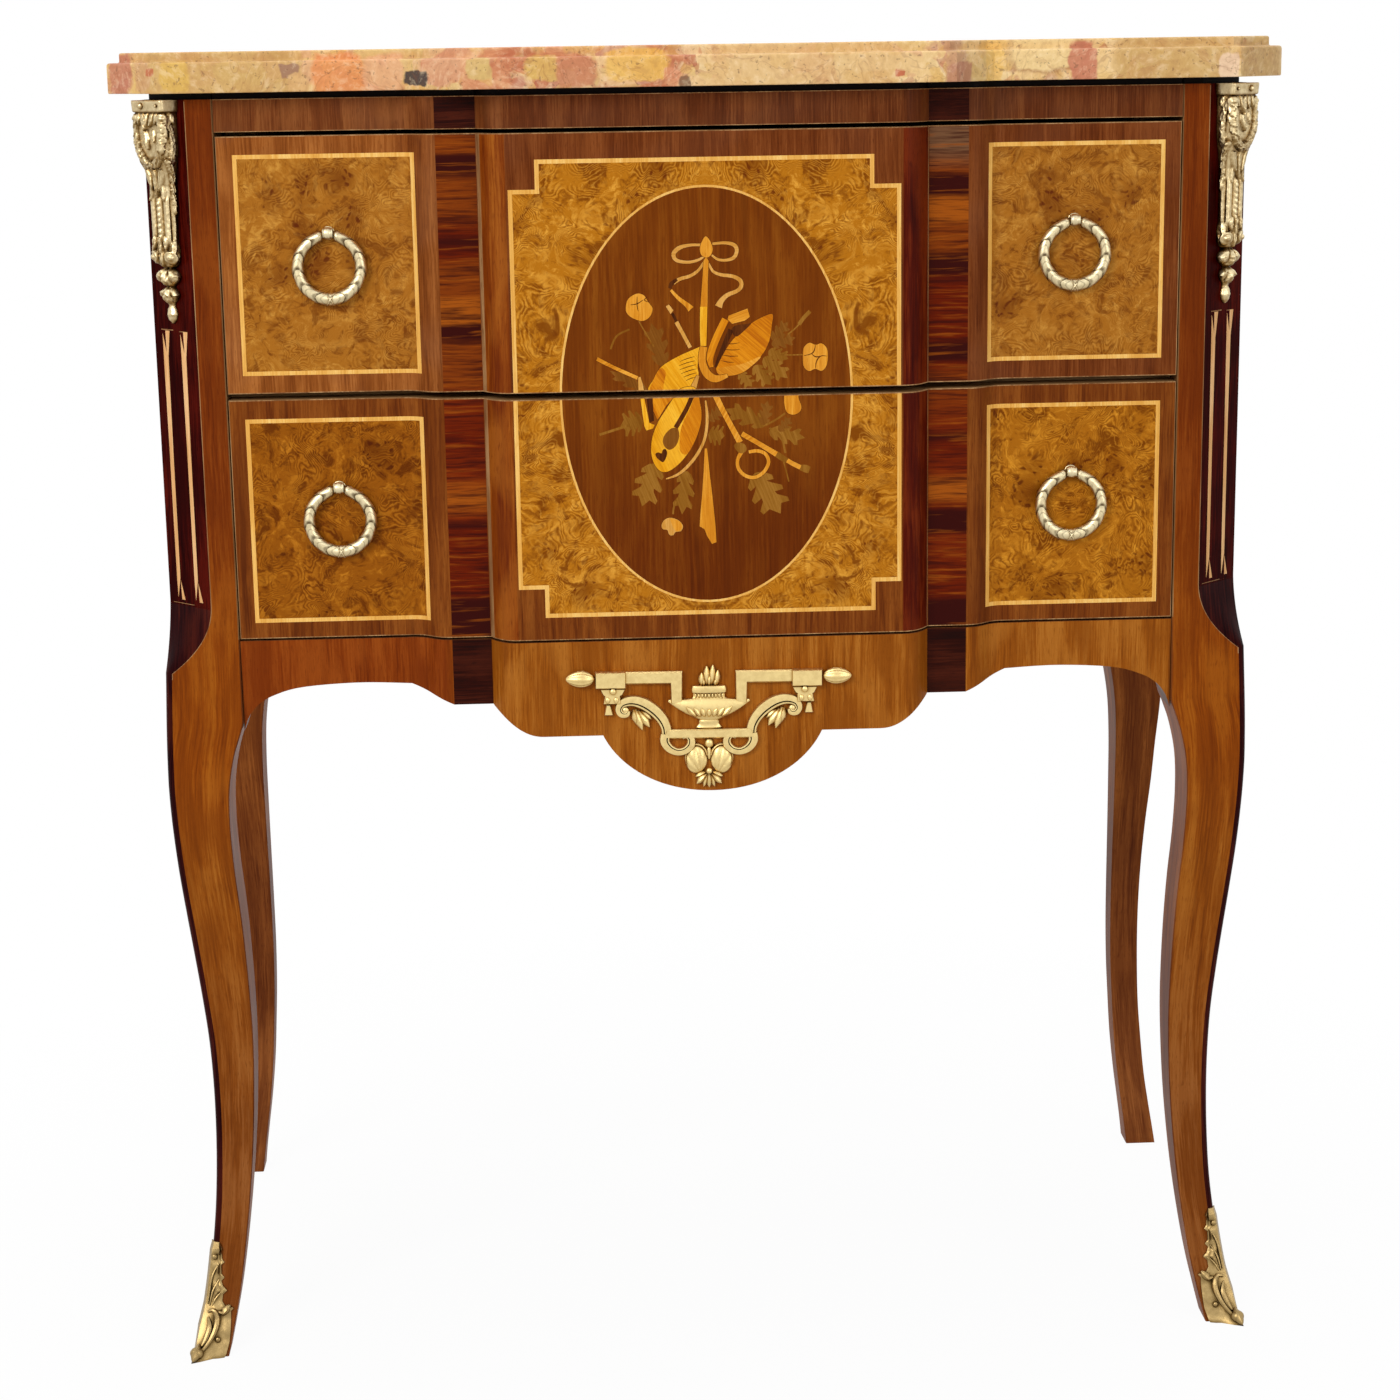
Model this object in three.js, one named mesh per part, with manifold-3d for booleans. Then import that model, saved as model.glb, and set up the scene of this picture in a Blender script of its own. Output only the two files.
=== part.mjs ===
// Two-drawer breakfront commode with a marble top, cabriole legs and gilt mounts. Millimetres, +Z up.
// The front plane of the case is y = 0, its back is y = caseDepth, and x = 0 is the middle.
import * as THREE from 'three';
import { mergeVertices } from 'three/addons/utils/BufferGeometryUtils.js';
import Module from 'manifold-3d';

const wasm = await Module();
wasm.setup();

// Overall sizes
const totalHeight = 850;
const caseWidth = 694;
const caseDepth = 316;
const restGap = 0.3;
const cutOverrun = 2;

// Marble top
const marbleThickness = 24.5;
const marbleTierHeight = 6;
const marbleTierInset = 7.5;
const marbleEdgeEase = 1.2;
const marbleSideOverhang = 18.25;
const marbleFrontOverhang = 18;
const marbleRearOverhang = 6;
const marbleCant = 33.5;
const marbleBreakSlope = 27;

// Breakfront plan: a step of stepForward at the kingwood strips and breakForward at the centre
const breakForward = 28;
const stepForward = 12;
const centreShare = 0.3516;
const nosingWidth = 17.5;
const stripWidth = 25;
const swellWidth = 25.5;

// Corner posts and legs
const postWidth = 46.5;
const postCant = 29.5;
const stopHeight = 42;
const legArris = 4.5;
const rearArris = 1.5;
const legRise = 44;

// Heights of the front, from the top down
const recessHeight = 3.7;
const recessDepth = 4;
const friezeHeight = 19.9;
const topClearance = 2.6;
const upperFrontHeight = 158.4;
const middleClearance = 4;
const lowerFrontHeight = 152.5;
const bottomClearance = 1.2;
const stopDrop = 20;

// Boards of the case
const railDepth = 50;
const railThickness = 12;
const apronThickness = 22;
const sidePanelThickness = 14;
const sidePanelRecess = 1.5;
const backPanelThickness = 9;
const bottomBoardThickness = 7;
const dustBoardThickness = 6;
const tenonLength = 14;
const tongueLength = 5;
const tongueThickness = 5;
const runnerWidth = 20;
const runnerHeight = 9;
const guideHeight = 20;
const kickerHeight = 18;
const blockSize = 18;
const stopLength = 26;
const stopHeightAbove = 7;

// Drawers
const sideClearance = 0.8;
const frontThickness = 20;
const drawerWall = 11;
const drawerInset = 0.8;
const drawerBackGap = 11;
const drawerBottomThickness = 6;
const drawerBottomRise = 8;
const grooveDepth = 5;
const upperSideHeight = 144;
const lowerSideHeight = 138;
const backDrop = 12;
const tailCount = 4;
const tailLength = 12;
const tailFlare = 2.5;

// Ring pulls
const panelInnerBorder = 12;
const panelOuterBorder = 11.5;
const ringOuter = 46;
const ringSection = 7;
const ringPinSection = 3.4;
const ringTopRise = 1.6;
const ringSetOff = 0.8;
const upperPullDrop = 59.5;
const lowerPullDrop = 56;
const beadDiameter = 8;
const eyeClearance = 0.5;
const stemDiameter = 5;
const collarDiameter = 8.5;
const collarThickness = 0.5;
const nutWidth = 9;
const nutThickness = 4;
const stemTail = 2;

// Gilt mounts
const chuteWidth = 43;
const chuteHeight = 139;
const chuteDepth = 11;
const abacusHeight = 6.7;
const swagThickness = 5;
const apronMountWidth = 183;
const apronMountHeight = 80;
const mountThickness = 4;
const barHeight = 6.5;
const apronMountShift = -1.6;
const apronMountRise = 2.8;
const sabotHeight = 73;
const sabotThickness = 1.8;
const sabotToe = 11;
const screwDiameter = 3.6;
const screwHeadDiameter = 7;
const screwHeadThickness = 1.2;
const screwLength = 16;
const boardScrewDiameter = 4;

// Places worked out from the sizes above
const caseHalf = caseWidth / 2;
const openingHalf = caseHalf - postWidth;
const caseTop = totalHeight - marbleThickness - restGap;
const recessZ = caseTop - recessHeight;
const friezeZ = recessZ - friezeHeight;
const upperTopZ = friezeZ - topClearance;
const upperZ = upperTopZ - upperFrontHeight;
const lowerTopZ = upperZ - middleClearance;
const lowerZ = lowerTopZ - lowerFrontHeight;
const apronTopZ = lowerZ - bottomClearance;
const kneeZ = apronTopZ - stopDrop;
const frontHalf = openingHalf - sideClearance;
const railHalf = openingHalf - restGap;
const railY = frontThickness + 2 * restGap;
const railMiddleZ = (upperZ + lowerTopZ) / 2;
const upperRunZ = railMiddleZ + railThickness / 2;
const bottomBoardZ = apronTopZ - bottomBoardThickness - restGap;
const rearRailZ = bottomBoardZ - legRise / 2;
const lowerRunZ = apronTopZ + runnerHeight - restGap;
const sideOuterX = caseHalf - sidePanelRecess;
const sideInnerX = sideOuterX - sidePanelThickness;
const postBackY = postWidth;
const rearPostY = caseDepth - postWidth;
const backPanelY = caseDepth - sidePanelRecess - backPanelThickness;
const rearRailY = backPanelY - restGap - railThickness;
const boxHalf = frontHalf - drawerInset;
const drawerDepth = rearRailY - drawerBackGap - frontThickness;
const centreHalfWidth = (caseWidth * centreShare) / 2;
const stripEdge = centreHalfWidth + nosingWidth;
const swellEdge = stripEdge + stripWidth;
const flatEdge = swellEdge + swellWidth;
const pullX = (swellEdge + panelInnerBorder + openingHalf - panelOuterBorder) / 2;

// Curve of the legs. Each row: share of the knee height, outward flare in x and in y and inward growth of the
// inner side, as shares of the post width.
const frontLegShares = [
  [1, 0.035, 0.05, 0],
  [0.95, 0.055, 0.07, 0],
  [0.926, 0.064, 0.08, 0.004],
  [0.903, 0.071, 0.089, 0.078],
  [0.875, 0.077, 0.095, 0.162],
  [0.832, 0.08, 0.095, 0.236],
  [0.778, 0.062, 0.065, 0.256],
  [0.713, 0.017, 0.017, 0.232],
  [0.648, -0.047, -0.047, 0.185],
  [0.583, -0.116, -0.116, 0.153],
  [0.518, -0.181, -0.181, 0.135],
  [0.454, -0.234, -0.234, 0.131],
  [0.389, -0.258, -0.258, 0.151],
  [0.324, -0.258, -0.258, 0.187],
  [0.259, -0.237, -0.237, 0.241],
  [0.194, -0.194, -0.194, 0.312],
  [0.13, -0.129, -0.04, 0.391],
  [0.076, -0.054, 0.13, 0.473],
  [0.032, 0.032, 0.32, 0.559],
  [0, 0.108, 0.5, 0.624],
];
const rearLegShares = [
  [1, 0.02, 0, 0],
  [0.95, 0.06, 0.01, 0],
  [0.92, 0.1, 0.02, 0.06],
  [0.875, 0.15, 0.04, 0.22],
  [0.84, 0.172, 0.05, 0.33],
  [0.778, 0.161, 0.03, 0.43],
  [0.713, 0.108, 0, 0.46],
  [0.648, 0.056, -0.03, 0.46],
  [0.583, -0.01, -0.06, 0.455],
  [0.518, -0.06, -0.075, 0.45],
  [0.454, -0.09, -0.08, 0.447],
  [0.389, -0.1, -0.08, 0.45],
  [0.324, -0.088, -0.07, 0.47],
  [0.259, -0.056, -0.05, 0.51],
  [0.194, 0.005, -0.015, 0.56],
  [0.13, 0.08, 0.02, 0.635],
  [0.076, 0.17, 0.06, 0.715],
  [0.032, 0.25, 0.095, 0.78],
  [0, 0.305, 0.12, 0.82],
];
const legSteps = 36;
const stopSteps = 8;
const stopPowerShare = 2.2;

// Lower edge of the apron, as shares: across, of the distance between the named edges; down, of legRise or
// of the centre drop.
const archShares = [
  [1, 1.34],
  [0.975, 1.13],
  [0.93, 0.96],
  [0.86, 0.83],
  [0.72, 0.71],
  [0.45, 0.66],
  [0.2, 0.69],
];
const cuspDrop = 19;
const shoulderWidth = 32;
const centreDrop = 38;
const lobeHalf = 70;

const walnut = { color: 0x8c4b1e, roughness: 0.35, metalness: 0 };
const kingwood = { color: 0x5a2410, roughness: 0.35, metalness: 0 };
const oak = { color: 0xb08a5a, roughness: 0.7, metalness: 0 };
const gilt = { color: 0xc8aa5f, roughness: 0.3, metalness: 1 };
const steel = { color: 0x8a8378, roughness: 0.4, metalness: 1 };
const marble = { color: 0xd7b473, roughness: 0.25, metalness: 0 };

// Solids and geometries
function toSolid(source) {
  let geometry = source.clone();
  geometry.deleteAttribute('normal');
  geometry.deleteAttribute('uv');
  geometry = mergeVertices(geometry, restGap / 1000);
  const vertProperties = new Float32Array(geometry.attributes.position.array);
  const triVerts = new Uint32Array(geometry.index.array);
  return new wasm.Manifold(new wasm.Mesh({ numProp: 3, vertProperties, triVerts }));
}

function toGeometry(solid) {
  const mesh = solid.getMesh();
  const geometry = new THREE.BufferGeometry();
  geometry.setAttribute('position', new THREE.BufferAttribute(new Float32Array(mesh.vertProperties), 3));
  geometry.setIndex(new THREE.BufferAttribute(new Uint32Array(mesh.triVerts), 1));
  geometry.computeVertexNormals();
  return geometry;
}

function join(...parts) {
  let solid = toSolid(parts[0]);
  for (const part of parts.slice(1)) {
    solid = solid.add(toSolid(part));
  }
  return toGeometry(solid);
}

function cut(body, ...tools) {
  let solid = toSolid(body);
  for (const tool of tools) {
    solid = solid.subtract(toSolid(tool));
  }
  return toGeometry(solid);
}

function overlap(first, second) {
  return toGeometry(toSolid(first).intersect(toSolid(second)));
}

function mirrorX(source) {
  const geometry = source.index ? source.toNonIndexed() : source.clone();
  geometry.deleteAttribute('uv');
  const position = geometry.attributes.position;
  for (let corner = 0; corner < position.count; corner += 3) {
    const first = new THREE.Vector3().fromBufferAttribute(position, corner);
    const second = new THREE.Vector3().fromBufferAttribute(position, corner + 1);
    const third = new THREE.Vector3().fromBufferAttribute(position, corner + 2);
    position.setXYZ(corner, -first.x, first.y, first.z);
    position.setXYZ(corner + 1, -third.x, third.y, third.z);
    position.setXYZ(corner + 2, -second.x, second.y, second.z);
  }
  const merged = mergeVertices(stripped(geometry), restGap / 1000);
  merged.computeVertexNormals();
  return merged;
}

function stripped(geometry) {
  geometry.deleteAttribute('normal');
  return geometry;
}

function box(x0, x1, y0, y1, z0, z1) {
  const geometry = new THREE.BoxGeometry(x1 - x0, y1 - y0, z1 - z0);
  return geometry.translate((x0 + x1) / 2, (y0 + y1) / 2, (z0 + z1) / 2);
}

function shapeOf(points) {
  return new THREE.Shape(points.map(([across, up]) => new THREE.Vector2(across, up)));
}

// Prisms with their outline in plan (x, y), in front view (x, z) and in side view (y, z)
function prismZ(points, z0, z1) {
  const geometry = new THREE.ExtrudeGeometry(shapeOf(points), { depth: z1 - z0, bevelEnabled: false });
  return geometry.translate(0, 0, z0);
}

function prismY(points, y0, y1) {
  const geometry = new THREE.ExtrudeGeometry(shapeOf(points), { depth: y1 - y0, bevelEnabled: false });
  return geometry.rotateX(Math.PI / 2).translate(0, y1, 0);
}

const sideBasis = new THREE.Matrix4().makeBasis(
  new THREE.Vector3(0, 1, 0),
  new THREE.Vector3(0, 0, 1),
  new THREE.Vector3(1, 0, 0),
);

function prismX(points, x0, x1) {
  const geometry = new THREE.ExtrudeGeometry(shapeOf(points), { depth: x1 - x0, bevelEnabled: false });
  return geometry.applyMatrix4(sideBasis).translate(x0, 0, 0);
}

function rod(diameter, length, sides) {
  return new THREE.CylinderGeometry(diameter / 2, diameter / 2, length, sides);
}

// The end of a loft as triangles: a fan where the ring is convex
function capOf(ring, convex) {
  if (convex) {
    return ring.slice(2).map((point, place) => [0, place + 1, place + 2]);
  }
  return THREE.ShapeUtils.triangulateShape(ring.map((point) => new THREE.Vector2(point.x, point.y)), []);
}

// A closed skin over rings of points with the same count, with flat ends
function loft(rings, convex = false) {
  const count = rings[0].length;
  const positions = rings.flat().flatMap((point) => [point.x, point.y, point.z]);
  const index = [];
  for (let level = 0; level < rings.length - 1; level += 1) {
    for (let side = 0; side < count; side += 1) {
      const here = level * count + side;
      const next = level * count + ((side + 1) % count);
      index.push(here, next, next + count, here, next + count, here + count);
    }
  }
  const last = (rings.length - 1) * count;
  for (const [a, b, c] of capOf(rings[0], convex)) {
    index.push(c, b, a);
  }
  for (const [a, b, c] of capOf(rings[rings.length - 1], convex)) {
    index.push(last + a, last + b, last + c);
  }
  const geometry = new THREE.BufferGeometry();
  geometry.setAttribute('position', new THREE.Float32BufferAttribute(positions, 3));
  geometry.setIndex(index);
  geometry.computeVertexNormals();
  return geometry;
}

// Plan of the breakfront, from the left end to the right end, with its front moved back by inset
function frontPlan(half, inset) {
  const curve = new THREE.Shape();
  curve.moveTo(-half, inset);
  curve.lineTo(-flatEdge, inset);
  curve.bezierCurveTo(
    -(flatEdge + swellEdge) / 2,
    inset,
    -(flatEdge + swellEdge) / 2,
    inset - stepForward,
    -swellEdge,
    inset - stepForward,
  );
  curve.lineTo(-stripEdge, inset - stepForward);
  curve.bezierCurveTo(
    -stripEdge + nosingWidth / 4,
    inset - (stepForward + breakForward) / 2,
    -centreHalfWidth - nosingWidth / 2,
    inset - breakForward,
    -centreHalfWidth,
    inset - breakForward,
  );
  const left = curve.getPoints(6).map((point) => [point.x, point.y]);
  const right = left.map(([x, y]) => [-x, y]).reverse();
  return [...left, ...right];
}

function frontPrism(half, backY, z0, z1, inset = 0) {
  return prismZ([[half, backY], [-half, backY], ...frontPlan(half, inset)], z0, z1);
}

// Rows of a leg table, drawn smooth, at even steps down the leg
function smoothRows(shares, steps) {
  const rows = [];
  const columns = [1, 2, 3].map((column) => new THREE.SplineCurve(
    shares.map((row) => new THREE.Vector2(row[0], row[column])),
  ));
  for (let step = 0; step <= steps; step += 1) {
    const share = step / steps;
    const [x, y, inner] = columns.map((curve) => curve.getPoint(share));
    rows.push({ height: x.x, flareX: x.y, flareY: y.y, inner: inner.y });
  }
  return rows;
}

// One section of the left front leg: its outer corner is cut by arris, and its inner side stays square
function legRing(z, flareX, flareY, width, arris) {
  const outerX = -caseHalf - flareX;
  const outerY = -flareY;
  const innerY = outerY + Math.min(width, postWidth + flareY);
  const round = arris * (1 - Math.SQRT1_2) * (1 - arris / postCant);
  return [
    new THREE.Vector3(outerX + width, outerY, z),
    new THREE.Vector3(outerX + width, innerY, z),
    new THREE.Vector3(outerX, innerY, z),
    new THREE.Vector3(outerX, outerY + arris, z),
    new THREE.Vector3(outerX + arris / 2 - round / 2, outerY + arris / 2 - round / 2, z),
    new THREE.Vector3(outerX + arris, outerY, z),
  ];
}

function legRings(shares, cant, arris) {
  const rings = [];
  rings.push(legRing(caseTop, -recessDepth, -recessDepth, postWidth - recessDepth, cant));
  rings.push(legRing(recessZ, -recessDepth, -recessDepth, postWidth - recessDepth, cant));
  rings.push(legRing(recessZ, 0, 0, postWidth, cant));
  const top = shares[0];
  for (let step = 0; step < stopSteps; step += 1) {
    const share = 1 - step / stopSteps;
    const bevel = arris + (cant - arris) * (1 - (1 - share) ** stopPowerShare);
    const ease = 1 - share;
    const flareX = top[1] * postWidth * ease;
    rings.push(legRing(kneeZ + stopHeight * share, flareX, top[2] * postWidth * ease, postWidth + flareX, bevel));
  }
  for (const row of smoothRows(shares, legSteps)) {
    const width = postWidth * (1 + row.flareX - row.inner);
    rings.push(legRing(kneeZ * row.height, row.flareX * postWidth, row.flareY * postWidth, width, arris));
  }
  return rings.reverse();
}

const frontLegRings = legRings(frontLegShares, postCant, legArris);

function frontLeg() {
  return loft(frontLegRings, true);
}

// The rear legs are the same kind of leg turned to the back, with a square post
function rearLeg() {
  const rings = legRings(rearLegShares, rearArris, rearArris);
  const turned = rings.map((ring) => ring.map((point) => new THREE.Vector3(point.x, caseDepth - point.y, point.z)));
  return loft(turned.map((ring) => ring.reverse()), true);
}

// Lower edge of the apron, from the right end to the left end
function apronEdge() {
  const right = [];
  const archHalf = railHalf - swellEdge;
  const arch = new THREE.SplineCurve(archShares.map(([across, down]) => new THREE.Vector2(
    swellEdge + archHalf * across,
    apronTopZ - legRise * down,
  )));
  right.push(...arch.getPoints(14).map((point) => [point.x, point.y]));
  const flatZ = apronTopZ - legRise + 5 * restGap;
  const shoulderZ = flatZ - cuspDrop;
  const lobeZ = shoulderZ - centreDrop;
  const lower = new THREE.Shape();
  lower.moveTo(swellEdge, flatZ);
  lower.lineTo(stripEdge, flatZ);
  lower.bezierCurveTo(
    stripEdge - shoulderWidth * 0.42,
    flatZ - cuspDrop * 0.6,
    stripEdge - shoulderWidth * 0.62,
    shoulderZ,
    stripEdge - shoulderWidth,
    shoulderZ,
  );
  lower.lineTo(lobeHalf, shoulderZ);
  lower.bezierCurveTo(lobeHalf * 0.86, lobeZ + centreDrop * 0.45, lobeHalf * 0.5, lobeZ, 0, lobeZ);
  right.push(...lower.getPoints(8).map((point) => [point.x, point.y]));
  const left = right.slice(0, -1).map(([x, z]) => [-x, z]).reverse();
  return [...right, ...left];
}

function tenon(side, y0, y1, z0, z1, grow) {
  const inner = railHalf - grow - cutOverrun;
  const outer = railHalf + tenonLength + grow;
  const near = side < 0 ? -outer : inner;
  const far = side < 0 ? -inner : outer;
  return box(near, far, y0 - grow, y1 + grow, z0 - grow, z1 + grow);
}

// Rails have a tenon at each end. The same boxes, a little larger, are the mortises in the posts.
const tenons = {
  apron: [apronThickness / 4, (apronThickness * 3) / 4, apronTopZ - legRise + restGap, apronTopZ - cutOverrun],
  topFront: [railDepth / 4, railDepth / 2, friezeZ + cutOverrun, recessZ - cutOverrun],
  middle: [railY + restGap, postBackY - cutOverrun, upperRunZ - railThickness + cutOverrun, upperRunZ - cutOverrun],
  topRear: [rearRailY + cutOverrun, backPanelY - cutOverrun, friezeZ + cutOverrun, recessZ - cutOverrun],
  bottomRear: [rearRailY + cutOverrun, backPanelY - cutOverrun, rearRailZ + cutOverrun, bottomBoardZ - cutOverrun],
};

function withTenons(body, span) {
  return join(body, tenon(-1, ...span, 0), tenon(1, ...span, 0));
}

function mortises(names) {
  return names.map((name) => tenon(-1, ...tenons[name], restGap));
}

function frontApron() {
  const plan = frontPrism(railHalf, apronThickness, apronTopZ - legRise - cuspDrop - centreDrop - cutOverrun, apronTopZ);
  const outline = prismY([[-railHalf, apronTopZ + cutOverrun], [railHalf, apronTopZ + cutOverrun], ...apronEdge()],
    -breakForward - cutOverrun, apronThickness + cutOverrun);
  return withTenons(overlap(plan, outline), tenons.apron);
}

function topFrontRail() {
  const frieze = frontPrism(railHalf, railDepth, friezeZ, recessZ);
  const fillet = frontPrism(railHalf, railDepth, recessZ - cutOverrun, caseTop, recessDepth);
  return withTenons(join(frieze, fillet), tenons.topFront);
}

function middleFrontRail() {
  const body = box(-railHalf, railHalf, railY, railY + railDepth, upperRunZ - railThickness, upperRunZ);
  return withTenons(body, tenons.middle);
}

function topRearRail() {
  const body = box(-railHalf, railHalf, rearRailY, backPanelY - restGap, friezeZ, caseTop);
  return withTenons(body, tenons.topRear);
}

function bottomRearRail() {
  const body = box(-railHalf, railHalf, rearRailY, backPanelY - restGap, rearRailZ, bottomBoardZ - restGap);
  return withTenons(body, tenons.bottomRear);
}

// Side panel with an arched lower edge and a tongue along each upright
function sideTongue(grow) {
  const middle = (sideInnerX + sideOuterX) / 2;
  return box(
    -middle - tongueThickness / 2 - grow,
    -middle + tongueThickness / 2 + grow,
    postBackY - tongueLength - grow,
    rearPostY + tongueLength + grow,
    apronTopZ - grow,
    recessZ - cutOverrun + grow,
  );
}

function sidePanel() {
  const front = postBackY + restGap;
  const back = rearPostY - restGap;
  const length = back - front;
  const arch = new THREE.SplineCurve([
    new THREE.Vector2(back, apronTopZ - legRise * 1.1),
    new THREE.Vector2(back - length * 0.05, apronTopZ - legRise * 0.86),
    new THREE.Vector2(back - length * 0.2, apronTopZ - legRise * 0.68),
    new THREE.Vector2((front + back) / 2, apronTopZ - legRise * 0.6),
    new THREE.Vector2(front + length * 0.2, apronTopZ - legRise * 0.68),
    new THREE.Vector2(front + length * 0.05, apronTopZ - legRise * 0.86),
    new THREE.Vector2(front, apronTopZ - legRise * 1.1),
  ]);
  const edge = arch.getPoints(18).map((point) => [point.x, point.y]);
  const body = prismX([[front, caseTop], ...edge.reverse(), [back, caseTop]].reverse(), -sideOuterX, -sideInnerX);
  const recess = box(
    -sideOuterX - cutOverrun,
    -sideOuterX + recessDepth - sidePanelRecess,
    front - cutOverrun,
    back + cutOverrun,
    recessZ,
    caseTop + cutOverrun,
  );
  const groove = prismZ(bottomBoardPlan(restGap), bottomBoardZ - restGap, bottomBoardZ + bottomBoardThickness + restGap);
  return cut(join(body, sideTongue(0)), recess, groove, ...boardScrewHoles());
}

function bottomBoardPlan(grow) {
  const wide = sideInnerX + tongueLength - restGap + grow;
  const narrow = railHalf - restGap + grow;
  const y0 = apronThickness + restGap - grow;
  const y1 = postBackY + restGap - grow;
  const y2 = rearPostY - restGap + grow;
  const y3 = backPanelY - restGap + grow;
  const right = [[narrow, y0], [narrow, y1], [wide, y1], [wide, y2], [narrow, y2], [narrow, y3]];
  const left = right.map(([x, y]) => [-x, y]).reverse();
  return [...right, ...left];
}

function bottomBoard() {
  return prismZ(bottomBoardPlan(0), bottomBoardZ, bottomBoardZ + bottomBoardThickness);
}

function backPanelTongue(grow) {
  const y = backPanelY + backPanelThickness / 2;
  return box(
    -railHalf - tongueLength - grow,
    railHalf + tongueLength + grow,
    y - tongueThickness / 2 - grow,
    y + tongueThickness / 2 + grow,
    apronTopZ - legRise / 2 - grow,
    friezeZ - cutOverrun + grow,
  );
}

function backPanel() {
  const y1 = backPanelY + backPanelThickness;
  const body = box(-railHalf, railHalf, backPanelY, y1, apronTopZ - legRise * 0.8, caseTop);
  return join(body, backPanelTongue(0));
}

// Drawer runner: a bearer under the drawer side and a guide beside it, between the posts
const runnerX0 = boxHalf - runnerWidth;
const guideX = boxHalf + restGap;
const runnerY0 = postBackY + restGap;
const runnerY1 = rearPostY - restGap;

function runner(topZ, bottomZ) {
  const outerX = sideInnerX - restGap;
  const bearer = box(-outerX, -runnerX0, railY + railDepth + restGap, runnerY1, bottomZ, topZ);
  const guide = box(-outerX, -guideX, railY + railDepth + restGap, runnerY1, bottomZ, topZ + guideHeight);
  return join(bearer, guide);
}

function dustBoardBox(grow) {
  return box(
    -runnerX0 - tongueLength + restGap - grow,
    runnerX0 + tongueLength - restGap + grow,
    railY + railDepth + restGap - grow,
    runnerY1 - restGap + grow,
    railMiddleZ - dustBoardThickness / 2 - grow,
    railMiddleZ + dustBoardThickness / 2 + grow,
  );
}

function upperRunner() {
  return cut(runner(upperRunZ, upperRunZ - railThickness), dustBoardBox(restGap), ...boardScrewHoles());
}

function lowerRunner() {
  return cut(runner(lowerRunZ, apronTopZ), ...boardScrewHoles());
}

function kicker() {
  return box(-guideX, -runnerX0, railDepth + restGap, rearPostY - restGap, friezeZ - kickerHeight / 2, friezeZ + kickerHeight / 2);
}

// Two screws hold each runner to its side panel
const boardScrewPlaces = [upperRunZ, lowerRunZ].flatMap((z) => [0.42, 0.8].map((share) => ({
  y: runnerY0 + (runnerY1 - runnerY0) * share,
  z: z + guideHeight / 2,
})));

function boardScrew({ y, z }, grow) {
  const tip = sideOuterX - sidePanelThickness / 3;
  const head = guideX + screwHeadThickness;
  const shaft = rod(boardScrewDiameter + 2 * grow, tip - guideX + 2 * grow, 8).rotateZ(Math.PI / 2);
  const cap = rod(screwHeadDiameter + 2 * grow, screwHeadThickness + 2 * grow, 8).rotateZ(Math.PI / 2);
  return join(
    shaft.translate(-(tip + guideX) / 2 - restGap, y, z),
    cap.translate(-(guideX + head) / 2 - restGap, y, z),
  );
}

function boardScrewHoles() {
  return boardScrewPlaces.map((place) => boardScrew(place, restGap));
}

function cornerBlock() {
  const outline = [[-railHalf + restGap, apronThickness + restGap], [-railHalf + blockSize, apronThickness + restGap],
    [-railHalf + restGap, apronThickness + blockSize]];
  return prismZ(outline, bottomBoardZ - blockSize, bottomBoardZ - restGap);
}

// Block on the bottom board that the lower drawer front comes to rest against
function drawerStop() {
  const x = -centreHalfWidth - stripWidth;
  return box(x - stopLength, x, railY, railY + stopLength, apronTopZ, apronTopZ + stopHeightAbove);
}

// Marble top: the case's plan with an overhang, a canted corner and a stepped, eased edge
function marblePlan(inset) {
  const side = caseHalf + marbleSideOverhang;
  const front = -marbleFrontOverhang;
  const breakX = stripEdge + (stripWidth + swellWidth) / 4;
  const corners = [
    [side, caseDepth + marbleRearOverhang],
    [side, front + marbleCant],
    [side - marbleCant, front],
    [breakX + marbleBreakSlope, front],
    [breakX, front - breakForward],
  ];
  const outline = [...corners, ...corners.map(([x, y]) => [-x, y]).reverse()];
  return outline.map((point, place) => {
    const before = outline[(place + outline.length - 1) % outline.length];
    const after = outline[(place + 1) % outline.length];
    return insetCorner(before, point, after, inset);
  });
}

// The corner of an outline that runs clockwise in plan, moved inwards by inset along both of its sides
function insetCorner(before, corner, after, inset) {
  const into = new THREE.Vector2(corner[0] - before[0], corner[1] - before[1]).normalize();
  const out = new THREE.Vector2(after[0] - corner[0], after[1] - corner[1]).normalize();
  const normalIn = new THREE.Vector2(into.y, -into.x);
  const normalOut = new THREE.Vector2(out.y, -out.x);
  const middle = normalIn.clone().add(normalOut).normalize();
  const reach = inset / middle.dot(normalIn);
  return [corner[0] + middle.x * reach, corner[1] + middle.y * reach];
}

function marbleTop() {
  const baseZ = totalHeight - marbleThickness;
  const stepZ = totalHeight - marbleTierHeight;
  const levels = [
    [baseZ, marbleEdgeEase],
    [baseZ + marbleEdgeEase, 0],
    [stepZ - marbleEdgeEase, 0],
    [stepZ, marbleEdgeEase],
    [stepZ, marbleTierInset - marbleEdgeEase],
    [stepZ + marbleEdgeEase, marbleTierInset],
    [totalHeight - marbleEdgeEase, marbleTierInset],
    [totalHeight, marbleTierInset + marbleEdgeEase],
  ];
  const rings = levels.map(([z, inset]) => marblePlan(inset).map(([x, y]) => new THREE.Vector3(x, y, z)).reverse());
  return loft(rings);
}

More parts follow.
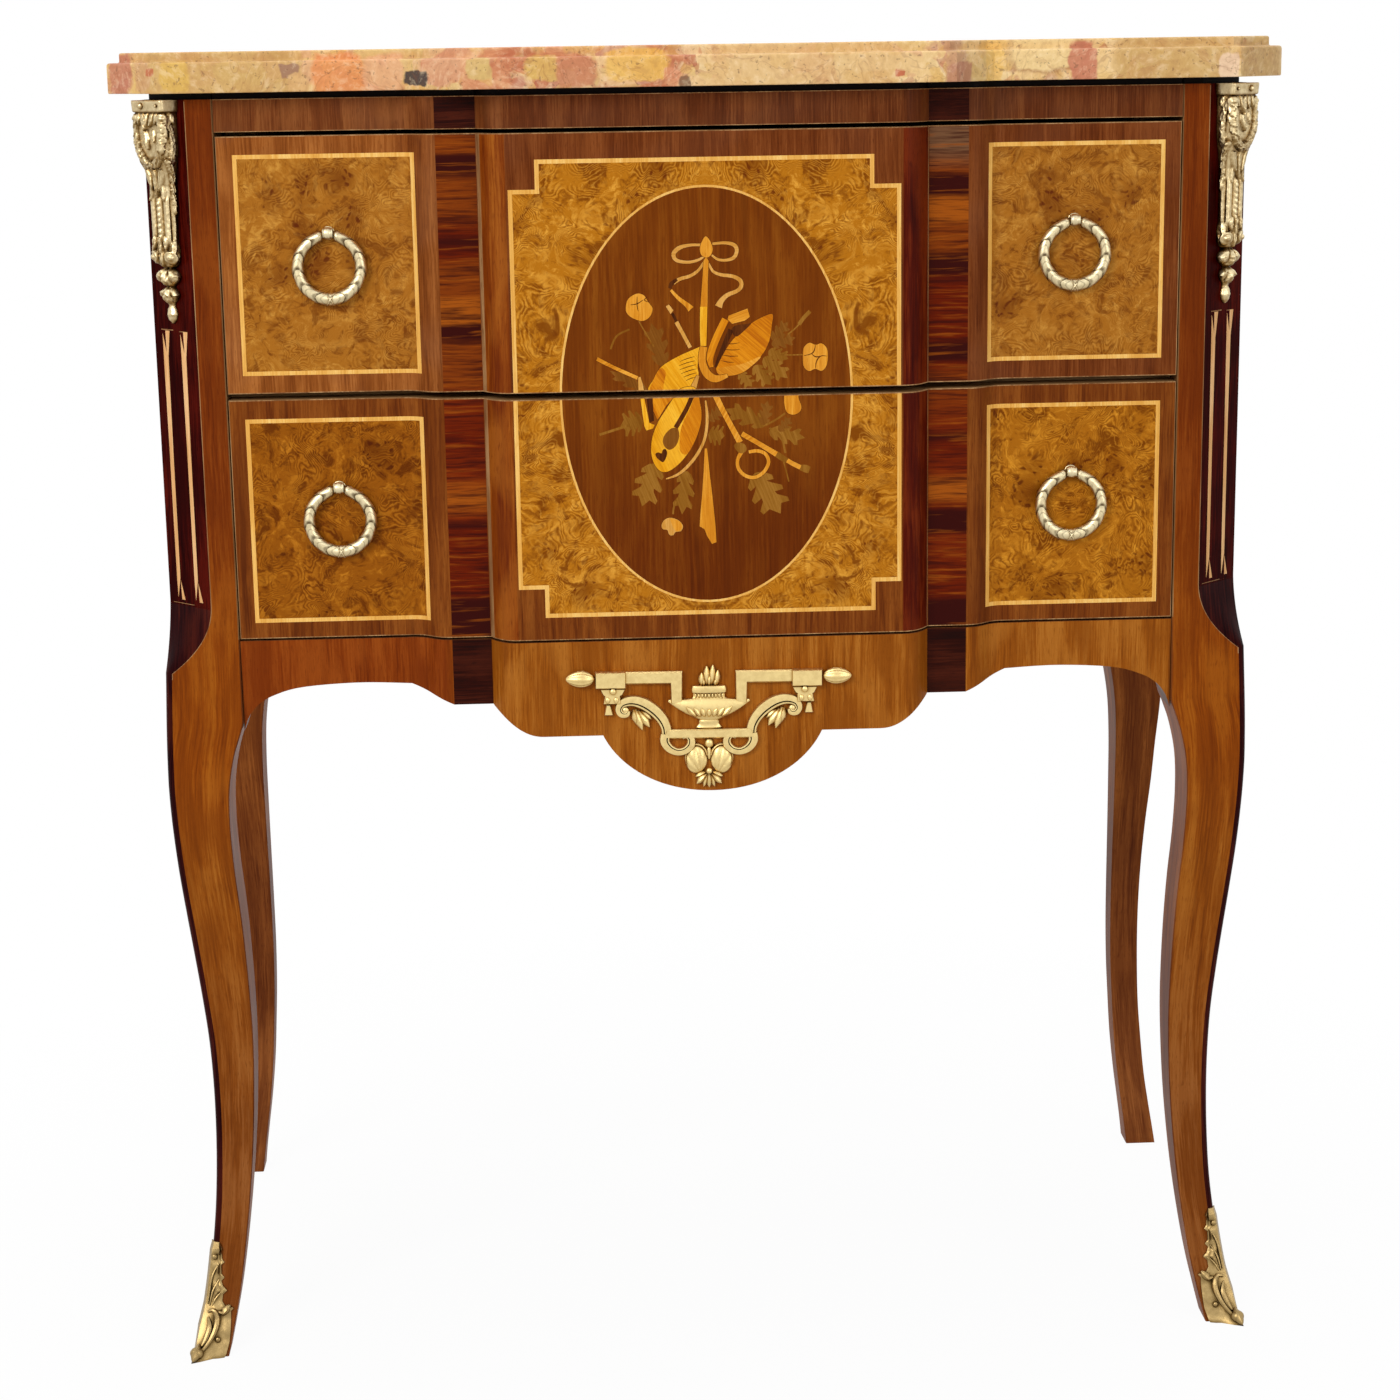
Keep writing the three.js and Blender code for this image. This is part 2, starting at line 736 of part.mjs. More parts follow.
// Dovetails: tails in side view (y, z) that widen away from the board they grow from
function tails(startY, direction, z0, z1, grow) {
  const pitch = (z1 - z0) / tailCount;
  const solids = [];
  for (let place = 0; place < tailCount; place += 1) {
    const middle = z0 + pitch * (place + 0.5);
    const root = pitch / 4 + grow;
    const tip = root + tailFlare;
    const rootY = startY - direction * (cutOverrun + grow);
    const tipY = startY + direction * (tailLength + grow);
    const outline = [[rootY, middle - root], [tipY, middle - tip], [tipY, middle + tip], [rootY, middle + root]];
    solids.push(direction > 0 ? outline : outline.reverse());
  }
  return solids;
}

function tailPrisms(startY, direction, z0, z1, grow, outer) {
  const inner = -boxHalf + drawerWall + grow;
  return tails(startY, direction, z0, z1, grow).map((outline) => prismX(outline, -outer, inner));
}

function drawerBottomBox(z0, grow) {
  const half = boxHalf - drawerWall + grooveDepth - restGap + grow;
  const z = z0 + drawerBottomRise;
  return box(
    -half,
    half,
    frontThickness - grooveDepth + restGap - grow,
    frontThickness + drawerDepth - restGap + grow,
    z - grow,
    z + drawerBottomThickness + grow,
  );
}

function drawerSide(z0, height) {
  const y0 = frontThickness + restGap;
  const y1 = frontThickness + drawerDepth - tailLength;
  const body = box(-boxHalf, -boxHalf + drawerWall, y0, y1 - restGap, z0, z0 + height);
  const front = tailPrisms(frontThickness, -1, z0, z0 + height, 0, boxHalf);
  const back = tailPrisms(y1 - restGap, 1, z0 + backDrop + drawerBottomThickness, z0 + height, 0, boxHalf);
  return cut(join(body, ...front, ...back), drawerBottomBox(z0, restGap));
}

function drawerBack(z0, height) {
  const y0 = frontThickness + drawerDepth - tailLength;
  const low = z0 + drawerBottomRise + drawerBottomThickness + restGap;
  const body = box(-boxHalf, boxHalf, y0, y0 + tailLength, low, z0 + height - backDrop / 2);
  const sockets = tailPrisms(y0 - restGap, 1, z0 + backDrop + drawerBottomThickness, z0 + height, restGap, boxHalf + cutOverrun);
  return cut(body, ...sockets, ...sockets.map(mirrorX));
}

function drawerFront(z0, z1, sideZ, sideHeight, pullZ) {
  const body = frontPrism(frontHalf, frontThickness, z0, z1);
  const sockets = tailPrisms(frontThickness, -1, sideZ, sideZ + sideHeight, restGap, frontHalf + cutOverrun);
  const holes = [-pullX, pullX].map((x) => rod(stemDiameter + 2 * restGap, frontThickness * 2, 12)
    .translate(x, frontThickness / 2, pullZ));
  return cut(body, ...sockets, ...sockets.map(mirrorX), drawerBottomBox(sideZ, restGap), ...holes);
}

function drawerBottom(z0) {
  return drawerBottomBox(z0, 0);
}

// Ring pull: a laurel ring that thins to a pin where it passes through the bead of its post
const ringRadius = (ringOuter - ringSection) / 2;
const pinRadius = ringRadius + ringTopRise;
const pullSetOff = ringSection / 2 + ringSetOff;
const ringTurns = 32;
const ringSides = 6;
const pinSpanShare = 0.055;
const leafReliefShare = 0.07;

function laurelRing() {
  const positions = [];
  const index = [];
  for (let turn = 0; turn < ringTurns; turn += 1) {
    const share = turn / ringTurns;
    const fromTop = Math.min(share, 1 - share);
    const neck = THREE.MathUtils.smoothstep(fromTop, pinSpanShare / 2, pinSpanShare);
    const leaf = 1 + leafReliefShare * (turn % 2 ? 1 : -1);
    const radius = THREE.MathUtils.lerp(ringPinSection, ringSection * leaf, neck) / 2;
    const rise = ringTopRise * (1 - THREE.MathUtils.smoothstep(fromTop, pinSpanShare / 2, 4 * pinSpanShare));
    const angle = share * 2 * Math.PI;
    for (let side = 0; side < ringSides; side += 1) {
      const around = ((side + 0.5) / ringSides) * 2 * Math.PI;
      const reach = ringRadius + rise + radius * Math.cos(around);
      const down = reach * Math.cos(angle) - pinRadius;
      positions.push(reach * Math.sin(angle), radius * Math.sin(around), down);
    }
  }
  for (let turn = 0; turn < ringTurns; turn += 1) {
    for (let side = 0; side < ringSides; side += 1) {
      const here = turn * ringSides + side;
      const up = turn * ringSides + ((side + 1) % ringSides);
      const next = ((turn + 1) % ringTurns) * ringSides + side;
      const nextUp = ((turn + 1) % ringTurns) * ringSides + ((side + 1) % ringSides);
      index.push(here, next, nextUp, here, nextUp, up);
    }
  }
  const geometry = new THREE.BufferGeometry();
  geometry.setAttribute('position', new THREE.Float32BufferAttribute(positions, 3));
  geometry.setIndex(index);
  geometry.computeVertexNormals();
  return geometry;
}

// The post of a pull, with its bead at the origin and its stem running back through the drawer front
function pullPost() {
  const bead = new THREE.SphereGeometry(beadDiameter / 2, 12, 8);
  const stemLength = pullSetOff + frontThickness + nutThickness + stemTail;
  const stem = rod(stemDiameter, stemLength, 8).translate(0, stemLength / 2, 0);
  const collar = rod(collarDiameter, collarThickness, 12).translate(0, pullSetOff - collarThickness / 2 - restGap, 0);
  const eye = rod(ringPinSection + 2 * eyeClearance, beadDiameter * 2, 10).rotateZ(Math.PI / 2);
  return cut(join(bead, stem, collar), eye);
}

function pullNut() {
  const outline = new THREE.Shape();
  for (let corner = 0; corner < 6; corner += 1) {
    const angle = (corner / 6) * 2 * Math.PI;
    const reach = nutWidth / 2 / Math.cos(Math.PI / 6);
    const point = [reach * Math.cos(angle), reach * Math.sin(angle)];
    if (corner === 0) {
      outline.moveTo(...point);
    } else {
      outline.lineTo(...point);
    }
  }
  const hole = new THREE.Path();
  hole.absarc(0, 0, stemDiameter / 2 + restGap, 0, 2 * Math.PI, true);
  outline.holes.push(hole);
  const nut = new THREE.ExtrudeGeometry(outline, { depth: nutThickness, bevelEnabled: false, curveSegments: 8 });
  return nut.rotateX(Math.PI / 2).translate(0, nutThickness, 0);
}

// Corner mount on the canted post: x runs across the cant, y out of the post is negative, z = 0 is its top
const chuteHalf = chuteWidth / 2;
const corbelWidth = chuteWidth * 0.8;
const corbelHeight = chuteHeight * 0.63;

function leafBlob(width, depth, height, z, x = 0) {
  const blob = new THREE.SphereGeometry(0.5, 8, 6);
  return blob.scale(width, depth, height).translate(x, -depth / 3, z);
}

function chuteBody() {
  const abacus = prismX([
    [0, -abacusHeight],
    [0, 0],
    [-chuteDepth, 0],
    [-chuteDepth, -abacusHeight / 3],
    [-chuteDepth * 0.85, -abacusHeight],
  ].reverse(), -chuteHalf, chuteHalf);
  const profile = new THREE.SplineCurve([
    new THREE.Vector2(-chuteDepth * 0.8, -abacusHeight),
    new THREE.Vector2(-chuteDepth * 0.85, -corbelHeight * 0.25),
    new THREE.Vector2(-chuteDepth * 0.6, -corbelHeight * 0.5),
    new THREE.Vector2(-chuteDepth * 0.42, -corbelHeight * 0.75),
    new THREE.Vector2(-chuteDepth * 0.45, -corbelHeight),
  ]).getPoints(10).map((point) => [point.x, point.y]);
  const side = [[0, -abacusHeight + restGap], ...profile, [0, -corbelHeight]];
  const corbel = prismX(side, -corbelWidth / 2, corbelWidth / 2);
  return [abacus, corbel];
}

function chuteFlutes() {
  const spacing = corbelWidth / 4;
  return [-1, 0, 1].map((place) => box(
    place * spacing - spacing / 4,
    place * spacing + spacing / 4,
    -chuteDepth,
    -chuteDepth * 0.3,
    -corbelHeight * 0.94,
    -corbelHeight * 0.62,
  ));
}

function chuteSwag() {
  const half = corbelWidth / 2 + swagThickness / 3;
  const route = new THREE.CatmullRomCurve3([
    new THREE.Vector3(-half, -chuteDepth * 0.5, -corbelHeight * 0.62),
    new THREE.Vector3(-half, -chuteDepth * 0.6, -corbelHeight * 0.28),
    new THREE.Vector3(-half * 0.6, -chuteDepth * 0.95, -corbelHeight * 0.36),
    new THREE.Vector3(0, -chuteDepth, -corbelHeight * 0.52),
    new THREE.Vector3(half * 0.6, -chuteDepth * 0.95, -corbelHeight * 0.36),
    new THREE.Vector3(half, -chuteDepth * 0.6, -corbelHeight * 0.28),
    new THREE.Vector3(half, -chuteDepth * 0.5, -corbelHeight * 0.62),
  ]);
  return tube(route, swagThickness / 2, 14, 3);
}

function tube(route, radius, steps, sides) {
  const section = new THREE.Shape();
  section.absarc(0, 0, radius, 0, 2 * Math.PI, false);
  return new THREE.ExtrudeGeometry(section, {
    steps,
    curveSegments: sides,
    bevelEnabled: false,
    extrudePath: route,
  });
}

function cornerMount() {
  const tail = chuteHeight - corbelHeight;
  const blobs = [
    leafBlob(chuteWidth * 0.72, chuteDepth, tail * 0.42, -corbelHeight - tail * 0.02),
    leafBlob(chuteWidth * 0.58, chuteDepth * 0.9, tail * 0.34, -corbelHeight - tail * 0.3),
    leafBlob(chuteWidth * 0.48, chuteDepth * 0.8, tail * 0.34, -corbelHeight - tail * 0.54),
    leafBlob(chuteWidth * 0.24, chuteDepth * 0.7, tail * 0.4, -corbelHeight - tail * 0.8),
    leafBlob(chuteWidth * 0.36, chuteDepth * 1.1, chuteWidth * 0.3, -corbelHeight * 0.17),
  ];
  const front = cut(join(...chuteBody()), ...chuteFlutes());
  const whole = join(front, chuteSwag(), ...blobs);
  const behind = box(-chuteWidth, chuteWidth, 0, chuteDepth * 2, -chuteHeight * 2, chuteHeight);
  const hole = rod(screwDiameter + 2 * restGap, chuteDepth * 4, 8).translate(0, 0, -abacusHeight / 2);
  return cut(whole, behind, hole);
}

// A small round-headed screw along y: its head is in front of y = 0 and its shank behind
function mountScrew(length) {
  const shank = rod(screwDiameter, length, 8).translate(0, length / 2 - restGap, 0);
  const head = rod(screwHeadDiameter * 0.8, screwHeadThickness, 10).translate(0, -screwHeadThickness / 2, 0);
  return join(shank, head);
}

// Apron mount: an urn between two stepped arms with acorn ends, scrolls below and a palmette at the foot
const mountHalf = apronMountWidth / 2;
const armShares = [
  [0.185, 0.69],
  [0.185, 0.958],
  [0.573, 0.952],
  [0.573, 0.937],
  [0.787, 0.937],
  [0.787, 0.808],
  [0.573, 0.808],
  [0.573, 0.854],
  [0.262, 0.854],
  [0.262, 0.69],
];
const pendantShares = [
  [0.58, 0.82],
  [0.75, 0.82],
  [0.73, 0.68],
  [0.705, 0.6],
  [0.66, 0.6],
  [0.637, 0.68],
];
const scrollShares = [
  [0.54, 0.6],
  [0.595, 0.62],
  [0.585, 0.685],
  [0.5, 0.695],
  [0.4, 0.64],
  [0.315, 0.54],
  [0.27, 0.43],
  [0.295, 0.34],
  [0.24, 0.26],
  [0.165, 0.26],
  [0.125, 0.34],
  [0.16, 0.42],
];
const leafShares = [
  [0.36, 0.6],
  [0.5, 0.62],
  [0.485, 0.55],
  [0.44, 0.44],
  [0.41, 0.43],
];
const urnShares = [
  [0.073, 0.34],
  [0.073, 0.54],
  [0.19, 0.61],
  [0.275, 0.69],
  [0.1, 0.7],
  [0.1, 0.77],
  [0.088, 0.84],
  [0.07, 0.86],
  [0.06, 0.95],
];
const bridgeShares = [0.26, 0.38, 0.48];
const palmetteShares = [0, 0.1, 0.17, 0.28];
const acornShares = [0.89, 0.893, 0.21, 0.135];

function mountPoint([across, up]) {
  return [across * mountHalf, (up - 1) * apronMountHeight];
}

function plaque(shares, thickness) {
  return prismY(shares.map(mountPoint).reverse(), -thickness, 0);
}

function apronMount() {
  const half = [plaque(armShares, mountThickness), plaque(pendantShares, mountThickness)];
  half.push(plaque(leafShares, mountThickness * 0.8));
  const route = scrollShares.map(mountPoint).map(([x, z]) => new THREE.Vector3(x, -mountThickness / 2, z));
  half.push(tube(new THREE.CatmullRomCurve3(route), barHeight * 0.42, 26, 3));
  const [acornX, acornZ] = mountPoint(acornShares);
  const acorn = new THREE.SphereGeometry(0.5, 8, 6);
  acorn.scale(mountHalf * acornShares[2], mountThickness * 1.7, apronMountHeight * acornShares[3]);
  half.push(acorn.translate(acornX, -mountThickness / 2, acornZ));
  const urn = [...urnShares, ...urnShares.map(([across, up]) => [-across, up]).reverse()];
  const flameTop = [[-urnShares[8][0], urnShares[8][1]], [0, 1], [urnShares[8][0], urnShares[8][1]]];
  const [bridgeX, bridgeLow, bridgeHigh] = bridgeShares;
  const bridge = [[-bridgeX, bridgeLow], [-bridgeX, bridgeHigh], [bridgeX, bridgeHigh], [bridgeX, bridgeLow]];
  const [footZ, waistZ, halfWidth, topZ] = palmetteShares;
  const palmette = [
    [-halfWidth / 2, footZ],
    [-halfWidth / 2, waistZ * 0.7],
    [-halfWidth, waistZ * 1.6],
    [-halfWidth * 0.8, topZ],
    [-halfWidth / 4, topZ * 1.45],
    [halfWidth / 4, topZ * 1.45],
    [halfWidth * 0.8, topZ],
    [halfWidth, waistZ * 1.6],
    [halfWidth / 2, waistZ * 0.7],
    [halfWidth / 2, footZ],
  ];
  const middle = [
    plaque(urn, mountThickness * 1.3),
    plaque(flameTop, mountThickness),
    plaque(bridge, mountThickness * 0.9),
    plaque(palmette, mountThickness * 1.2),
  ];
  const whole = join(...half, ...half.map(mirrorX), ...middle);
  return cut(whole, box(-apronMountWidth, apronMountWidth, 0, chuteDepth, -2 * apronMountHeight, apronMountHeight));
}

// Sabot of the left front foot: a thin leaf over the outer corner that widens into a shoe with a toe
const sabotSteps = 12;

function sabot() {
  const rings = [];
  for (let step = 0; step <= sabotSteps; step += 1) {
    rings.push(sabotRing(sabotHeight * (step / sabotSteps), step / sabotSteps));
  }
  return loft(rings);
}

// The leg's own section at a height, between the two nearest rings
function sectionAt(z) {
  const above = frontLegRings.findIndex((ring) => ring[0].z >= z);
  if (above <= 0) {
    return frontLegRings[0];
  }
  const low = frontLegRings[above - 1];
  const high = frontLegRings[above];
  const share = (z - low[0].z) / (high[0].z - low[0].z);
  return low.map((point, place) => point.clone().lerp(high[place], share));
}

// The rounded outer corner of the leg, moved out by reach
function cornerPath(ring, span, reach) {
  const [right, , , side, nose, front] = ring;
  const slant = reach * Math.SQRT1_2;
  return [
    [side.x - reach, side.y + span],
    [side.x - reach, side.y],
    [nose.x - slant, nose.y - slant],
    [front.x, right.y - reach],
    [front.x + span, right.y - reach],
  ];
}

function sabotRing(z, share) {
  const ring = sectionAt(z);
  const width = ring[0].x - ring[3].x;
  const span = width * THREE.MathUtils.lerp(0.6, 0.08, Math.sqrt(share));
  const toe = sabotToe * (1 - share) ** 4;
  const inner = cornerPath(ring, span, restGap);
  const outer = cornerPath(ring, span, restGap + sabotThickness);
  outer[2][0] -= toe * 0.1;
  outer[2][1] -= toe;
  outer[3][1] -= toe * 0.5;
  const points = [...outer, ...inner.reverse()];
  return points.map(([x, y]) => new THREE.Vector3(x, y, z));
}

// Assembly
const commode = new THREE.Group();
const rearFlare = rearLegShares[rearLegShares.length - 1][2] * postWidth;
const frontReach = -(marbleFrontOverhang + breakForward);
const rearReach = caseDepth + Math.max(rearFlare, marbleRearOverhang);
commode.position.y = -(frontReach + rearReach) / 2;

function place(name, geometry, look, x = 0, y = 0, z = 0, turn = 0) {
  const mesh = new THREE.Mesh(geometry, new THREE.MeshStandardMaterial(look));
  mesh.name = name;
  mesh.position.set(x, y, z);
  mesh.rotation.z = turn;
  commode.add(mesh);
  return mesh;
}

function pair(leftName, rightName, geometry, look) {
  place(leftName, geometry, look);
  place(rightName, mirrorX(geometry), look);
}

function addCase() {
  place('marble_top', marbleTop(), marble);
  const sidePanelTool = sideTongue(restGap);
  const rearTools = [...mortises(['topRear', 'bottomRear']), sidePanelTool, backPanelTongue(restGap)];
  const frontTools = [...mortises(['apron', 'topFront', 'middle']), sidePanelTool];
  pair('front_left_leg', 'front_right_leg', cut(frontLeg(), ...frontTools, ...chuteScrewHoles()), walnut);
  pair('rear_left_leg', 'rear_right_leg', cut(rearLeg(), ...rearTools), walnut);
  pair('left_side_panel', 'right_side_panel', sidePanel(), walnut);
  place('back_panel', backPanel(), oak);
  place('top_front_rail', topFrontRail(), walnut);
  place('top_rear_rail', topRearRail(), oak);
  place('middle_front_rail', middleFrontRail(), oak);
  place('front_apron', frontApron(), walnut);
  place('bottom_rear_rail', bottomRearRail(), oak);
  place('dust_board', dustBoardBox(0), oak);
  place('bottom_board', bottomBoard(), oak);
  pair('upper_left_runner', 'upper_right_runner', upperRunner(), oak);
  pair('lower_left_runner', 'lower_right_runner', lowerRunner(), oak);
  pair('left_kicker', 'right_kicker', kicker(), oak);
  pair('left_drawer_stop', 'right_drawer_stop', drawerStop(), oak);
  pair('left_corner_block', 'right_corner_block', cornerBlock(), oak);
}

const cantMiddle = caseHalf - postCant / 2;
const cantTurn = Math.PI / 4;

function chuteScrewHoles() {
  const hole = rod(screwDiameter + 2 * restGap, screwLength * 2, 8).rotateZ(-cantTurn);
  return [hole.translate(-cantMiddle, postCant / 2, recessZ - abacusHeight / 2)];
}

function addMounts() {
  const out = restGap * Math.SQRT1_2;
  const y = postCant / 2 - out;
  const x = cantMiddle + out;
  const chute = cornerMount();
  place('left_corner_mount', chute, gilt, -x, y, recessZ, -cantTurn);
  place('right_corner_mount', chute, gilt, x, y, recessZ, cantTurn);
  const screwOut = (chuteDepth + restGap) * Math.SQRT1_2;
  const screw = mountScrew(screwLength);
  place('left_mount_screw', screw, steel, -cantMiddle - screwOut, postCant / 2 - screwOut, recessZ - abacusHeight / 2, -cantTurn);
  place('right_mount_screw', screw, steel, cantMiddle + screwOut, postCant / 2 - screwOut, recessZ - abacusHeight / 2, cantTurn);
  const lobeBottom = apronTopZ - legRise - cuspDrop - centreDrop;
  const mountTop = lobeBottom + apronMountRise + apronMountHeight + restGap;
  place('apron_mount', apronMount(), gilt, apronMountShift, -breakForward - restGap, mountTop);
  pair('left_sabot', 'right_sabot', sabot(), gilt);
}

function addDrawer(name, z0, z1, sideZ, sideHeight, pullDrop) {
  const pullZ = z1 - pullDrop;
  place(`${name}_front`, drawerFront(z0, z1, sideZ, sideHeight, pullZ), walnut);
  pair(`${name}_left_side`, `${name}_right_side`, drawerSide(sideZ, sideHeight), oak);
  place(`${name}_back`, drawerBack(sideZ, sideHeight), oak);
  place(`${name}_bottom`, drawerBottom(sideZ), oak);
  const post = pullPost();
  const nut = pullNut();
  const ring = laurelRing();
  for (const [side, x] of [['left', -pullX], ['right', pullX]]) {
    place(`${name}_${side}_pull_post`, post, gilt, x, -pullSetOff, pullZ);
    place(`${name}_${side}_pull_nut`, nut, steel, x, frontThickness + restGap, pullZ);
    place(`${name}_${side}_ring`, ring, gilt, x, -pullSetOff, pullZ);
  }
}

addCase();
addMounts();
addDrawer('upper_drawer', upperZ, upperTopZ, upperRunZ + restGap, upperSideHeight, upperPullDrop);
addDrawer('lower_drawer', lowerZ, lowerTopZ, lowerRunZ + restGap, lowerSideHeight, lowerPullDrop);

export default commode;
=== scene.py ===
"""Looks for the breakfront commode: veneers, marquetry, marble, gilt mounts, camera and light.

Tables are in millimetres in the case's own axes, where the case's front plane is y = 0. place() turns
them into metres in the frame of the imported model.
"""

import math

import bmesh
import bpy
import numpy as np
from mathutils import Matrix, Vector, geometry, noise


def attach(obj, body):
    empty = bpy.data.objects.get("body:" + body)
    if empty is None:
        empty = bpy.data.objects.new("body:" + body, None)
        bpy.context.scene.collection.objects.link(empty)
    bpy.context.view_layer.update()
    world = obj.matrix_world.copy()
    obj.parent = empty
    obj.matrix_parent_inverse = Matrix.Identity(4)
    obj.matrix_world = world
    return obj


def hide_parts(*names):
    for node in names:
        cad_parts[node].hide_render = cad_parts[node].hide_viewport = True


MM = 0.001
FRONT_Y = -138.0

# Case
CASE_HALF = 347.0
CASE_DEPTH = 316.0
OPENING_HALF = 300.5
POST_WIDTH = 46.5
POST_CANT = 29.5
CASE_TOP = 825.2
RECESS_Z = 821.5
RECESS_DEPTH = 4.0
FRIEZE_Z = 801.6
UPPER_DRAWER = (640.6, 799.0)
LOWER_DRAWER = (484.1, 636.6)
UPPER_PANEL = (651.9, 787.8)
LOWER_PANEL = (494.4, 624.6)
PANEL_EDGES = (177.6, 289.7)
STRINGING = 2.6
FRONT_HALF = 299.6
BORDER_HALF = 299.2
FRIEZE_HALF = 300.1
APRON_TOP = 482.9
KNEE_Z = 462.9
BARE_POST_Z = 482.9
ARRIS_BULGE = 0.2071
STOP_HEIGHT = 42.0
FRONT_ARRIS = 4.5
REAR_ARRIS = 1.5
STOP_POWER = 2.2

# Breakfront
CENTRE_HALF = 122.0
NOSING_EDGE = 139.5
STRIP_EDGE = 164.5
SWELL_EDGE = 190.0
STEP_FORWARD = 12.0
BREAK_FORWARD = 28.0

# Marble
MARBLE_HEIGHT = 850.0
MARBLE_BASE = 825.5
MARBLE_TIER = 844.0
MARBLE_TIER_INSET = 7.5
MARBLE_SIDE = 365.25
MARBLE_FRONT = -18.0
MARBLE_BACK = 322.0
MARBLE_CANT = 33.5
MARBLE_BREAK_X = 152.1
MARBLE_BREAK_SLOPE = 27.0

VENEER = 0.45

# Strength of the polish's reflection on wood
POLISH = 0.05

# Floor: metres from the middle within which a shadow shows, and how much of it is plain white
FLOOR_SHADOW = (0.3, 0.8)
FLOOR_GLOW = 0.95

FRONT_LEG_SHARES = [
    (1, 0.035, 0.05, 0), (0.95, 0.055, 0.07, 0), (0.926, 0.064, 0.08, 0.004), (0.903, 0.071, 0.089, 0.078),
    (0.875, 0.077, 0.095, 0.162), (0.832, 0.08, 0.095, 0.236), (0.778, 0.062, 0.065, 0.256),
    (0.713, 0.017, 0.017, 0.232), (0.648, -0.047, -0.047, 0.185), (0.583, -0.116, -0.116, 0.153),
    (0.518, -0.181, -0.181, 0.135), (0.454, -0.234, -0.234, 0.131), (0.389, -0.258, -0.258, 0.151),
    (0.324, -0.258, -0.258, 0.187), (0.259, -0.237, -0.237, 0.241), (0.194, -0.194, -0.194, 0.312),
    (0.13, -0.129, -0.04, 0.391), (0.076, -0.054, 0.13, 0.473), (0.032, 0.032, 0.32, 0.559),
    (0, 0.108, 0.5, 0.624),
]
REAR_LEG_SHARES = [
    (1, 0.02, 0, 0), (0.95, 0.06, 0.01, 0), (0.92, 0.1, 0.02, 0.06), (0.875, 0.15, 0.04, 0.22),
    (0.84, 0.172, 0.05, 0.33), (0.778, 0.161, 0.03, 0.43), (0.713, 0.108, 0, 0.46),
    (0.648, 0.056, -0.03, 0.46),
    (0.583, -0.01, -0.06, 0.455), (0.518, -0.06, -0.075, 0.45), (0.454, -0.09, -0.08, 0.447),
    (0.389, -0.1, -0.08, 0.45), (0.324, -0.088, -0.07, 0.47), (0.259, -0.056, -0.05, 0.51),
    (0.194, 0.005, -0.015, 0.56), (0.13, 0.08, 0.02, 0.635), (0.076, 0.17, 0.06, 0.715),
    (0.032, 0.25, 0.095, 0.78), (0, 0.305, 0.12, 0.82),
]


def place(x, y, z):
    """A point in case millimetres, in the frame of the model."""
    return Vector((x * MM, (y + FRONT_Y) * MM, z * MM))


def srgb(r, g, b):
    """A colour given in 0 to 255 display values, as the shader's linear values."""
    def linear(value):
        value /= 255.0
        return value / 12.92 if value <= 0.04045 else ((value + 0.055) / 1.055) ** 2.4
    return (linear(r), linear(g), linear(b), 1.0)


def spline(points, share):
    """A point of the smooth curve through the given points, at a share of its length in points."""
    last = len(points) - 1
    at = min(max(share, 0.0), 1.0) * last
    index = min(int(at), last - 1)
    part = at - index
    p0, p1 = points[max(index - 1, 0)], points[index]
    p2, p3 = points[index + 1], points[min(index + 2, last)]
    out = []
    for a, b, c, d in zip(p0, p1, p2, p3):
        v0, v1 = (c - a) / 2, (d - b) / 2
        out.append((2 * b - 2 * c + v0 + v1) * part ** 3 + (-3 * b + 3 * c - 2 * v0 - v1) * part ** 2
                   + v0 * part + b)
    return tuple(out)


def smooth(points, steps):
    """Points of the smooth curve through the given ones, both ends included."""
    return [spline(points, step / steps) for step in range(steps + 1)]


def directions_across(path):
    """For each point of a flat path, the unit direction across it."""
    out = []
    for index in range(len(path)):
        ax, az = path[max(index - 1, 0)]
        bx, bz = path[min(index + 1, len(path) - 1)]
        length = math.hypot(bx - ax, bz - az) or 1.0
        out.append((-(bz - az) / length, (bx - ax) / length))
    return out


def turns(count):
    """Angles spaced evenly round a full turn."""
    return [2 * math.pi * k / count for k in range(count)]


def bezier(p0, p1, p2, p3, steps):
    """Points of a cubic curve, both ends included."""
    points = []
    for step in range(steps + 1):
        t = step / steps
        a, b, c, d = (1 - t) ** 3, 3 * t * (1 - t) ** 2, 3 * t * t * (1 - t), t ** 3
        points.append(tuple(a * w + b * x + c * y + d * z for w, x, y, z in zip(p0, p1, p2, p3)))
    return points


def closed_curve(points, per_side=6):
    """A smooth closed outline through the given points."""
    count = len(points)
    out = []
    for index in range(count):
        p0, p1 = points[index - 1], points[index]
        p2, p3 = points[(index + 1) % count], points[(index + 2) % count]
        for step in range(per_side):
            t = step / per_side
            out.append(tuple(
                0.5 * ((2 * b) + (c - a) * t + (2 * a - 5 * b + 4 * c - d) * t * t
                       + (3 * b - a - 3 * c + d) * t ** 3)
                for a, b, c, d in zip(p0, p1, p2, p3)))
    return out


# Mesh building


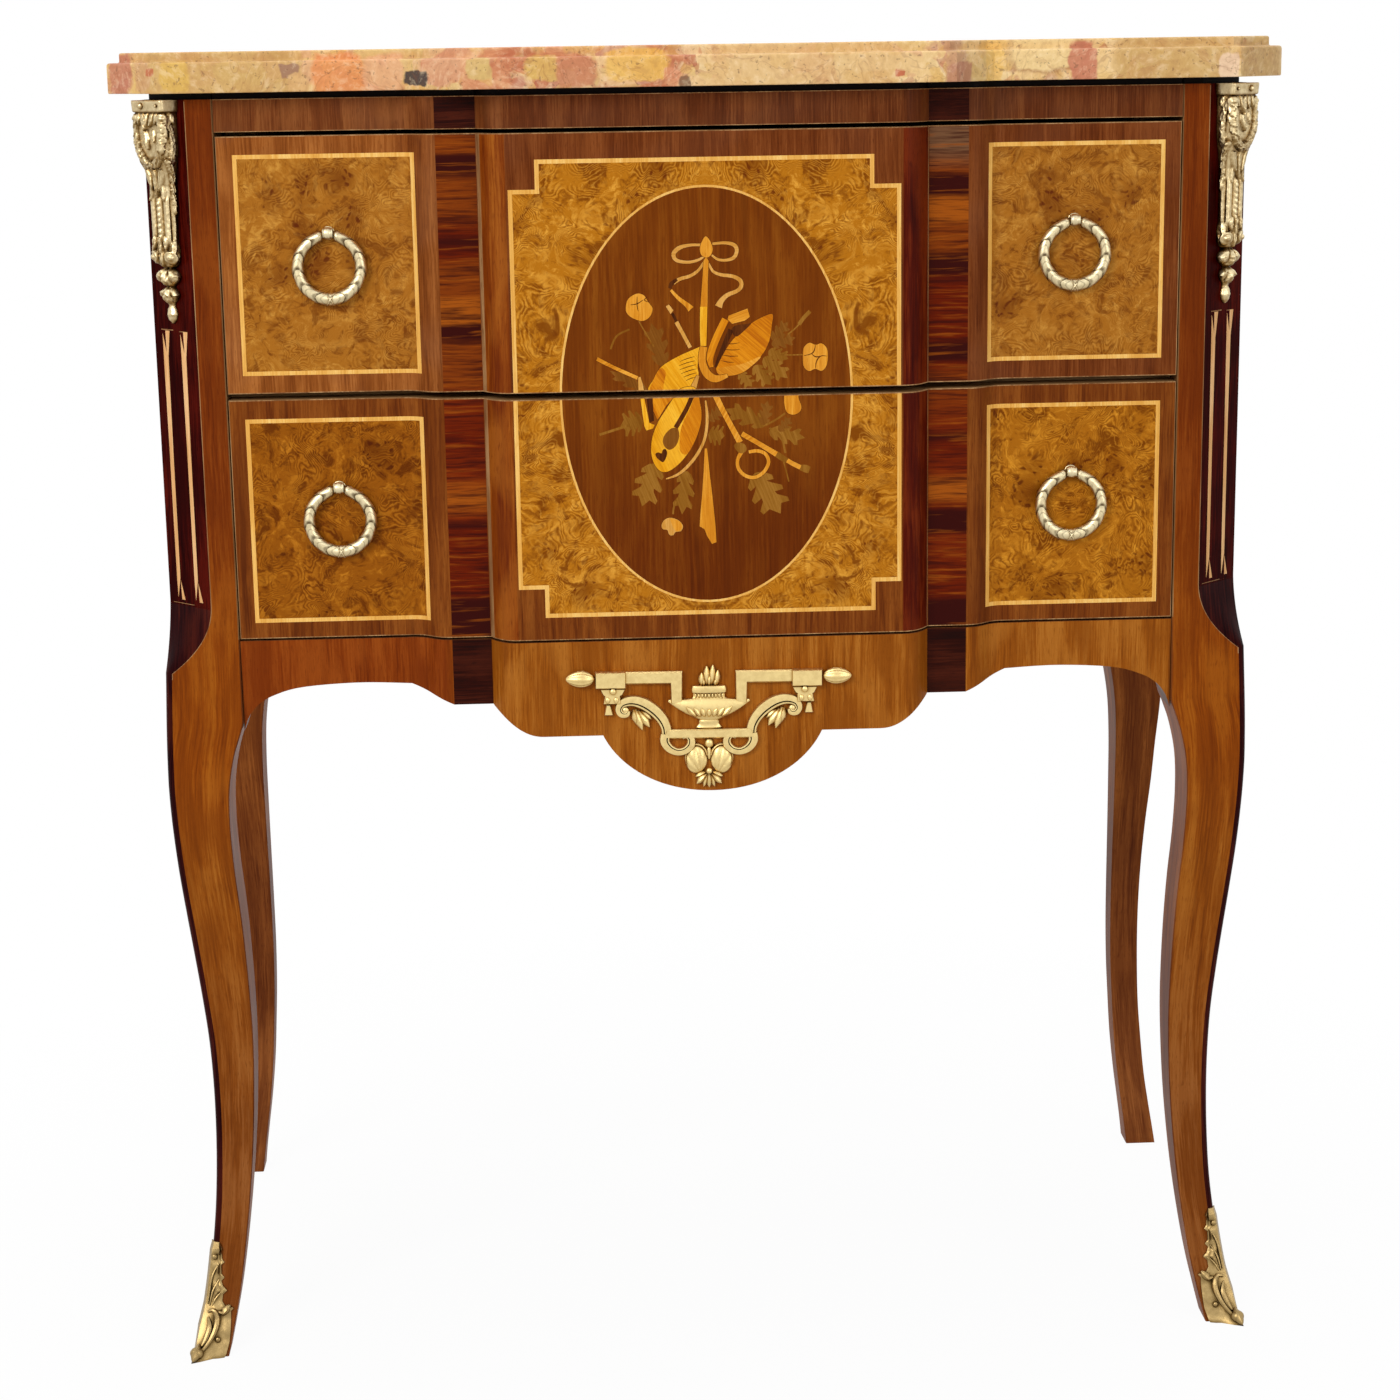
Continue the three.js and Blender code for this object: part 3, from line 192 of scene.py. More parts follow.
class Skin:
    """Collects faces with a material and a UV for each corner, and makes one mesh object."""

    def __init__(self):
        self.verts = []
        self.faces = []
        self.slots = []
        self.uvs = []

    def add(self, verts, faces, slots=None, uvs=None):
        base = len(self.verts)
        self.verts.extend(Vector(v) for v in verts)
        self.faces += [[base + corner for corner in face] for face in faces]
        self.slots += slots or [0] * len(faces)
        self.uvs += uvs or [[(0.0, 0.0)] * len(face) for face in faces]
        return base

    def make(self, name, materials, sharp=40.0, outwards=False):
        mesh = bpy.data.meshes.new(name)
        mesh.from_pydata(self.verts, [], self.faces)
        layer = mesh.uv_layers.new(name="grain")
        for corner, uv in enumerate(uv for uvs in self.uvs for uv in uvs):
            layer.data[corner].uv = uv
        for polygon, slot in zip(mesh.polygons, self.slots):
            polygon.material_index = slot
            polygon.use_smooth = True
        for material in materials:
            mesh.materials.append(material)
        if outwards:
            work = bmesh.new()
            work.from_mesh(mesh)
            bmesh.ops.recalc_face_normals(work, faces=work.faces)
            work.to_mesh(mesh)
            work.free()
        mesh.update()
        mesh.set_sharp_from_angle(angle=math.radians(sharp))
        obj = bpy.data.objects.new(name, mesh)
        bpy.context.scene.collection.objects.link(obj)
        return obj


def finish_piece(obj, body, slot, *nodes):
    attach(obj, body)
    if nodes:
        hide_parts(*nodes)


def loft(skin, rings, capped=True, uv=None, slot=None, cap_slot=0):
    """A surface through rings of points. uv(level, corner, side) and slot(level, side) dress its faces."""
    count, last = len(rings[0]), len(rings) - 1
    uv = uv or (lambda level, corner, side: (corner / count, level / len(rings)))
    faces, slots, uvs = [], [], []
    for level in range(last):
        for side in range(count):
            near, far = level * count + side, level * count + (side + 1) % count
            faces.append([near, far, far + count, near + count])
            slots.append(slot(level, side) if slot else 0)
            corners = ((level, side), (level, side + 1), (level + 1, side + 1), (level + 1, side))
            uvs.append([uv(row, corner, side) for row, corner in corners])
    if capped:
        faces += [list(range(count - 1, -1, -1)), [last * count + side for side in range(count)]]
        slots += [cap_slot] * 2
        uvs += [[(0.0, 0.0)] * count] * 2
    skin.add([point for ring in rings for point in ring], faces, slots, uvs)


def tube(skin, path, radius, sides):
    """A round rod along a path. radius is a number or a function of the share along the path."""
    rings = []
    last = len(path) - 1
    for index, point in enumerate(path):
        ahead = (path[min(index + 1, last)] - path[max(index - 1, 0)]).normalized()
        across = ahead.cross(Vector((0, -1, 0))).normalized()
        out = across.cross(ahead).normalized()
        size = radius(index / last) if callable(radius) else radius
        rings.append([point + across * (math.cos(a) * size) + out * (math.sin(a) * size)
                      for a in turns(sides)])
    loft(skin, rings)


def blob(skin, centre, *size):
    """A rounded lump: size is its half extent along the three axes, in millimetres."""
    levels, sides = 8, 12
    wide, deep, high = (half * MM for half in size)
    top = Vector((0, 0, high))
    verts = [centre - top]
    for level in range(1, levels):
        angle = math.pi * level / levels
        reach = math.sin(angle)
        verts += [centre + Vector((wide * reach * math.cos(a), deep * reach * math.sin(a),
                                   -high * math.cos(angle)))
                  for a in turns(sides)]
    verts.append(centre + top)
    last = len(verts) - 1
    faces = []
    for side in range(sides):
        far = (side + 1) % sides
        faces.append([0, 1 + far, 1 + side])
        for low in range(1, last - sides, sides):
            faces.append([low + side, low + far, low + sides + far, low + sides + side])
        faces.append([last - sides + side, last - sides + far, last])
    skin.add(verts, faces)


def leaf(skin, base, tip, up, width, thickness, curl=0.0, lobes=0):
    """A closed leaf from base to tip, domed along its midrib. lobes cuts its edge into teeth."""
    steps = 9
    thickness *= MM
    length = (tip - base).length
    ahead = (tip - base).normalized()
    across = ahead.cross(up.normalized()).normalized()
    up = across.cross(ahead).normalized()
    rings = []
    for step in range(steps + 1):
        share = step / steps
        half = width * MM / 2 * math.sin(math.pi * (share * 0.92 + 0.06)) ** 0.75
        if lobes:
            half *= 0.78 + 0.22 * abs(math.cos(math.pi * lobes * share))
        centre = base + ahead * (length * share) + up * (curl * length * share * share)
        top, bottom = [], []
        for column in (-1.0, -0.66, -0.3, 0.0, 0.3, 0.66, 1.0):
            dome = thickness * (1 - column * column) * math.sin(math.pi * (share * 0.85 + 0.12)) ** 0.5
            rib = thickness * 0.25 * math.exp(-(column / 0.16) ** 2) * (1 - share)
            point = centre + across * (half * column)
            top.append(point + up * (dome + rib + thickness * 0.15))
            bottom.append(point - up * thickness * 0.15)
        rings.append(top + bottom[::-1])
    loft(skin, rings)


# Shader building


class Nodes:
    """Short names for the few shader nodes that the materials, the floor and the world use."""

    def __init__(self, owner):
        owner.use_nodes = True
        self.tree = owner.node_tree
        self.shader = self.tree.nodes.get("Principled BSDF")

    def feed(self, node, sockets):
        """Sets each socket to a value, or links another node's output to it."""
        for key, value in sockets.items():
            if isinstance(value, bpy.types.NodeSocket):
                self.tree.links.new(value, node.inputs[key])
            else:
                node.inputs[key].default_value = value
        return node

    def new(self, kind, sockets=None):
        return self.feed(self.tree.nodes.new("ShaderNode" + kind), sockets or {})

    def coords(self, kind="UV"):
        return self.new("TexCoord").outputs[kind]

    def mapped(self, vector, scale=(1, 1, 1), offset=(0, 0, 0)):
        return self.new("Mapping", {"Vector": vector, "Scale": scale, "Location": offset}).outputs["Vector"]

    def noise(self, vector, scale, detail=3.0, rough=0.5, distortion=0.0, output="Fac"):
        sockets = {"Vector": vector, "Scale": scale, "Detail": detail, "Roughness": rough,
                   "Distortion": distortion}
        return self.new("TexNoise", sockets).outputs[output]

    def voronoi(self, vector, scale, output="Distance"):
        return self.new("TexVoronoi", {"Vector": vector, "Scale": scale}).outputs[output]

    def ramp(self, value, stops, mode="LINEAR"):
        node = self.new("ValToRGB", {"Fac": value})
        node.color_ramp.interpolation = mode
        elements = node.color_ramp.elements
        while len(elements) < len(stops):
            elements.new(0.5)
        for element, (position, colour) in zip(elements, stops):
            element.position = position
            element.color = colour
        return node.outputs["Color"]

    def mask(self, value, low, high):
        return self.new("MapRange", {"Value": value, "From Min": low, "From Max": high}).outputs["Result"]

    def spread(self, value, low, high):
        return self.new("MapRange", {"Value": value, "To Min": low, "To Max": high}).outputs["Result"]

    def math(self, kind, first, second=0.0):
        node = self.new("Math")
        node.operation = kind
        return self.feed(node, {0: first, 1: second}).outputs[0]

    def times(self, first, second):
        return self.math("MULTIPLY", first, second)

    def plus(self, first, second):
        return self.math("ADD", first, second)

    def vector(self, kind, sockets):
        node = self.new("VectorMath")
        node.operation = kind
        return self.feed(node, sockets)

    def mix(self, factor, first, second, mode="MIX"):
        node = self.new("Mix")
        node.data_type = "RGBA"
        node.blend_type = mode
        return self.feed(node, {"Factor": factor, "A": first, "B": second}).outputs["Result"]

    def over(self, base, where, share, colour):
        """The base with a share of a colour laid over it, where the mask says."""
        return self.mix(self.times(where, share), base, colour)

    def shifted(self, vector, amount, scale):
        """The vector moved about by an amount of noise, so that straight patterns waver."""
        wander = self.noise(vector, scale, 2.0, output="Color")
        centred = self.vector("SUBTRACT", {0: wander, 1: (0.5, 0.5, 0.5)}).outputs[0]
        scaled = self.vector("SCALE", {0: centred, "Scale": amount}).outputs[0]
        return self.vector("ADD", {0: vector, 1: scaled}).outputs[0]

    def bump(self, height, strength, distance):
        node = self.new("Bump", {"Strength": strength, "Distance": distance, "Height": height})
        self.feed(self.shader, {"Normal": node.outputs["Normal"]})

    def occlusion(self, distance):
        node = self.new("AmbientOcclusion", {"Distance": distance})
        node.samples = 8
        return node.outputs["AO"]

    def separate(self, value, axis):
        return self.new("SeparateXYZ", {0: value}).outputs[axis]

    def patch(self, vector, centre, half):
        """1 inside a rounded box in the vector's space and 0 outside it, with a narrow soft edge."""
        scale = tuple(1 / size for size in half)
        spot = self.mapped(vector, scale, tuple(-c * size for c, size in zip(centre, scale)))
        round_one = self.vector("LENGTH", {0: spot}).outputs["Value"]
        widest = self.math("MAXIMUM", *(self.math("ABSOLUTE", self.separate(spot, axis)) for axis in "XZ"))
        return self.mask(self.plus(self.times(widest, 0.65), self.times(round_one, 0.35)), 1.12, 0.94)

    def shaded(self, value, shades):
        """Parts of a veneer multiplied by a colour, over a range in metres along an axis: painted light and
        shade on some woods, shifts of tone on others.
        """
        for axis, low, high, shares in shades:
            where = self.mask(self.separate(self.coords("Object"), axis), low, high)
            value = self.mix(where, value, (*shares, 1.0), "MULTIPLY")
        return value

    def finish(self, colour, roughness, sheen=POLISH, metallic=0.0):
        self.feed(self.shader, {"Base Color": colour, "Roughness": roughness, "Specular IOR Level": sheen,
                                "Metallic": metallic})


# Colour of a painted sheen: pale clouds laid over a veneer as a soft reflection
PAINTED_SHEEN_TONE = (172, 138, 110)


def grained(material, tones, kind="UV", along=(1, 0.03, 1), fine=900.0, figure=0.5, rough=0.42, painted_sheen=0.0,
            shades=(), sheen=POLISH):
    """Straight-grained wood with dark, middle and light tones. along squeezes the grain's own coordinate."""
    n = Nodes(material)
    source = n.coords(kind)
    stretched = n.mapped(n.shifted(source, 0.003, 16.0), along)
    fibres = n.noise(stretched, fine, 3.0, 0.6)
    bands = n.noise(stretched, fine / 8.0, 3.0, 0.55, 0.3)
    mingled = n.plus(n.times(fibres, 0.5), n.times(bands, 0.5))
    dark, middle, light = (srgb(*tone) for tone in tones)
    base = n.ramp(mingled, [(0.38, dark), (0.5, middle), (0.61, light)])
    loose = tuple(0.35 if a < 1 else 1 for a in along)
    ribbons = n.noise(n.mapped(n.shifted(source, 0.02, 9.0), loose), 42.0, 2.0)
    deep = tuple((a + b) / 2 for a, b in zip(middle, dark))
    base = n.over(base, n.mask(ribbons, 0.5, 0.36), figure, deep)
    base = n.over(base, n.mask(ribbons, 0.52, 0.66), figure, light)
    pores = n.noise(n.mapped(source, tuple(a * 2.2 if a < 1 else a for a in along)), fine * 2.4, 1.0)
    base = n.over(base, n.mask(pores, 0.6, 0.68), 0.55, dark)
    clouds = n.noise(source, 16.0, 2.0)
    # painted sheen: pale clouds over the wood as a soft reflection
    if painted_sheen:
        base = n.over(base, n.mask(clouds, 0.46, 0.62), painted_sheen, srgb(*PAINTED_SHEEN_TONE))
    n.finish(n.shaded(base, shades), n.spread(clouds, rough - 0.08, rough + 0.1), sheen)
    n.bump(mingled, 0.1, 0.0002)


def burl(material, tones, strength=1.0, shades=()):
    """Burr veneer: mottled clouds, curling lines round knots, and red-brown eyes in the knots."""
    n = Nodes(material)
    source = n.coords("UV")
    slow = n.shifted(n.shifted(source, 0.03, 17.0), 0.006, 70.0)
    curled = n.shifted(slow, 0.009, 120.0)
    knots = n.voronoi(slow, 40.0)
    chosen = n.mask(n.separate(n.voronoi(slow, 40.0, "Color"), "X"), 0.42, 0.5)
    flow = n.noise(slow, 23.0, 2.0, 0.5, 1.2)
    ripple = n.noise(curled, 260.0, 4.0, 0.65)
    field = n.plus(n.plus(n.times(flow, 0.7), n.times(knots, 0.16)), n.times(ripple, 0.03))
    lines = n.math("SINE", n.times(field, 290.0))
    presence = n.mask(n.noise(n.mapped(source, offset=(5, 2, 0)), 52.0, 3.0, 0.6), 0.4, 0.6)
    clouds = n.noise(curled, 36.0, 8.0, 0.7, 1.6)
    mottle = n.plus(n.times(clouds, 0.68), n.times(n.noise(curled, 190.0, 5.0, 0.72), 0.32))
    deep, dark, middle, light = (srgb(*tone) for tone in tones)
    base = n.ramp(mottle, [(0.39, dark), (0.47, middle), (0.53, middle), (0.62, light)])
    pale = n.noise(n.mapped(curled, offset=(9, 1, 0)), 40.0, 4.0, 0.6, 2.0)
    base = n.over(base, n.mask(pale, 0.51, 0.68), 0.62 * strength, light)
    blotches = n.noise(n.mapped(slow, offset=(3, 7, 0)), 56.0, 5.0, 0.66, 1.0)
    base = n.over(base, n.mask(blotches, 0.53, 0.62), 0.92 * strength, dark)
    strokes = n.times(presence, 0.72 * strength)
    base = n.over(base, n.mask(lines, 0.1, 1.0), strokes, dark)
    base = n.over(base, n.mask(lines, -0.3, -1.0), n.times(strokes, 0.62), light)
    base = n.over(base, n.times(n.mask(knots, 0.46, 0.06), chosen), 0.85, dark)
    eyes = n.voronoi(curled, 230.0)
    near = n.times(n.mask(knots, 0.6 * strength, 0.34 * strength), chosen)
    base = n.over(base, n.mask(eyes, 0.38, 0.22), n.times(near, 0.78), deep)
    n.finish(n.shaded(base, shades), n.spread(clouds, 0.32, 0.48))
    n.bump(clouds, 0.08, 0.0002)


def banded(material, tones, bands):
    """Kingwood laid across: bands of tone letters by height, with fine stripes over them."""
    n = Nodes(material)
    waved = n.shifted(n.coords("UV"), 0.0022, 34.0)
    low, high = bands[0][0], bands[-1][0]
    share = n.mask(n.separate(waved, "Y"), low * MM, high * MM)
    base = n.ramp(share, [((z - low) / (high - low), srgb(*tones[letter])) for z, letter in bands])
    stretched = n.mapped(waved, (0.05, 1, 1))
    stripes = n.noise(stretched, 330.0, 3.0, 0.6)
    fine = n.noise(stretched, 1200.0, 2.0)
    dark, light = srgb(*tones["D"]), srgb(*tones["O"])
    base = n.over(base, n.mask(stripes, 0.5, 0.36), 0.75, dark)
    base = n.over(base, n.mask(stripes, 0.55, 0.68), 0.6, light)
    n.finish(n.over(base, n.mask(fine, 0.5, 0.36), 0.4, dark), 0.36)
    n.bump(fine, 0.06, 0.0002)


KINGWOOD_LEFT = [
    (484, "D"), (508, "D"), (513, "R"), (553, "R"), (556, "D"), (560, "C"), (572, "O"), (588, "C"),
    (612, "R"),
    (636, "C"), (645, "B"), (660, "B"), (671, "B"), (674, "D"), (682, "D"), (684, "O"), (698, "O"),
    (701, "B"),
    (718, "B"), (725, "R"), (734, "D"), (738, "R"), (752, "B"), (770, "B"), (776, "D"), (785, "D"),
    (788, "B"),
    (800, "B"),
]
KINGWOOD_RIGHT = [
    (484, "D"), (500, "D"), (505, "R"), (542, "C"), (546, "D"), (558, "D"), (562, "R"), (568, "O"),
    (576, "O"),
    (584, "C"), (601, "R"), (606, "D"), (612, "C"), (642, "B"), (652, "R"), (655, "D"), (664, "D"),
    (667, "R"),
    (688, "R"), (704, "R"), (709, "D"), (719, "D"), (724, "B"), (738, "B"), (741, "O"), (754, "O"),
    (758, "D"),
    (768, "D"), (771, "B"), (785, "G"), (800, "G"),
]


# Fragments in the marble's front edge: middle x and z, half width and half height, colour and share
MARBLE_PATCHES = [
    (-296, 837, 50, 14, (198, 158, 94), 0.75), (-320, 836, 9, 9, (214, 172, 84), 0.8),
    (-341, 836, 6, 9, (202, 150, 108), 0.6), (-357, 837, 8, 14, (190, 116, 92), 0.85),
    (-335, 838, 2.2, 3, (190, 104, 66), 0.9), (-251, 838, 6, 4, (156, 116, 92), 0.9),
    (-246, 831, 7, 5, (214, 170, 112), 0.8), (-221, 835, 16, 13, (222, 140, 82), 0.85),
    (-194, 834, 12, 13, (222, 164, 122), 0.8), (-174, 832.4, 7, 4.2, (66, 58, 56), 0.97),
    (-135, 837, 8, 6.4, (212, 182, 114), 0.8), (-97, 837, 10.5, 7.6, (214, 176, 96), 0.8),
    (-77, 834, 12, 9, (196, 128, 92), 0.85), (-41, 838, 19, 9, (230, 182, 88), 0.8),
    (-20, 832, 5, 4, (214, 142, 104), 0.8), (-11, 828, 4, 4, (122, 92, 70), 0.9),
    (60, 836, 60, 16, (218, 176, 116), 0.7), (118, 832, 3, 2.6, (190, 96, 66), 0.9),
    (154, 829, 9, 8, (182, 124, 98), 0.85), (179, 836, 6, 14, (232, 188, 106), 0.8),
    (104, 838, 26, 5, (226, 190, 134), 0.6), (212, 840.4, 23.4, 10.2, (170, 122, 76), 0.85),
    (212, 841, 22.4, 9.4, (234, 202, 142), 0.95), (234, 834, 8, 14, (196, 116, 92), 0.85),
    (290, 836, 36, 16, (200, 160, 98), 0.75), (325, 831, 6, 9, (236, 202, 170), 0.8),
    (349, 833, 15, 14, (198, 158, 100), 0.85),
]
MARBLE_RED_FROM = -175
MARBLE_RED_TO = -5


# The marble's ramps, and its layers of fragments as scale, edges of the mask and share
MARBLE_GROUND = [(0.38, (204, 158, 96)), (0.48, (220, 178, 116)), (0.6, (230, 194, 136))]

MARBLE_ROSY = [(0.38, (190, 110, 78)), (0.5, (210, 142, 102)), (0.62, (226, 176, 132))]

MARBLE_CHIPS = [(0.0, (222, 180, 104)), (0.2, (212, 156, 118)), (0.36, (228, 194, 138)),
                (0.5, (204, 128, 90)),
                (0.58, (216, 182, 116)), (0.74, (190, 138, 114)), (0.86, (234, 208, 160)),
                (0.95, (176, 96, 70))]

MARBLE_LAYERS = ((17.0, 0.5, 0.53, 0.7), (44.0, 0.52, 0.55, 0.6), (120.0, 0.55, 0.6, 0.5))


def marble(material):
    """Breccia: soft and broken fragments in a pale tan ground, with the front edge's own ones."""
    n = Nodes(material)
    source = n.coords("Object")

    def tinted(value, stops, mode="LINEAR"):
        return n.ramp(value, [(at, srgb(*tone)) for at, tone in stops], mode)

    warped = n.shifted(n.shifted(source, 0.03, 16.0), 0.007, 90.0)
    ground = n.noise(warped, 40.0, 5.0, 0.62, 0.5)
    place_x = n.separate(n.shifted(source, 0.04, 20.0), "X")
    reds = n.times(n.mask(place_x, MARBLE_RED_FROM * MM - 0.02, MARBLE_RED_FROM * MM + 0.01),
                   n.mask(place_x, MARBLE_RED_TO * MM + 0.02, MARBLE_RED_TO * MM - 0.01))
    base = n.over(tinted(ground, MARBLE_GROUND), reds, 0.9, tinted(ground, MARBLE_ROSY))
    for scale, low, high, share in MARBLE_LAYERS:
        chips = tinted(n.separate(n.voronoi(warped, scale, "Color"), "X"), MARBLE_CHIPS, "CONSTANT")
        where = n.mask(n.noise(n.mapped(source, offset=(scale, 0, 0)), scale * 0.6, 2.0), low, high)
        base = n.over(base, where, share, chips)
    edge = n.shifted(n.shifted(source, 0.008, 60.0), 0.003, 220.0)
    for x, z, half_x, half_z, tone, share in MARBLE_PATCHES:
        inside = n.patch(edge, (x * MM, (MARBLE_FRONT - 8 + FRONT_Y) * MM, z * MM),
                         (half_x * MM, 0.045, half_z * MM))
        base = n.over(base, inside, share, srgb(*tone))
    mottled = n.noise(warped, 210.0, 4.0, 0.65)
    base = n.mix(n.mask(mottled, 0.5, 0.34), base, n.mix(0.22, base, srgb(150, 92, 62)))
    base = n.mix(n.mask(mottled, 0.52, 0.68), base, n.mix(0.3, base, srgb(250, 226, 186)))
    veins = n.math("ABSOLUTE", n.math("SUBTRACT", n.noise(warped, 15.0, 4.0, 0.6, 1.2), 0.5))
    base = n.over(base, n.mask(veins, 0.008, 0.0), 0.35, srgb(150, 90, 56))
    specks = n.mask(n.noise(source, 420.0, 2.0), 0.64, 0.7)
    n.finish(n.over(base, specks, 0.5, srgb(120, 82, 58)), n.spread(ground, 0.3, 0.46), 0.18)
    n.bump(ground, 0.1, 0.0004)


def gilt(material, tones, recess=0.002, stops=(0.18, 0.48, 0.88), cut_line_patina_and_shade=None):
    """Gilt bronze: burnished where it stands proud, brown patina and painted shade in hollows, painted shade
    on lower faces.
    """
    n = Nodes(material)
    source = n.coords("Object")
    grime = n.noise(source, 260.0, 5.0, 0.65)
    # painted light and shade: faces looking up stay bright and faces looking down are darkened, as if lit
    # from above
    painted_facing_light = n.mask(n.separate(n.coords("Normal"), "Z"), -1.0, 0.6)
    # patina and painted shade in the hollows: ambient occlusion reaching recess metres darkens them
    patina_and_shade = n.times(n.occlusion(recess), n.spread(grime, 0.72, 1.16))
    colour = n.ramp(n.times(patina_and_shade, n.plus(n.times(painted_facing_light, 0.42), 0.62)),
                    [(stop, srgb(*tone)) for stop, tone in zip(stops, tones)])
    # patina and painted shade laid along the lines cut into the casting
    if cut_line_patina_and_shade:
        colour = n.over(colour, cut_line_patina_and_shade(n), 0.9, srgb(*tones[0]))
    n.finish(colour, n.spread(grime, 0.28, 0.5), 0.5, 1.0)
    n.bump(n.noise(source, 520.0, 4.0, 0.65), 0.35, 0.0004)


def laurel_groove_patina_and_shade(n):
    """Patina and painted shade in the incised edges of overlapping leaves, from U along the wreath and V
    round its section.
    """
    source = n.shifted(n.coords("UV"), 0.16, 3.0)
    along, round_it = n.separate(source, "X"), n.separate(source, "Y")
    chevron = n.math("FRACT", n.plus(along, n.times(n.math("ABSOLUTE", round_it), LEAF_SLANT)))
    edge = n.mask(chevron, 0.28, 0.08)
    vein = n.mask(n.math("ABSOLUTE", n.math("SUBTRACT", chevron, 0.64)), 0.08, 0.01)
    broken = n.mask(n.noise(n.coords("UV"), 2.3, 2.0), 0.3, 0.46)
    return n.times(n.math("MAXIMUM", edge, n.times(vein, 0.5)), broken)


def plain(material, tone, rough=0.5, metallic=0.0):
    n = Nodes(material)
    cloud = n.noise(n.coords("Object"), 120.0, 4.0, 0.6)
    colour = srgb(*tone)
    darker = tuple(c * 0.76 for c in colour[:3]) + (1.0,)
    n.finish(n.ramp(cloud, [(0.35, darker), (0.65, colour)]), n.spread(cloud, rough - 0.08, rough + 0.08),
             metallic=metallic)


OAK = ((128, 92, 54), (160, 122, 78), (184, 148, 104))

# Woods: the material's name, its dark, middle and light tones, and what else grained() is told
WOODS = {
    # The leg's first shade is painted shade: the post darker above the apron. The other two shift the leg's
    # colour by height, greyer towards the foot.
    "leg": ("leg_veneer", ((108, 46, 2), (136, 64, 4), (158, 86, 16)), {"figure": 0.6, "shades": (
        ("Z", 0.45, 0.57, (0.7, 0.56, 0.8)), ("Z", 0.4, 0.32, (1.0, 1.18, 2.2)),
        ("Z", 0.3, 0.14, (0.84, 0.86, 1.8)))}),
    "leg_side": ("leg_side_veneer", ((82, 38, 12), (108, 58, 22), (132, 78, 34)), {"shades": (
        ("Z", 0.24, 0.29, (1.22, 1.11, 0.98)), ("Z", 0.29, 0.24, (0.865, 0.727, 0.68)),
        ("Z", 0.14, 0.09, (1.49, 1.72, 2.07)))}),
    "apron": ("apron_veneer", ((118, 58, 6), (148, 80, 14), (170, 104, 34)),
              {"figure": 0.75, "shades": (("X", -0.15, -0.17, (0.69, 0.42, 0.3)),)}),
    # The border's shade is painted light: lighter at the left end, where the light falls, and darker from
    # there to the right.
    "border": ("border_veneer", ((110, 54, 14), (142, 78, 28), (168, 102, 46)),
               {"painted_sheen": 0.06, "shades": (("X", -0.21, -0.12, (0.56, 0.45, 0.46)),)}),
    "border_low": ("lower_border_veneer", ((86, 36, 6), (116, 56, 12), (138, 76, 24)), {}),
    # One wood for both nosings, as lit and shaded copies: the left painted lighter where the light falls,
    # the right painted darker as in shade.
    "nosing_left": ("left_nosing_veneer_painted_light", ((98, 36, 4), (128, 58, 8), (156, 86, 24)), {"figure": 0.7}),
    "nosing_right": ("right_nosing_veneer_painted_shade", ((54, 6, 0), (82, 16, 0), (112, 40, 8)), {"figure": 0.7}),
    # The frieze's shade is painted light: lighter at the left end and darker towards the middle and right.
    "frieze": ("frieze_veneer", ((88, 42, 14), (112, 58, 24), (138, 82, 40)),
               {"painted_sheen": 0.05, "shades": (("X", -0.2, -0.1, (0.7, 0.62, 0.6)),)}),
    "strip_dark": ("dark_strip_veneer", ((24, 4, 2), (44, 8, 2), (68, 24, 10)), {}),
    "ground": ("oval_ground", ((100, 44, 2), (118, 56, 4), (134, 72, 12)),
               {"fine": 600.0, "figure": 0.55, "shades": (("Z", 0.62, 0.55, (0.74, 0.62, 0.5)),)}),
    "stringing": ("boxwood_stringing", ((214, 152, 66), (232, 176, 88), (242, 198, 116)), {}),
    "flute": ("flute_holly", ((204, 148, 92), (226, 172, 112), (240, 196, 144)), {}),
    "post_dark": ("post_rosewood", ((28, 0, 0), (50, 4, 2), (82, 16, 6)),
                  {"rough": 0.3, "figure": 0.7, "sheen": 0.01}),
    "tongue_dark": ("tongue_rosewood", ((24, 2, 4), (46, 10, 10), (76, 26, 16)),
                    {"rough": 0.36, "sheen": 0.02}),
    "worn": ("worn_edge", ((112, 72, 42), (150, 108, 68), (186, 146, 100)), {"fine": 700.0}),
    "under": ("apron_underside", ((60, 30, 12), (84, 46, 20), (104, 60, 30)), {}),
    "yellow": ("inlay_yellow", ((206, 132, 14), (230, 158, 22), (244, 184, 52)), {}),
    "amber": ("inlay_amber", ((190, 112, 18), (216, 140, 34), (234, 166, 62)), {}),
    "orange": ("inlay_orange", ((176, 92, 8), (206, 122, 12), (226, 146, 26)), {}),
    "cream": ("inlay_cream", ((190, 126, 44), (210, 150, 66), (226, 172, 94)), {}),
    "olive": ("inlay_olive", ((122, 72, 12), (140, 90, 24), (156, 106, 38)), {"figure": 0.3}),
    "olive_dark": ("inlay_olive_dark", ((112, 62, 12), (126, 74, 18), (138, 86, 28)), {"figure": 0.3}),
    "scorched": ("inlay_scorched", ((52, 20, 4), (82, 38, 8), (104, 52, 14)), {}),
    "back": ("stained_back", ((66, 40, 22), (96, 62, 36), (120, 84, 52)),
             {"kind": "Object", "along": (0.03, 1, 1), "fine": 320.0, "figure": 0.4, "rough": 0.65}),
    "inside_post": ("plain_beech", ((116, 80, 46), (144, 104, 64), (168, 128, 84)),
                    {"kind": "Object", "along": (1, 1, 0.03), "fine": 500.0, "figure": 0.4, "rough": 0.6}),
    "oak_x": ("oak_x", OAK,
              {"kind": "Object", "along": (0.03, 1, 1), "fine": 500.0, "figure": 0.4, "rough": 0.6}),
    "oak_y": ("oak_y", OAK,
              {"kind": "Object", "along": (1, 0.03, 1), "fine": 500.0, "figure": 0.4, "rough": 0.6}),
}

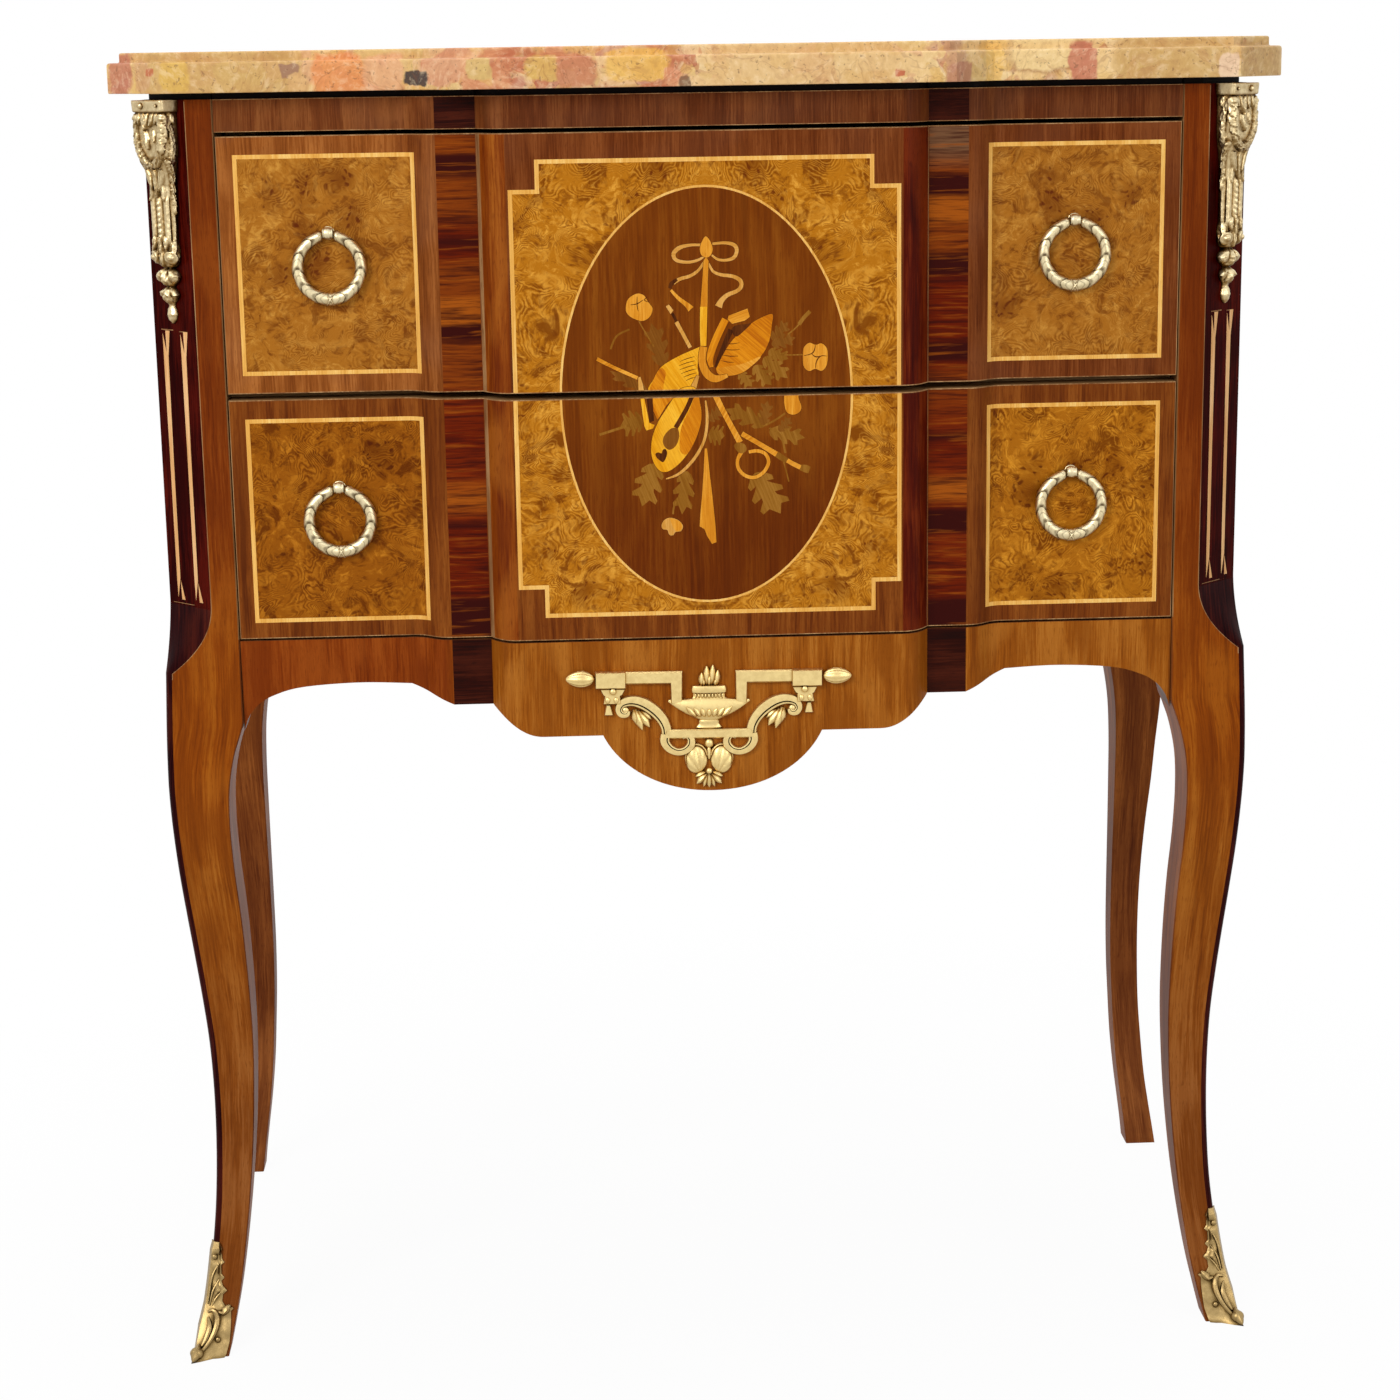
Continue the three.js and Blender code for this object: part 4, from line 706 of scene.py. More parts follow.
# Burrs: deep, dark, middle and light tones, strength and shades
BURRS = {
    "burl_upper": ("burr_upper", ((88, 30, 4), (116, 60, 8), (164, 102, 28), (198, 139, 56)), 0.8, ()),
    "burl_lower": ("burr_lower", ((72, 22, 0), (98, 44, 0), (144, 80, 8), (184, 115, 26)), 1.0,
                   (("X", 0.1, 0.16, (1.36, 1.56, 1.9)),)),
    "burl_middle": ("burr_centre", ((96, 34, 0), (122, 62, 2), (178, 110, 18), (222, 157, 56)), 1.0, ()),
}

KINGWOOD_TONES = {"D": (52, 8, 4), "R": (98, 24, 0), "B": (122, 52, 6), "C": (112, 34, 2),
                  "O": (156, 78, 14),
                  "G": (112, 76, 50)}

# Gilding: tones, reach in metres of the patina and painted shade in its hollows, the tones' stops, and a
# pattern cut into it, darkened with patina and painted shade
GILDINGS = {
    "gilt": ("gilt_bronze", ((72, 44, 14), (176, 138, 74), (234, 208, 144))),
    "chute_gilt": ("worn_gilt", ((44, 26, 8), (140, 108, 60), (250, 232, 186)), 0.0036, (0.28, 0.64, 0.98)),
    "shoe_gilt": ("dull_gilt", ((38, 24, 8), (110, 86, 46), (172, 146, 98)), 0.003, (0.24, 0.6, 1.0)),
    "ring_gilt": ("pale_gilt", ((78, 58, 34), (168, 144, 100), (238, 224, 184)), 0.004, (0.2, 0.56, 0.98),
                  laurel_groove_patina_and_shade),
    "bead_gilt": ("bead_gilt", ((64, 46, 26), (160, 138, 98), (228, 214, 176)), 0.003),
}


def make_materials():
    m = {}

    def new(key, name):
        m[key] = bpy.data.materials.new(name)
        return m[key]

    for key, (name, tones, options) in WOODS.items():
        grained(new(key, name), tones, **options)
    for key, (name, *looks) in BURRS.items():
        burl(new(key, name), *looks)
    for key, bands in (("kingwood_left", KINGWOOD_LEFT), ("kingwood_right", KINGWOOD_RIGHT)):
        banded(new(key, key), KINGWOOD_TONES, bands)
    for key, (name, *looks) in GILDINGS.items():
        gilt(new(key, name), *looks)
    plain(new("fillet", "ebonised_fillet"), (16, 9, 7))
    plain(new("steel", "screw_brass"), (150, 128, 84), 0.4, 1.0)
    marble(new("marble", "breccia_marble"))
    return m


# Front surface


def front_profile():
    """Half of the breakfront in plan, from the middle outwards, as x and y."""
    nosing = bezier((NOSING_EDGE, -STEP_FORWARD), (NOSING_EDGE - 4.375, -20.0), (130.75, -BREAK_FORWARD),
                    (CENTRE_HALF, -BREAK_FORWARD), 14)
    middle = (STRIP_EDGE + SWELL_EDGE) / 2
    swell = bezier((SWELL_EDGE, 0.0), (middle, 0.0), (middle, -STEP_FORWARD), (STRIP_EDGE, -STEP_FORWARD),
                   14)
    return [(0.0, -BREAK_FORWARD)] + nosing[::-1] + swell[::-1] + [(OPENING_HALF + 1.0, 0.0)]


PROFILE = front_profile()
PROFILE_X = np.array([p[0] for p in PROFILE])
PROFILE_Y = np.array([p[1] for p in PROFILE])


def front_y(x):
    return float(np.interp(abs(x), PROFILE_X, PROFILE_Y))


def front_point(x, z, lift):
    """A point on the front surface, lifted off it along its normal."""
    side = 1.0 if x >= 0 else -1.0
    away = abs(x)
    slope = (front_y(min(away + 0.4, OPENING_HALF)) - front_y(max(away - 0.4, 0.0))) / 0.8
    if abs(away - NOSING_EDGE) < 0.05:
        slope = 0.0
    normal = Vector((slope, -1.0)).normalized()
    return place(x + side * normal.x * lift, front_y(x) + normal.y * lift, z)


FRONT_CUTS = [0.0] + [side * x for x, _ in PROFILE[1:-1] for side in (-1.0, 1.0)]


def signed_area(outline):
    return sum(a[0] * b[1] - b[0] * a[1] for a, b in zip(outline, outline[1:] + outline[:1])) / 2


def partition(outline, regions, cuts, low, high):
    """Cuts the outline along every region's edge. Returns points, triangles and each one's region."""
    points, edges, loops = [], [], []

    def add_loop(loop):
        start = len(points)
        points.extend(Vector(p) for p in (loop if signed_area(loop) > 0 else loop[::-1]))
        loops.append(list(range(start, start + len(loop))))

    add_loop(outline)
    for region in regions:
        add_loop(region["outline"])
    for x in cuts:
        start = len(points)
        points.extend((Vector((x, low - 1.0)), Vector((x, high + 1.0))))
        edges.append((start, start + 1))
    verts, _, faces, _, _, sources = geometry.delaunay_2d_cdt(points, edges, loops, 1, 1e-4, True)
    out_faces, out_regions = [], []
    for face, source in zip(faces, sources):
        if 0 in source:
            out_faces.append(list(face))
            out_regions.append(max(source) - 1)
    return verts, out_faces, out_regions


def grain_uv(x, z, region):
    """Grain coordinates in metres: U across the grain and V along it."""
    angle = math.radians(region.get("grain", 0.0))
    if region.get("mirror"):
        x = abs(x)
    u = x * math.cos(angle) - z * math.sin(angle)
    v = x * math.sin(angle) + z * math.cos(angle)
    offset = region.get("seed", 0.0)
    return (u * MM + offset * 0.37, v * MM + offset * 0.53)


def veneer(name, outline, regions, surface, m, cuts=(), lift=VENEER, depth=VENEER, edge="worn", flip=False,
           body="case", nodes=()):
    """A skin parted into flush pieces of wood. surface(x, z, lift) gives a point in the frame."""
    low, high = min(p[1] for p in outline), max(p[1] for p in outline)
    verts, faces, owners = partition(outline, regions, cuts, low, high)
    names = sorted({r["wood"] for r in regions} | {edge})
    worn_edge = {"wood": edge}
    owned = [regions[owner] if owner >= 0 else worn_edge for owner in owners]
    slots = [names.index(r["wood"]) for r in owned]
    uvs = [[grain_uv(verts[c].x, verts[c].y, r) for c in face] for face, r in zip(faces, owned)]
    skin = Skin()
    skin.add([surface(v.x, v.y, lift) for v in verts], faces, slots, uvs)
    rim(skin, verts, faces, surface, lift - depth, names.index(edge))
    if flip:
        skin.faces = [face[::-1] for face in skin.faces]
        skin.uvs = [uv[::-1] for uv in skin.uvs]
    finish_piece(skin.make(name, [m[n] for n in names]), body, "veneered_wood", *nodes)


def rim(skin, verts, faces, surface, lift, slot):
    """Closes a skin's open edge back to the surface that it lies on."""
    count = {}
    for face in faces:
        for a, b in zip(face, face[1:] + face[:1]):
            count[(a, b)] = count.get((a, b), 0) + 1
    backs = {}
    for a, b in [edge for edge in count if (edge[1], edge[0]) not in count]:
        for corner in (a, b):
            if corner not in backs:
                backs[corner] = skin.add([surface(verts[corner].x, verts[corner].y, lift)], [])
        skin.faces.append([b, a, backs[a], backs[b]])
        skin.slots.append(slot)
        skin.uvs.append([(verts[k].x * MM, verts[k].y * MM) for k in (b, a, a, b)])


def box_outline(x0, x1, z0, z1):
    return [(x0, z0), (x1, z0), (x1, z1), (x0, z1)]


def region(outline, wood, grain=0.0, seed=0.0, mirror=False):
    return {"outline": outline, "wood": wood, "grain": grain, "seed": seed, "mirror": mirror}


# Marquetry


def mirrored_box(side, near, far, low, high):
    """A box between two distances from the middle, on the right for side 1 and on the left for side -1."""
    return box_outline(*sorted((side * near, side * far)), low, high)


def stroke(points, width, samples=14):
    """An outline along a smooth path. width is one number, or one for each point."""
    path = smooth(points, samples)
    widths = width if isinstance(width, (list, tuple)) else [width] * len(points)
    left, right = [], []
    for (x, z), (nx, nz), (size,) in zip(path, directions_across(path),
                                         smooth([(w,) for w in widths], samples)):
        left.append((x + nx * size / 2, z + nz * size / 2))
        right.append((x - nx * size / 2, z - nz * size / 2))
    return left + right[::-1]


def acanthus(base, tip, width):
    """A leaf outline with pointed lobes on both sides."""
    lobes, lean = 3, 0.06
    bx, bz = base
    length = math.hypot(tip[0] - bx, tip[1] - bz)
    ax, az = (tip[0] - bx) / length, (tip[1] - bz) / length

    def at(along, across):
        bend = across + lean * length * along * along
        return (bx + ax * length * along - az * bend, bz + az * length * along + ax * bend)

    left, right = [at(0.0, 0.6)], [at(0.0, -0.6)]
    for lobe in range(lobes):
        share = (lobe + 0.55) / (lobes + 0.6)
        half = width / 2 * math.sin(math.pi * (0.2 + 0.62 * share))
        for side, out in ((1, left), (-1, right)):
            for further, wide in ((-0.1, 0.52), (0.05, 0.98), (0.14, 0.92), (0.1, 0.42)):
                out.append(at(share + further, side * half * wide))
    return left + [at(1.0, 0.0)] + right[::-1]


def ellipse(cx, cz, a, b, steps=96):
    return [(cx + a * math.cos(2 * math.pi * k / steps), cz + b * math.sin(2 * math.pi * k / steps))
            for k in range(steps)]


def grown(outline, amount):
    """The outline moved outwards, for the fine dark joint round an inlaid piece."""
    turn = 1.0 if signed_area(outline) > 0 else -1.0
    out = []
    count = len(outline)
    for index in range(count):
        ax, az = outline[index - 1]
        bx, bz = outline[(index + 1) % count]
        length = math.hypot(bx - ax, bz - az) or 1.0
        out.append((outline[index][0] + turn * (bz - az) / length * amount,
                    outline[index][1] - turn * (bx - ax) / length * amount))
    return out


def clipped(outline, low, high):
    """The part of an outline between two heights."""
    for limit, keep in ((low, 1.0), (high, -1.0)):
        out = []
        for a, b in zip(outline, outline[1:] + outline[:1]):
            inside_a, inside_b = (a[1] - limit) * keep >= 0, (b[1] - limit) * keep >= 0
            if inside_a:
                out.append(a)
            if inside_a != inside_b:
                t = (limit - a[1]) / (b[1] - a[1])
                out.append((a[0] + (b[0] - a[0]) * t, limit))
        outline = out
        if len(outline) < 3:
            return []
    return outline


# Width of the scorched line round an inlaid piece
INLAY_JOINT = 0.28


def trophy():
    """The musical trophy tied with a ribbon bow, as pieces from the lowest layer up."""
    pieces = []

    def inlay(outline, wood, grain=0.0, joint=INLAY_JOINT):
        seed = 1.0 + len(pieces) * 0.61
        if joint:
            pieces.append(region(grown(outline, joint), "scorched", grain, seed))
        pieces.append(region(outline, wood, grain, seed))

    for base, tip, width, wood in (
        ((40, 671), (51, 681), 9, "olive_dark"), ((40, 668), (55, 671), 9, "olive_dark"),
        ((38, 664), (50, 658), 10, "olive"), ((35, 660), (49, 646), 12, "olive"),
        ((29, 655), (39, 642), 11, "olive"), ((20, 651), (27, 641.5), 9, "olive"),
        ((-28, 656), (-33, 683), 14, "olive_dark"), ((-38, 640), (-60, 655), 9, "olive_dark"),
        ((-41, 622), (-55, 620), 17, "olive"), ((-33, 595), (-44, 569), 19, "olive"),
        ((-14, 590), (-19, 563), 14, "olive"), ((29, 588), (43, 561), 22, "olive"),
        ((36, 618), (11, 630), 13, "olive"), ((34, 618), (38, 633), 9, "olive_dark"),
        ((38, 614), (60, 608), 12, "olive"), ((0, 613), (10, 611), 14, "olive"),
        ((0, 622), (9, 628), 9, "olive_dark"), ((44, 614), (52, 622), 7, "olive_dark"),
    ):
        inlay(acanthus(base, tip, width), wood, -20.0, 0.0)
    for path, width in (
        ([(50, 674), (54, 677), (57, 680)], 0.9), ([(57, 680), (60, 684), (64, 688)], 2.4),
        ([(45, 661.5), (52, 661.2), (59, 661.3)], 0.8), ([(-68, 614), (-58, 617), (-48, 620)], 1.6),
        ([(36, 618), (42, 621), (48, 625)], 1.2), ([(38, 616), (45, 611), (48, 600)], 1.3),
        ([(46, 598), (48, 590), (50, 582)], 0.9), ([(-23, 563), (-22.5, 567), (-21, 571)], 1.2),
        ([(-60, 667), (-56, 675), (-48, 679)], 1.2), ([(-33, 668), (-40, 680), (-42, 684)], 0.8),
    ):
        inlay(stroke(path, width), "olive", 0.0, 0.0)
    bow_left = [(-3, 729.8), (-10, 729.8), (-16.5, 728.2), (-20, 724.5), (-18, 720.6), (-11, 719.4),
                (-5, 720.6), (-1.4, 722.6)]
    bow_right = [(4, 730.4), (12, 730.8), (17.4, 729.4), (19, 726), (17.2, 721.8), (12, 720.2), (7, 720.9),
                 (3.6, 723.4)]
    inlay(stroke(bow_left, [1.6, 1.8, 2.6, 2.6, 2.2, 1.8, 1.6, 1.2], 26), "cream", 90.0)
    inlay(stroke(bow_right, [1.6, 1.9, 2.4, 2.3, 2.2, 1.8, 1.6, 1.2], 26), "cream", 90.0)
    inlay(stroke([(-1.5, 719), (-5, 714.2), (-10, 711), (-16, 709.4), (-20.5, 707)],
                 [1.6, 1.8, 2, 2.2, 2.6]), "cream")
    inlay(stroke([(-18, 709), (-21.5, 706.5), (-22.6, 703.6)], [1.6, 2.6, 2.2]), "scorched", 0.0, 0.0)
    inlay(stroke([(-22, 702.6), (-17.5, 697.6), (-12.5, 693.6), (-9.8, 690.6)], [1.6, 2.2, 3.0, 4.4]),
          "amber")
    inlay(stroke([(1.5, 718.4), (4.2, 713.6), (9, 711.4), (16, 710.4), (20.6, 708), (21.6, 704.6),
                  (19, 701.4), (13, 699), (9.2, 695.6), (7.2, 691.8)],
                 [1.4, 1.7, 2, 2.2, 2.6, 2.6, 2.4, 2.6, 3.2, 4.6], 28), "cream")
    inlay([(-1.6, 720), (0, 722.6), (1.6, 720), (0.9, 708), (0.4, 690), (-0.6, 667.8), (-4.2, 667.8),
           (-4.5, 676), (-4.1, 690), (-2.7, 706)], "amber")
    inlay([(0.3, 692), (-0.6, 667.8), (-4.2, 667.8), (-4.5, 676), (-4.1, 692)], "yellow", 0.0, 0.0)
    inlay(closed_curve([(0, 735), (2.9, 731.6), (4.1, 727.2), (3, 723.6), (0.2, 722), (-2.8, 723.6),
                        (-3.8, 727.4), (-2.5, 731.6)]), "amber")
    inlay(closed_curve([(-50, 692), (-48.4, 697.6), (-43, 700.8), (-38.6, 699.6), (-36.4, 695.9),
                        (-33.5, 691.5), (-35.4, 686.4), (-40, 684), (-45.4, 685.6), (-49, 688.4)]), "amber")
    for path in ([(-47, 694), (-43, 694.6), (-39, 697)], [(-42.8, 699), (-43, 694), (-42.4, 690)],
                 [(-37, 698.6), (-38.4, 696.8), (-36.4, 695.6)]):
        inlay(stroke(path, [0.3, 0.6, 0.3], 8), "scorched", 0.0, 0.0)
    inlay(closed_curve([(59.3, 660), (60, 665.6), (63.4, 668.5), (67.3, 667.2), (71, 668), (74.2, 665),
                        (74.8, 660), (74, 654.2), (71, 651), (67, 652.3), (63, 651), (59.8, 654)]), "amber")
    for path in ([(67.2, 667), (66.4, 663.6), (64.4, 661.6), (60, 660.6)],
                 [(67.2, 652.6), (67.8, 657), (70.5, 660.2), (74.4, 660)],
                 [(64.6, 661.8), (67.2, 659.8), (70.4, 660)]):
        inlay(stroke(path, [0.3, 0.7, 0.6, 0.3][:len(path)], 8), "scorched", 0.0, 0.0)
    inlay(closed_curve([(-30.3, 556.4), (-28.4, 559.6), (-24.5, 560.8), (-19.6, 559), (-17, 555.5),
                        (-18.2, 552.2), (-21.6, 551.6), (-23.2, 549.6), (-25.6, 550), (-26.8, 553),
                        (-29.5, 553.6)]), "cream")
    inlay(closed_curve([(-24.5, 560.2), (-19.6, 558.6), (-17.4, 555.5), (-18.6, 552.6), (-21.6, 552.4),
                        (-23.6, 556)]), "amber", 0.0, 0.0)
    inlay(closed_curve([(47.4, 634), (48.5, 639), (56.4, 639), (56.4, 634.6), (58.2, 629), (57, 625.6),
                        (53.4, 624), (49.5, 625.2), (47.8, 629)]), "amber")
    inlay([(-25.3, 692.6), (-23.4, 693.8), (-20.6, 690.2), (-22.4, 688)], "cream")
    inlay(stroke([(-21.4, 688.4), (-19.6, 684.8), (-18.8, 683)], 1.8), "scorched", 0.0, 0.0)
    inlay(stroke([(-19, 683), (-15.5, 676.5), (-10.6, 667)], [2.6, 2.3, 2.3]), "cream", 30.0)
    inlay(stroke([(-68.5, 661.2), (-58, 655.6), (-43.5, 648.8)], [2.4, 2.2, 2.2]), "amber", 60.0)
    inlay([(-43.4, 649), (-41.8, 649.6), (-40.4, 645), (-39.6, 640.4), (-43.2, 640.4)], "cream")
    inlay([(-42.2, 637), (-39.8, 637), (-36.8, 620.8), (-33.6, 619.4), (-34.6, 617.2), (-38.8, 616),
           (-40, 619)], "yellow")
    inlay([(-38.4, 637), (-34.9, 637), (-33.8, 622), (-36.6, 621)], "scorched", 0.0, 0.0)
    inlay(stroke([(3.4, 640), (7.6, 630.6), (13.5, 619), (19.6, 607.4)], [3.8, 3.6, 3.4, 3.8]),
          "amber", 28.0)
    inlay(stroke([(20.8, 612.8), (31, 606.6), (42.4, 599.4)], [3.2, 3.0, 3.4]), "amber", 58.0)
    inlay(stroke([(42.6, 599.4), (45.4, 597.4), (49, 595.2)], [3.6, 3.8, 3.2]), "olive", 0.0, 0.0)
    inlay(stroke([(49, 595.4), (53, 593), (57.4, 590.8)], [2.8, 2.9, 3.0]), "amber", 60.0)
    inlay(stroke([(57.4, 590.8), (60.4, 590), (63, 589)], [3.6, 4.8, 4.2]), "olive", 0.0, 0.0)
    ring = [(20.5, 601.4), (18, 596.4), (18.6, 590.6), (23, 586.2), (29, 585.2), (34.6, 588.8),
            (37.4, 594.6), (35.4, 599.8), (30.4, 601.8), (25, 601.2)]
    inlay(stroke(ring, [2.6] + [2.2] * 8 + [2.0], 36), "amber")
    inlay(closed_curve([(15.8, 605.4), (18.4, 607.4), (22.6, 606), (23.6, 602.6), (21, 600.4),
                        (18, 601.6)]), "olive", 0.0, 0.0)
    inlay(closed_curve([(-36, 640), (-33.6, 648), (-29, 655.2), (-20, 660.8), (-10, 665.2), (-3.8, 667),
                        (-5.6, 660), (-6.2, 655), (-5.8, 650), (-8.5, 645), (-12.8, 640)]), "yellow", -35.0)
    inlay(closed_curve([(-36, 640), (-33.6, 648), (-29.4, 654.6), (-26, 652), (-27.4, 645), (-28.5, 640)]),
          "orange", -35.0, 0.0)
    for start, end in (((-17, 658.6), (-8, 661.4)), ((-17.6, 656), (-7.6, 658.8)),
                       ((-17.4, 653.4), (-7, 656.4)), ((-16.4, 651), (-7, 653.8)),
                       ((-15, 648.8), (-7.2, 651.2)), ((-13.6, 646.6), (-7.6, 648.6))):
        middle = ((start[0] + end[0]) / 2, (start[1] + end[1]) / 2 + 0.3)
        inlay(stroke([start, middle, end], [0.25, 0.5, 0.25], 6), "scorched", 0.0, 0.0)
    inlay(closed_curve([(40.6, 686.6), (40.2, 680), (39, 672), (35.6, 664), (29, 656.4), (21.6, 650.8),
                        (13, 649), (7, 650), (5.4, 654.6), (9.6, 662), (14, 669), (20.4, 676), (28, 681.6),
                        (34, 684.8)]), "orange", -50.0)
    inlay(closed_curve([(33, 660.6), (27.6, 655), (20.6, 650.6), (13, 649), (7, 650), (6.6, 653.4),
                        (13, 655), (22, 656.4)]), "amber", -50.0, 0.0)
    for start, end in (((11, 669), (20, 669.4)), ((10, 665.6), (20, 665.2)), ((9.2, 662), (19, 661.2)),
                       ((8.6, 658.6), (16.6, 657.4))):
        middle = ((start[0] + end[0]) / 2, (start[1] + end[1]) / 2 - 0.4)
        inlay(stroke([start, middle, end], [0.25, 0.5, 0.25], 6), "scorched", 0.0, 0.0)
    inlay(closed_curve([(15, 677.4), (18, 680.2), (24, 680.8), (27.4, 681.2), (24, 677.6), (18, 673.2)]),
          "scorched", 0.0, 0.0)
    inlay(stroke([(4.8, 654.4), (9, 664.4), (14.8, 677.6)], [1.6, 2.8, 3.4]), "scorched", 0.0, 0.0)
    inlay(stroke([(-2.2, 667.4), (-3.4, 659), (-0.8, 651.2), (4.6, 647.4), (12.4, 649.2)],
                 [4.6, 4.6, 5, 4.6, 2.0], 18), "amber", 0.0)
    inlay(stroke([(11.6, 684), (7.4, 676), (3.6, 667.4), (1.6, 660.4), (2.4, 654.6)],
                 [4.6, 4.6, 4.6, 4.2, 2.4], 18), "orange", 24.0)
    inlay([(13.4, 686.2), (19, 688.2), (25.2, 690.4), (26.6, 685.2), (23.4, 683), (15.6, 681.2),
           (12.8, 684)], "amber", 70.0)
    inlay([(-6.8, 650), (-5.2, 649.4), (-7.6, 640), (-12.2, 640)], "cream", 0.0)
    lute = closed_curve([(-8, 642), (-5, 632), (-4.2, 624.6), (-5.5, 617), (-9, 608), (-14, 600),
                         (-20, 593.6), (-26, 590), (-30.8, 590.6), (-34.6, 596), (-36, 603), (-35, 612),
                         (-31.4, 621), (-26, 629.4), (-20, 638), (-16, 642)])
    inlay([(-34.4, 640), (-18, 640), (-26, 631.4), (-31.6, 622.6), (-34.2, 628)], "orange", -20.0)
    inlay(lute, "yellow", -25.0)
    inlay(closed_curve([(-7, 640), (-5, 632), (-4.2, 624.6), (-5.5, 617), (-9, 608), (-13.6, 600.8),
                        (-17.4, 602), (-18.2, 608), (-16.8, 618), (-11.4, 629)]), "orange", -25.0, 0.0)
    inlay(stroke([(-8.4, 641), (-13, 630), (-20.4, 617.4)], [2.8, 2.8, 3.0]), "scorched", 0.0, 0.0)
    inlay(closed_curve([(-19, 616.6), (-18.4, 611.4), (-20.6, 606), (-24.6, 603.6), (-28, 606.4),
                        (-28.4, 611), (-25.4, 615.4), (-22, 617.4)]), "olive_dark", 0.0, 0.0)
    inlay(closed_curve([(-27, 604.2), (-26, 601.6), (-27.2, 597.8), (-29, 596), (-32.4, 598.6),
                        (-33.4, 601.2), (-31.6, 602.2), (-29.6, 601.6), (-28.8, 603.6)]),
          "scorched", 0.0, 0.0)
    inlay(stroke([(-1.6, 634), (-0.8, 626), (-1.1, 617), (-3.2, 608), (-8, 599.4), (-14, 592.4),
                  (-20, 587.8), (-27, 585.4)], [1.0, 1.7, 1.8, 1.8, 1.9, 1.9, 1.6, 0.8], 22), "cream", 0.0)
    inlay([(-2.6, 604), (-1, 604), (0.4, 588), (2.1, 572), (3.5, 556), (4, 544.6), (1.2, 543.5),
           (-1.8, 548.6), (-3.4, 553), (-6.5, 555), (-5.9, 562), (-4.6, 575), (-3.4, 590)], "amber")
    return pieces


def clip_regions(regions, low, high):
    out = []
    for piece in regions:
        outline = clipped(piece["outline"], low, high)
        if len(outline) >= 3:
            out.append({**piece, "outline": outline})
    return out


def frame_regions(side, near, far, low, high, width, wood, inner):
    """A line of stringing as two layers: its outer outline, and on it the field inside."""
    return [region(mirrored_box(side, near, far, low, high), wood, 0.0, 0.3),
            region(mirrored_box(side, near + width, far - width, low + width, high - width), *inner)]


def notched(half, notch_half, top, shoulder, low):
    return [(-half, low), (half, low), (half, shoulder), (notch_half, shoulder), (notch_half, top),
            (-notch_half, top), (-notch_half, shoulder), (-half, shoulder)]


def side_regions(side, low, high, seed):
    """The kingwood strip, a pale line and the nosing on one side of the centre, over the given heights."""
    word = "left" if side < 0 else "right"
    # width of the pale line beside the nosing, wider on the left than on the right
    worn = 2.6 if side < 0 else 0.9
    return [region(mirrored_box(side, CENTRE_HALF, NOSING_EDGE, low, high), "nosing_" + word, 0.0, seed),
            region(mirrored_box(side, NOSING_EDGE - worn, NOSING_EDGE, low, high), "worn", 0.0, seed),
            region(mirrored_box(side, NOSING_EDGE + 0.3, STRIP_EDGE, low, high), "kingwood_" + word)]


# The centre panel's outer and inner outline: half width, half width of its neck, end and shoulder
UPPER_NOTCHES = ((120.6, 104.0, 783.0, 765.0), (118.0, 101.4, 780.4, 762.4))

LOWER_NOTCHES = ((120.9, 104.5, -498.7, -517.0), (118.3, 101.9, -501.3, -519.6))

OVAL_MIDDLE = (-0.8, 636.3)


def drawer_regions(low, high, panel_low, panel_high, upper):
    """The drawer front's veneers, from the lowest layer up."""
    edge = 0.55
    seed, border, burr = (1.0, "border", "burl_upper") if upper else (5.0, "border_low", "burl_lower")
    layers = [region(box_outline(-BORDER_HALF, BORDER_HALF, low + edge, high - edge), border, 0.0, seed),
              region(box_outline(-CENTRE_HALF, CENTRE_HALF, low + edge, high - edge), border, 0.0, seed + 2)]
    for side in (-1, 1):
        layers += side_regions(side, low + edge, high - edge, seed + 3 + side)
        layers += frame_regions(side, *PANEL_EDGES, panel_low, panel_high, STRINGING, "stringing",
                                (burr, 0.0, seed + 7 + side))
    if upper:
        outer, inner = (notched(*sizes, low - 2) for sizes in UPPER_NOTCHES)
    else:
        outer, inner = ([(x, -z) for x, z in notched(*sizes, -(high + 2))][::-1] for sizes in LOWER_NOTCHES)
    middle = [region(outer, "stringing", 0.0, seed), region(inner, "burl_middle", 0.0, 11.0, True),
              region(ellipse(*OVAL_MIDDLE, 91.3, 129.9), "stringing", 0.0, seed),
              region(ellipse(*OVAL_MIDDLE, 89.9, 128.5), "ground", 0.0, 13.0)]
    return layers + clip_regions(middle + trophy(), low + edge, high - edge)


def add_drawer_fronts(m):
    for name, (low, high), panel, upper in (("upper_drawer", UPPER_DRAWER, UPPER_PANEL, True),
                                            ("lower_drawer", LOWER_DRAWER, LOWER_PANEL, False)):
        outline = box_outline(-FRONT_HALF, FRONT_HALF, low + 0.05, high - 0.05)
        layers = drawer_regions(low + 0.05, high - 0.05, *panel, upper)
        veneer(name + "_veneer", outline, layers, front_point, m, FRONT_CUTS, body=name)


def plain_front(wood, strip_seed, low, high, seeds, half):
    """Veneers of the frieze and the apron: the sides, the centre and a dark strip at each nosing."""
    layers = [region(box_outline(-half, half, low, high), wood, 0.0, seeds[0]),
              region(box_outline(-NOSING_EDGE, NOSING_EDGE, low, high), wood, 0.0, seeds[1])]
    for side in (-1, 1):
        strip = mirrored_box(side, NOSING_EDGE, STRIP_EDGE, low, high)
        layers.append(region(strip, "strip_dark", 90.0, strip_seed + side))
    return layers


def add_frieze(m):
    low, high = FRIEZE_Z + 0.05, RECESS_Z - 0.05
    layers = plain_front("frieze", 6, low + 0.4, high - 0.4, (3.0, 4.0), 300.0)
    veneer("frieze_veneer", box_outline(-FRIEZE_HALF, FRIEZE_HALF, low, high), layers, front_point, m,
           FRONT_CUTS)


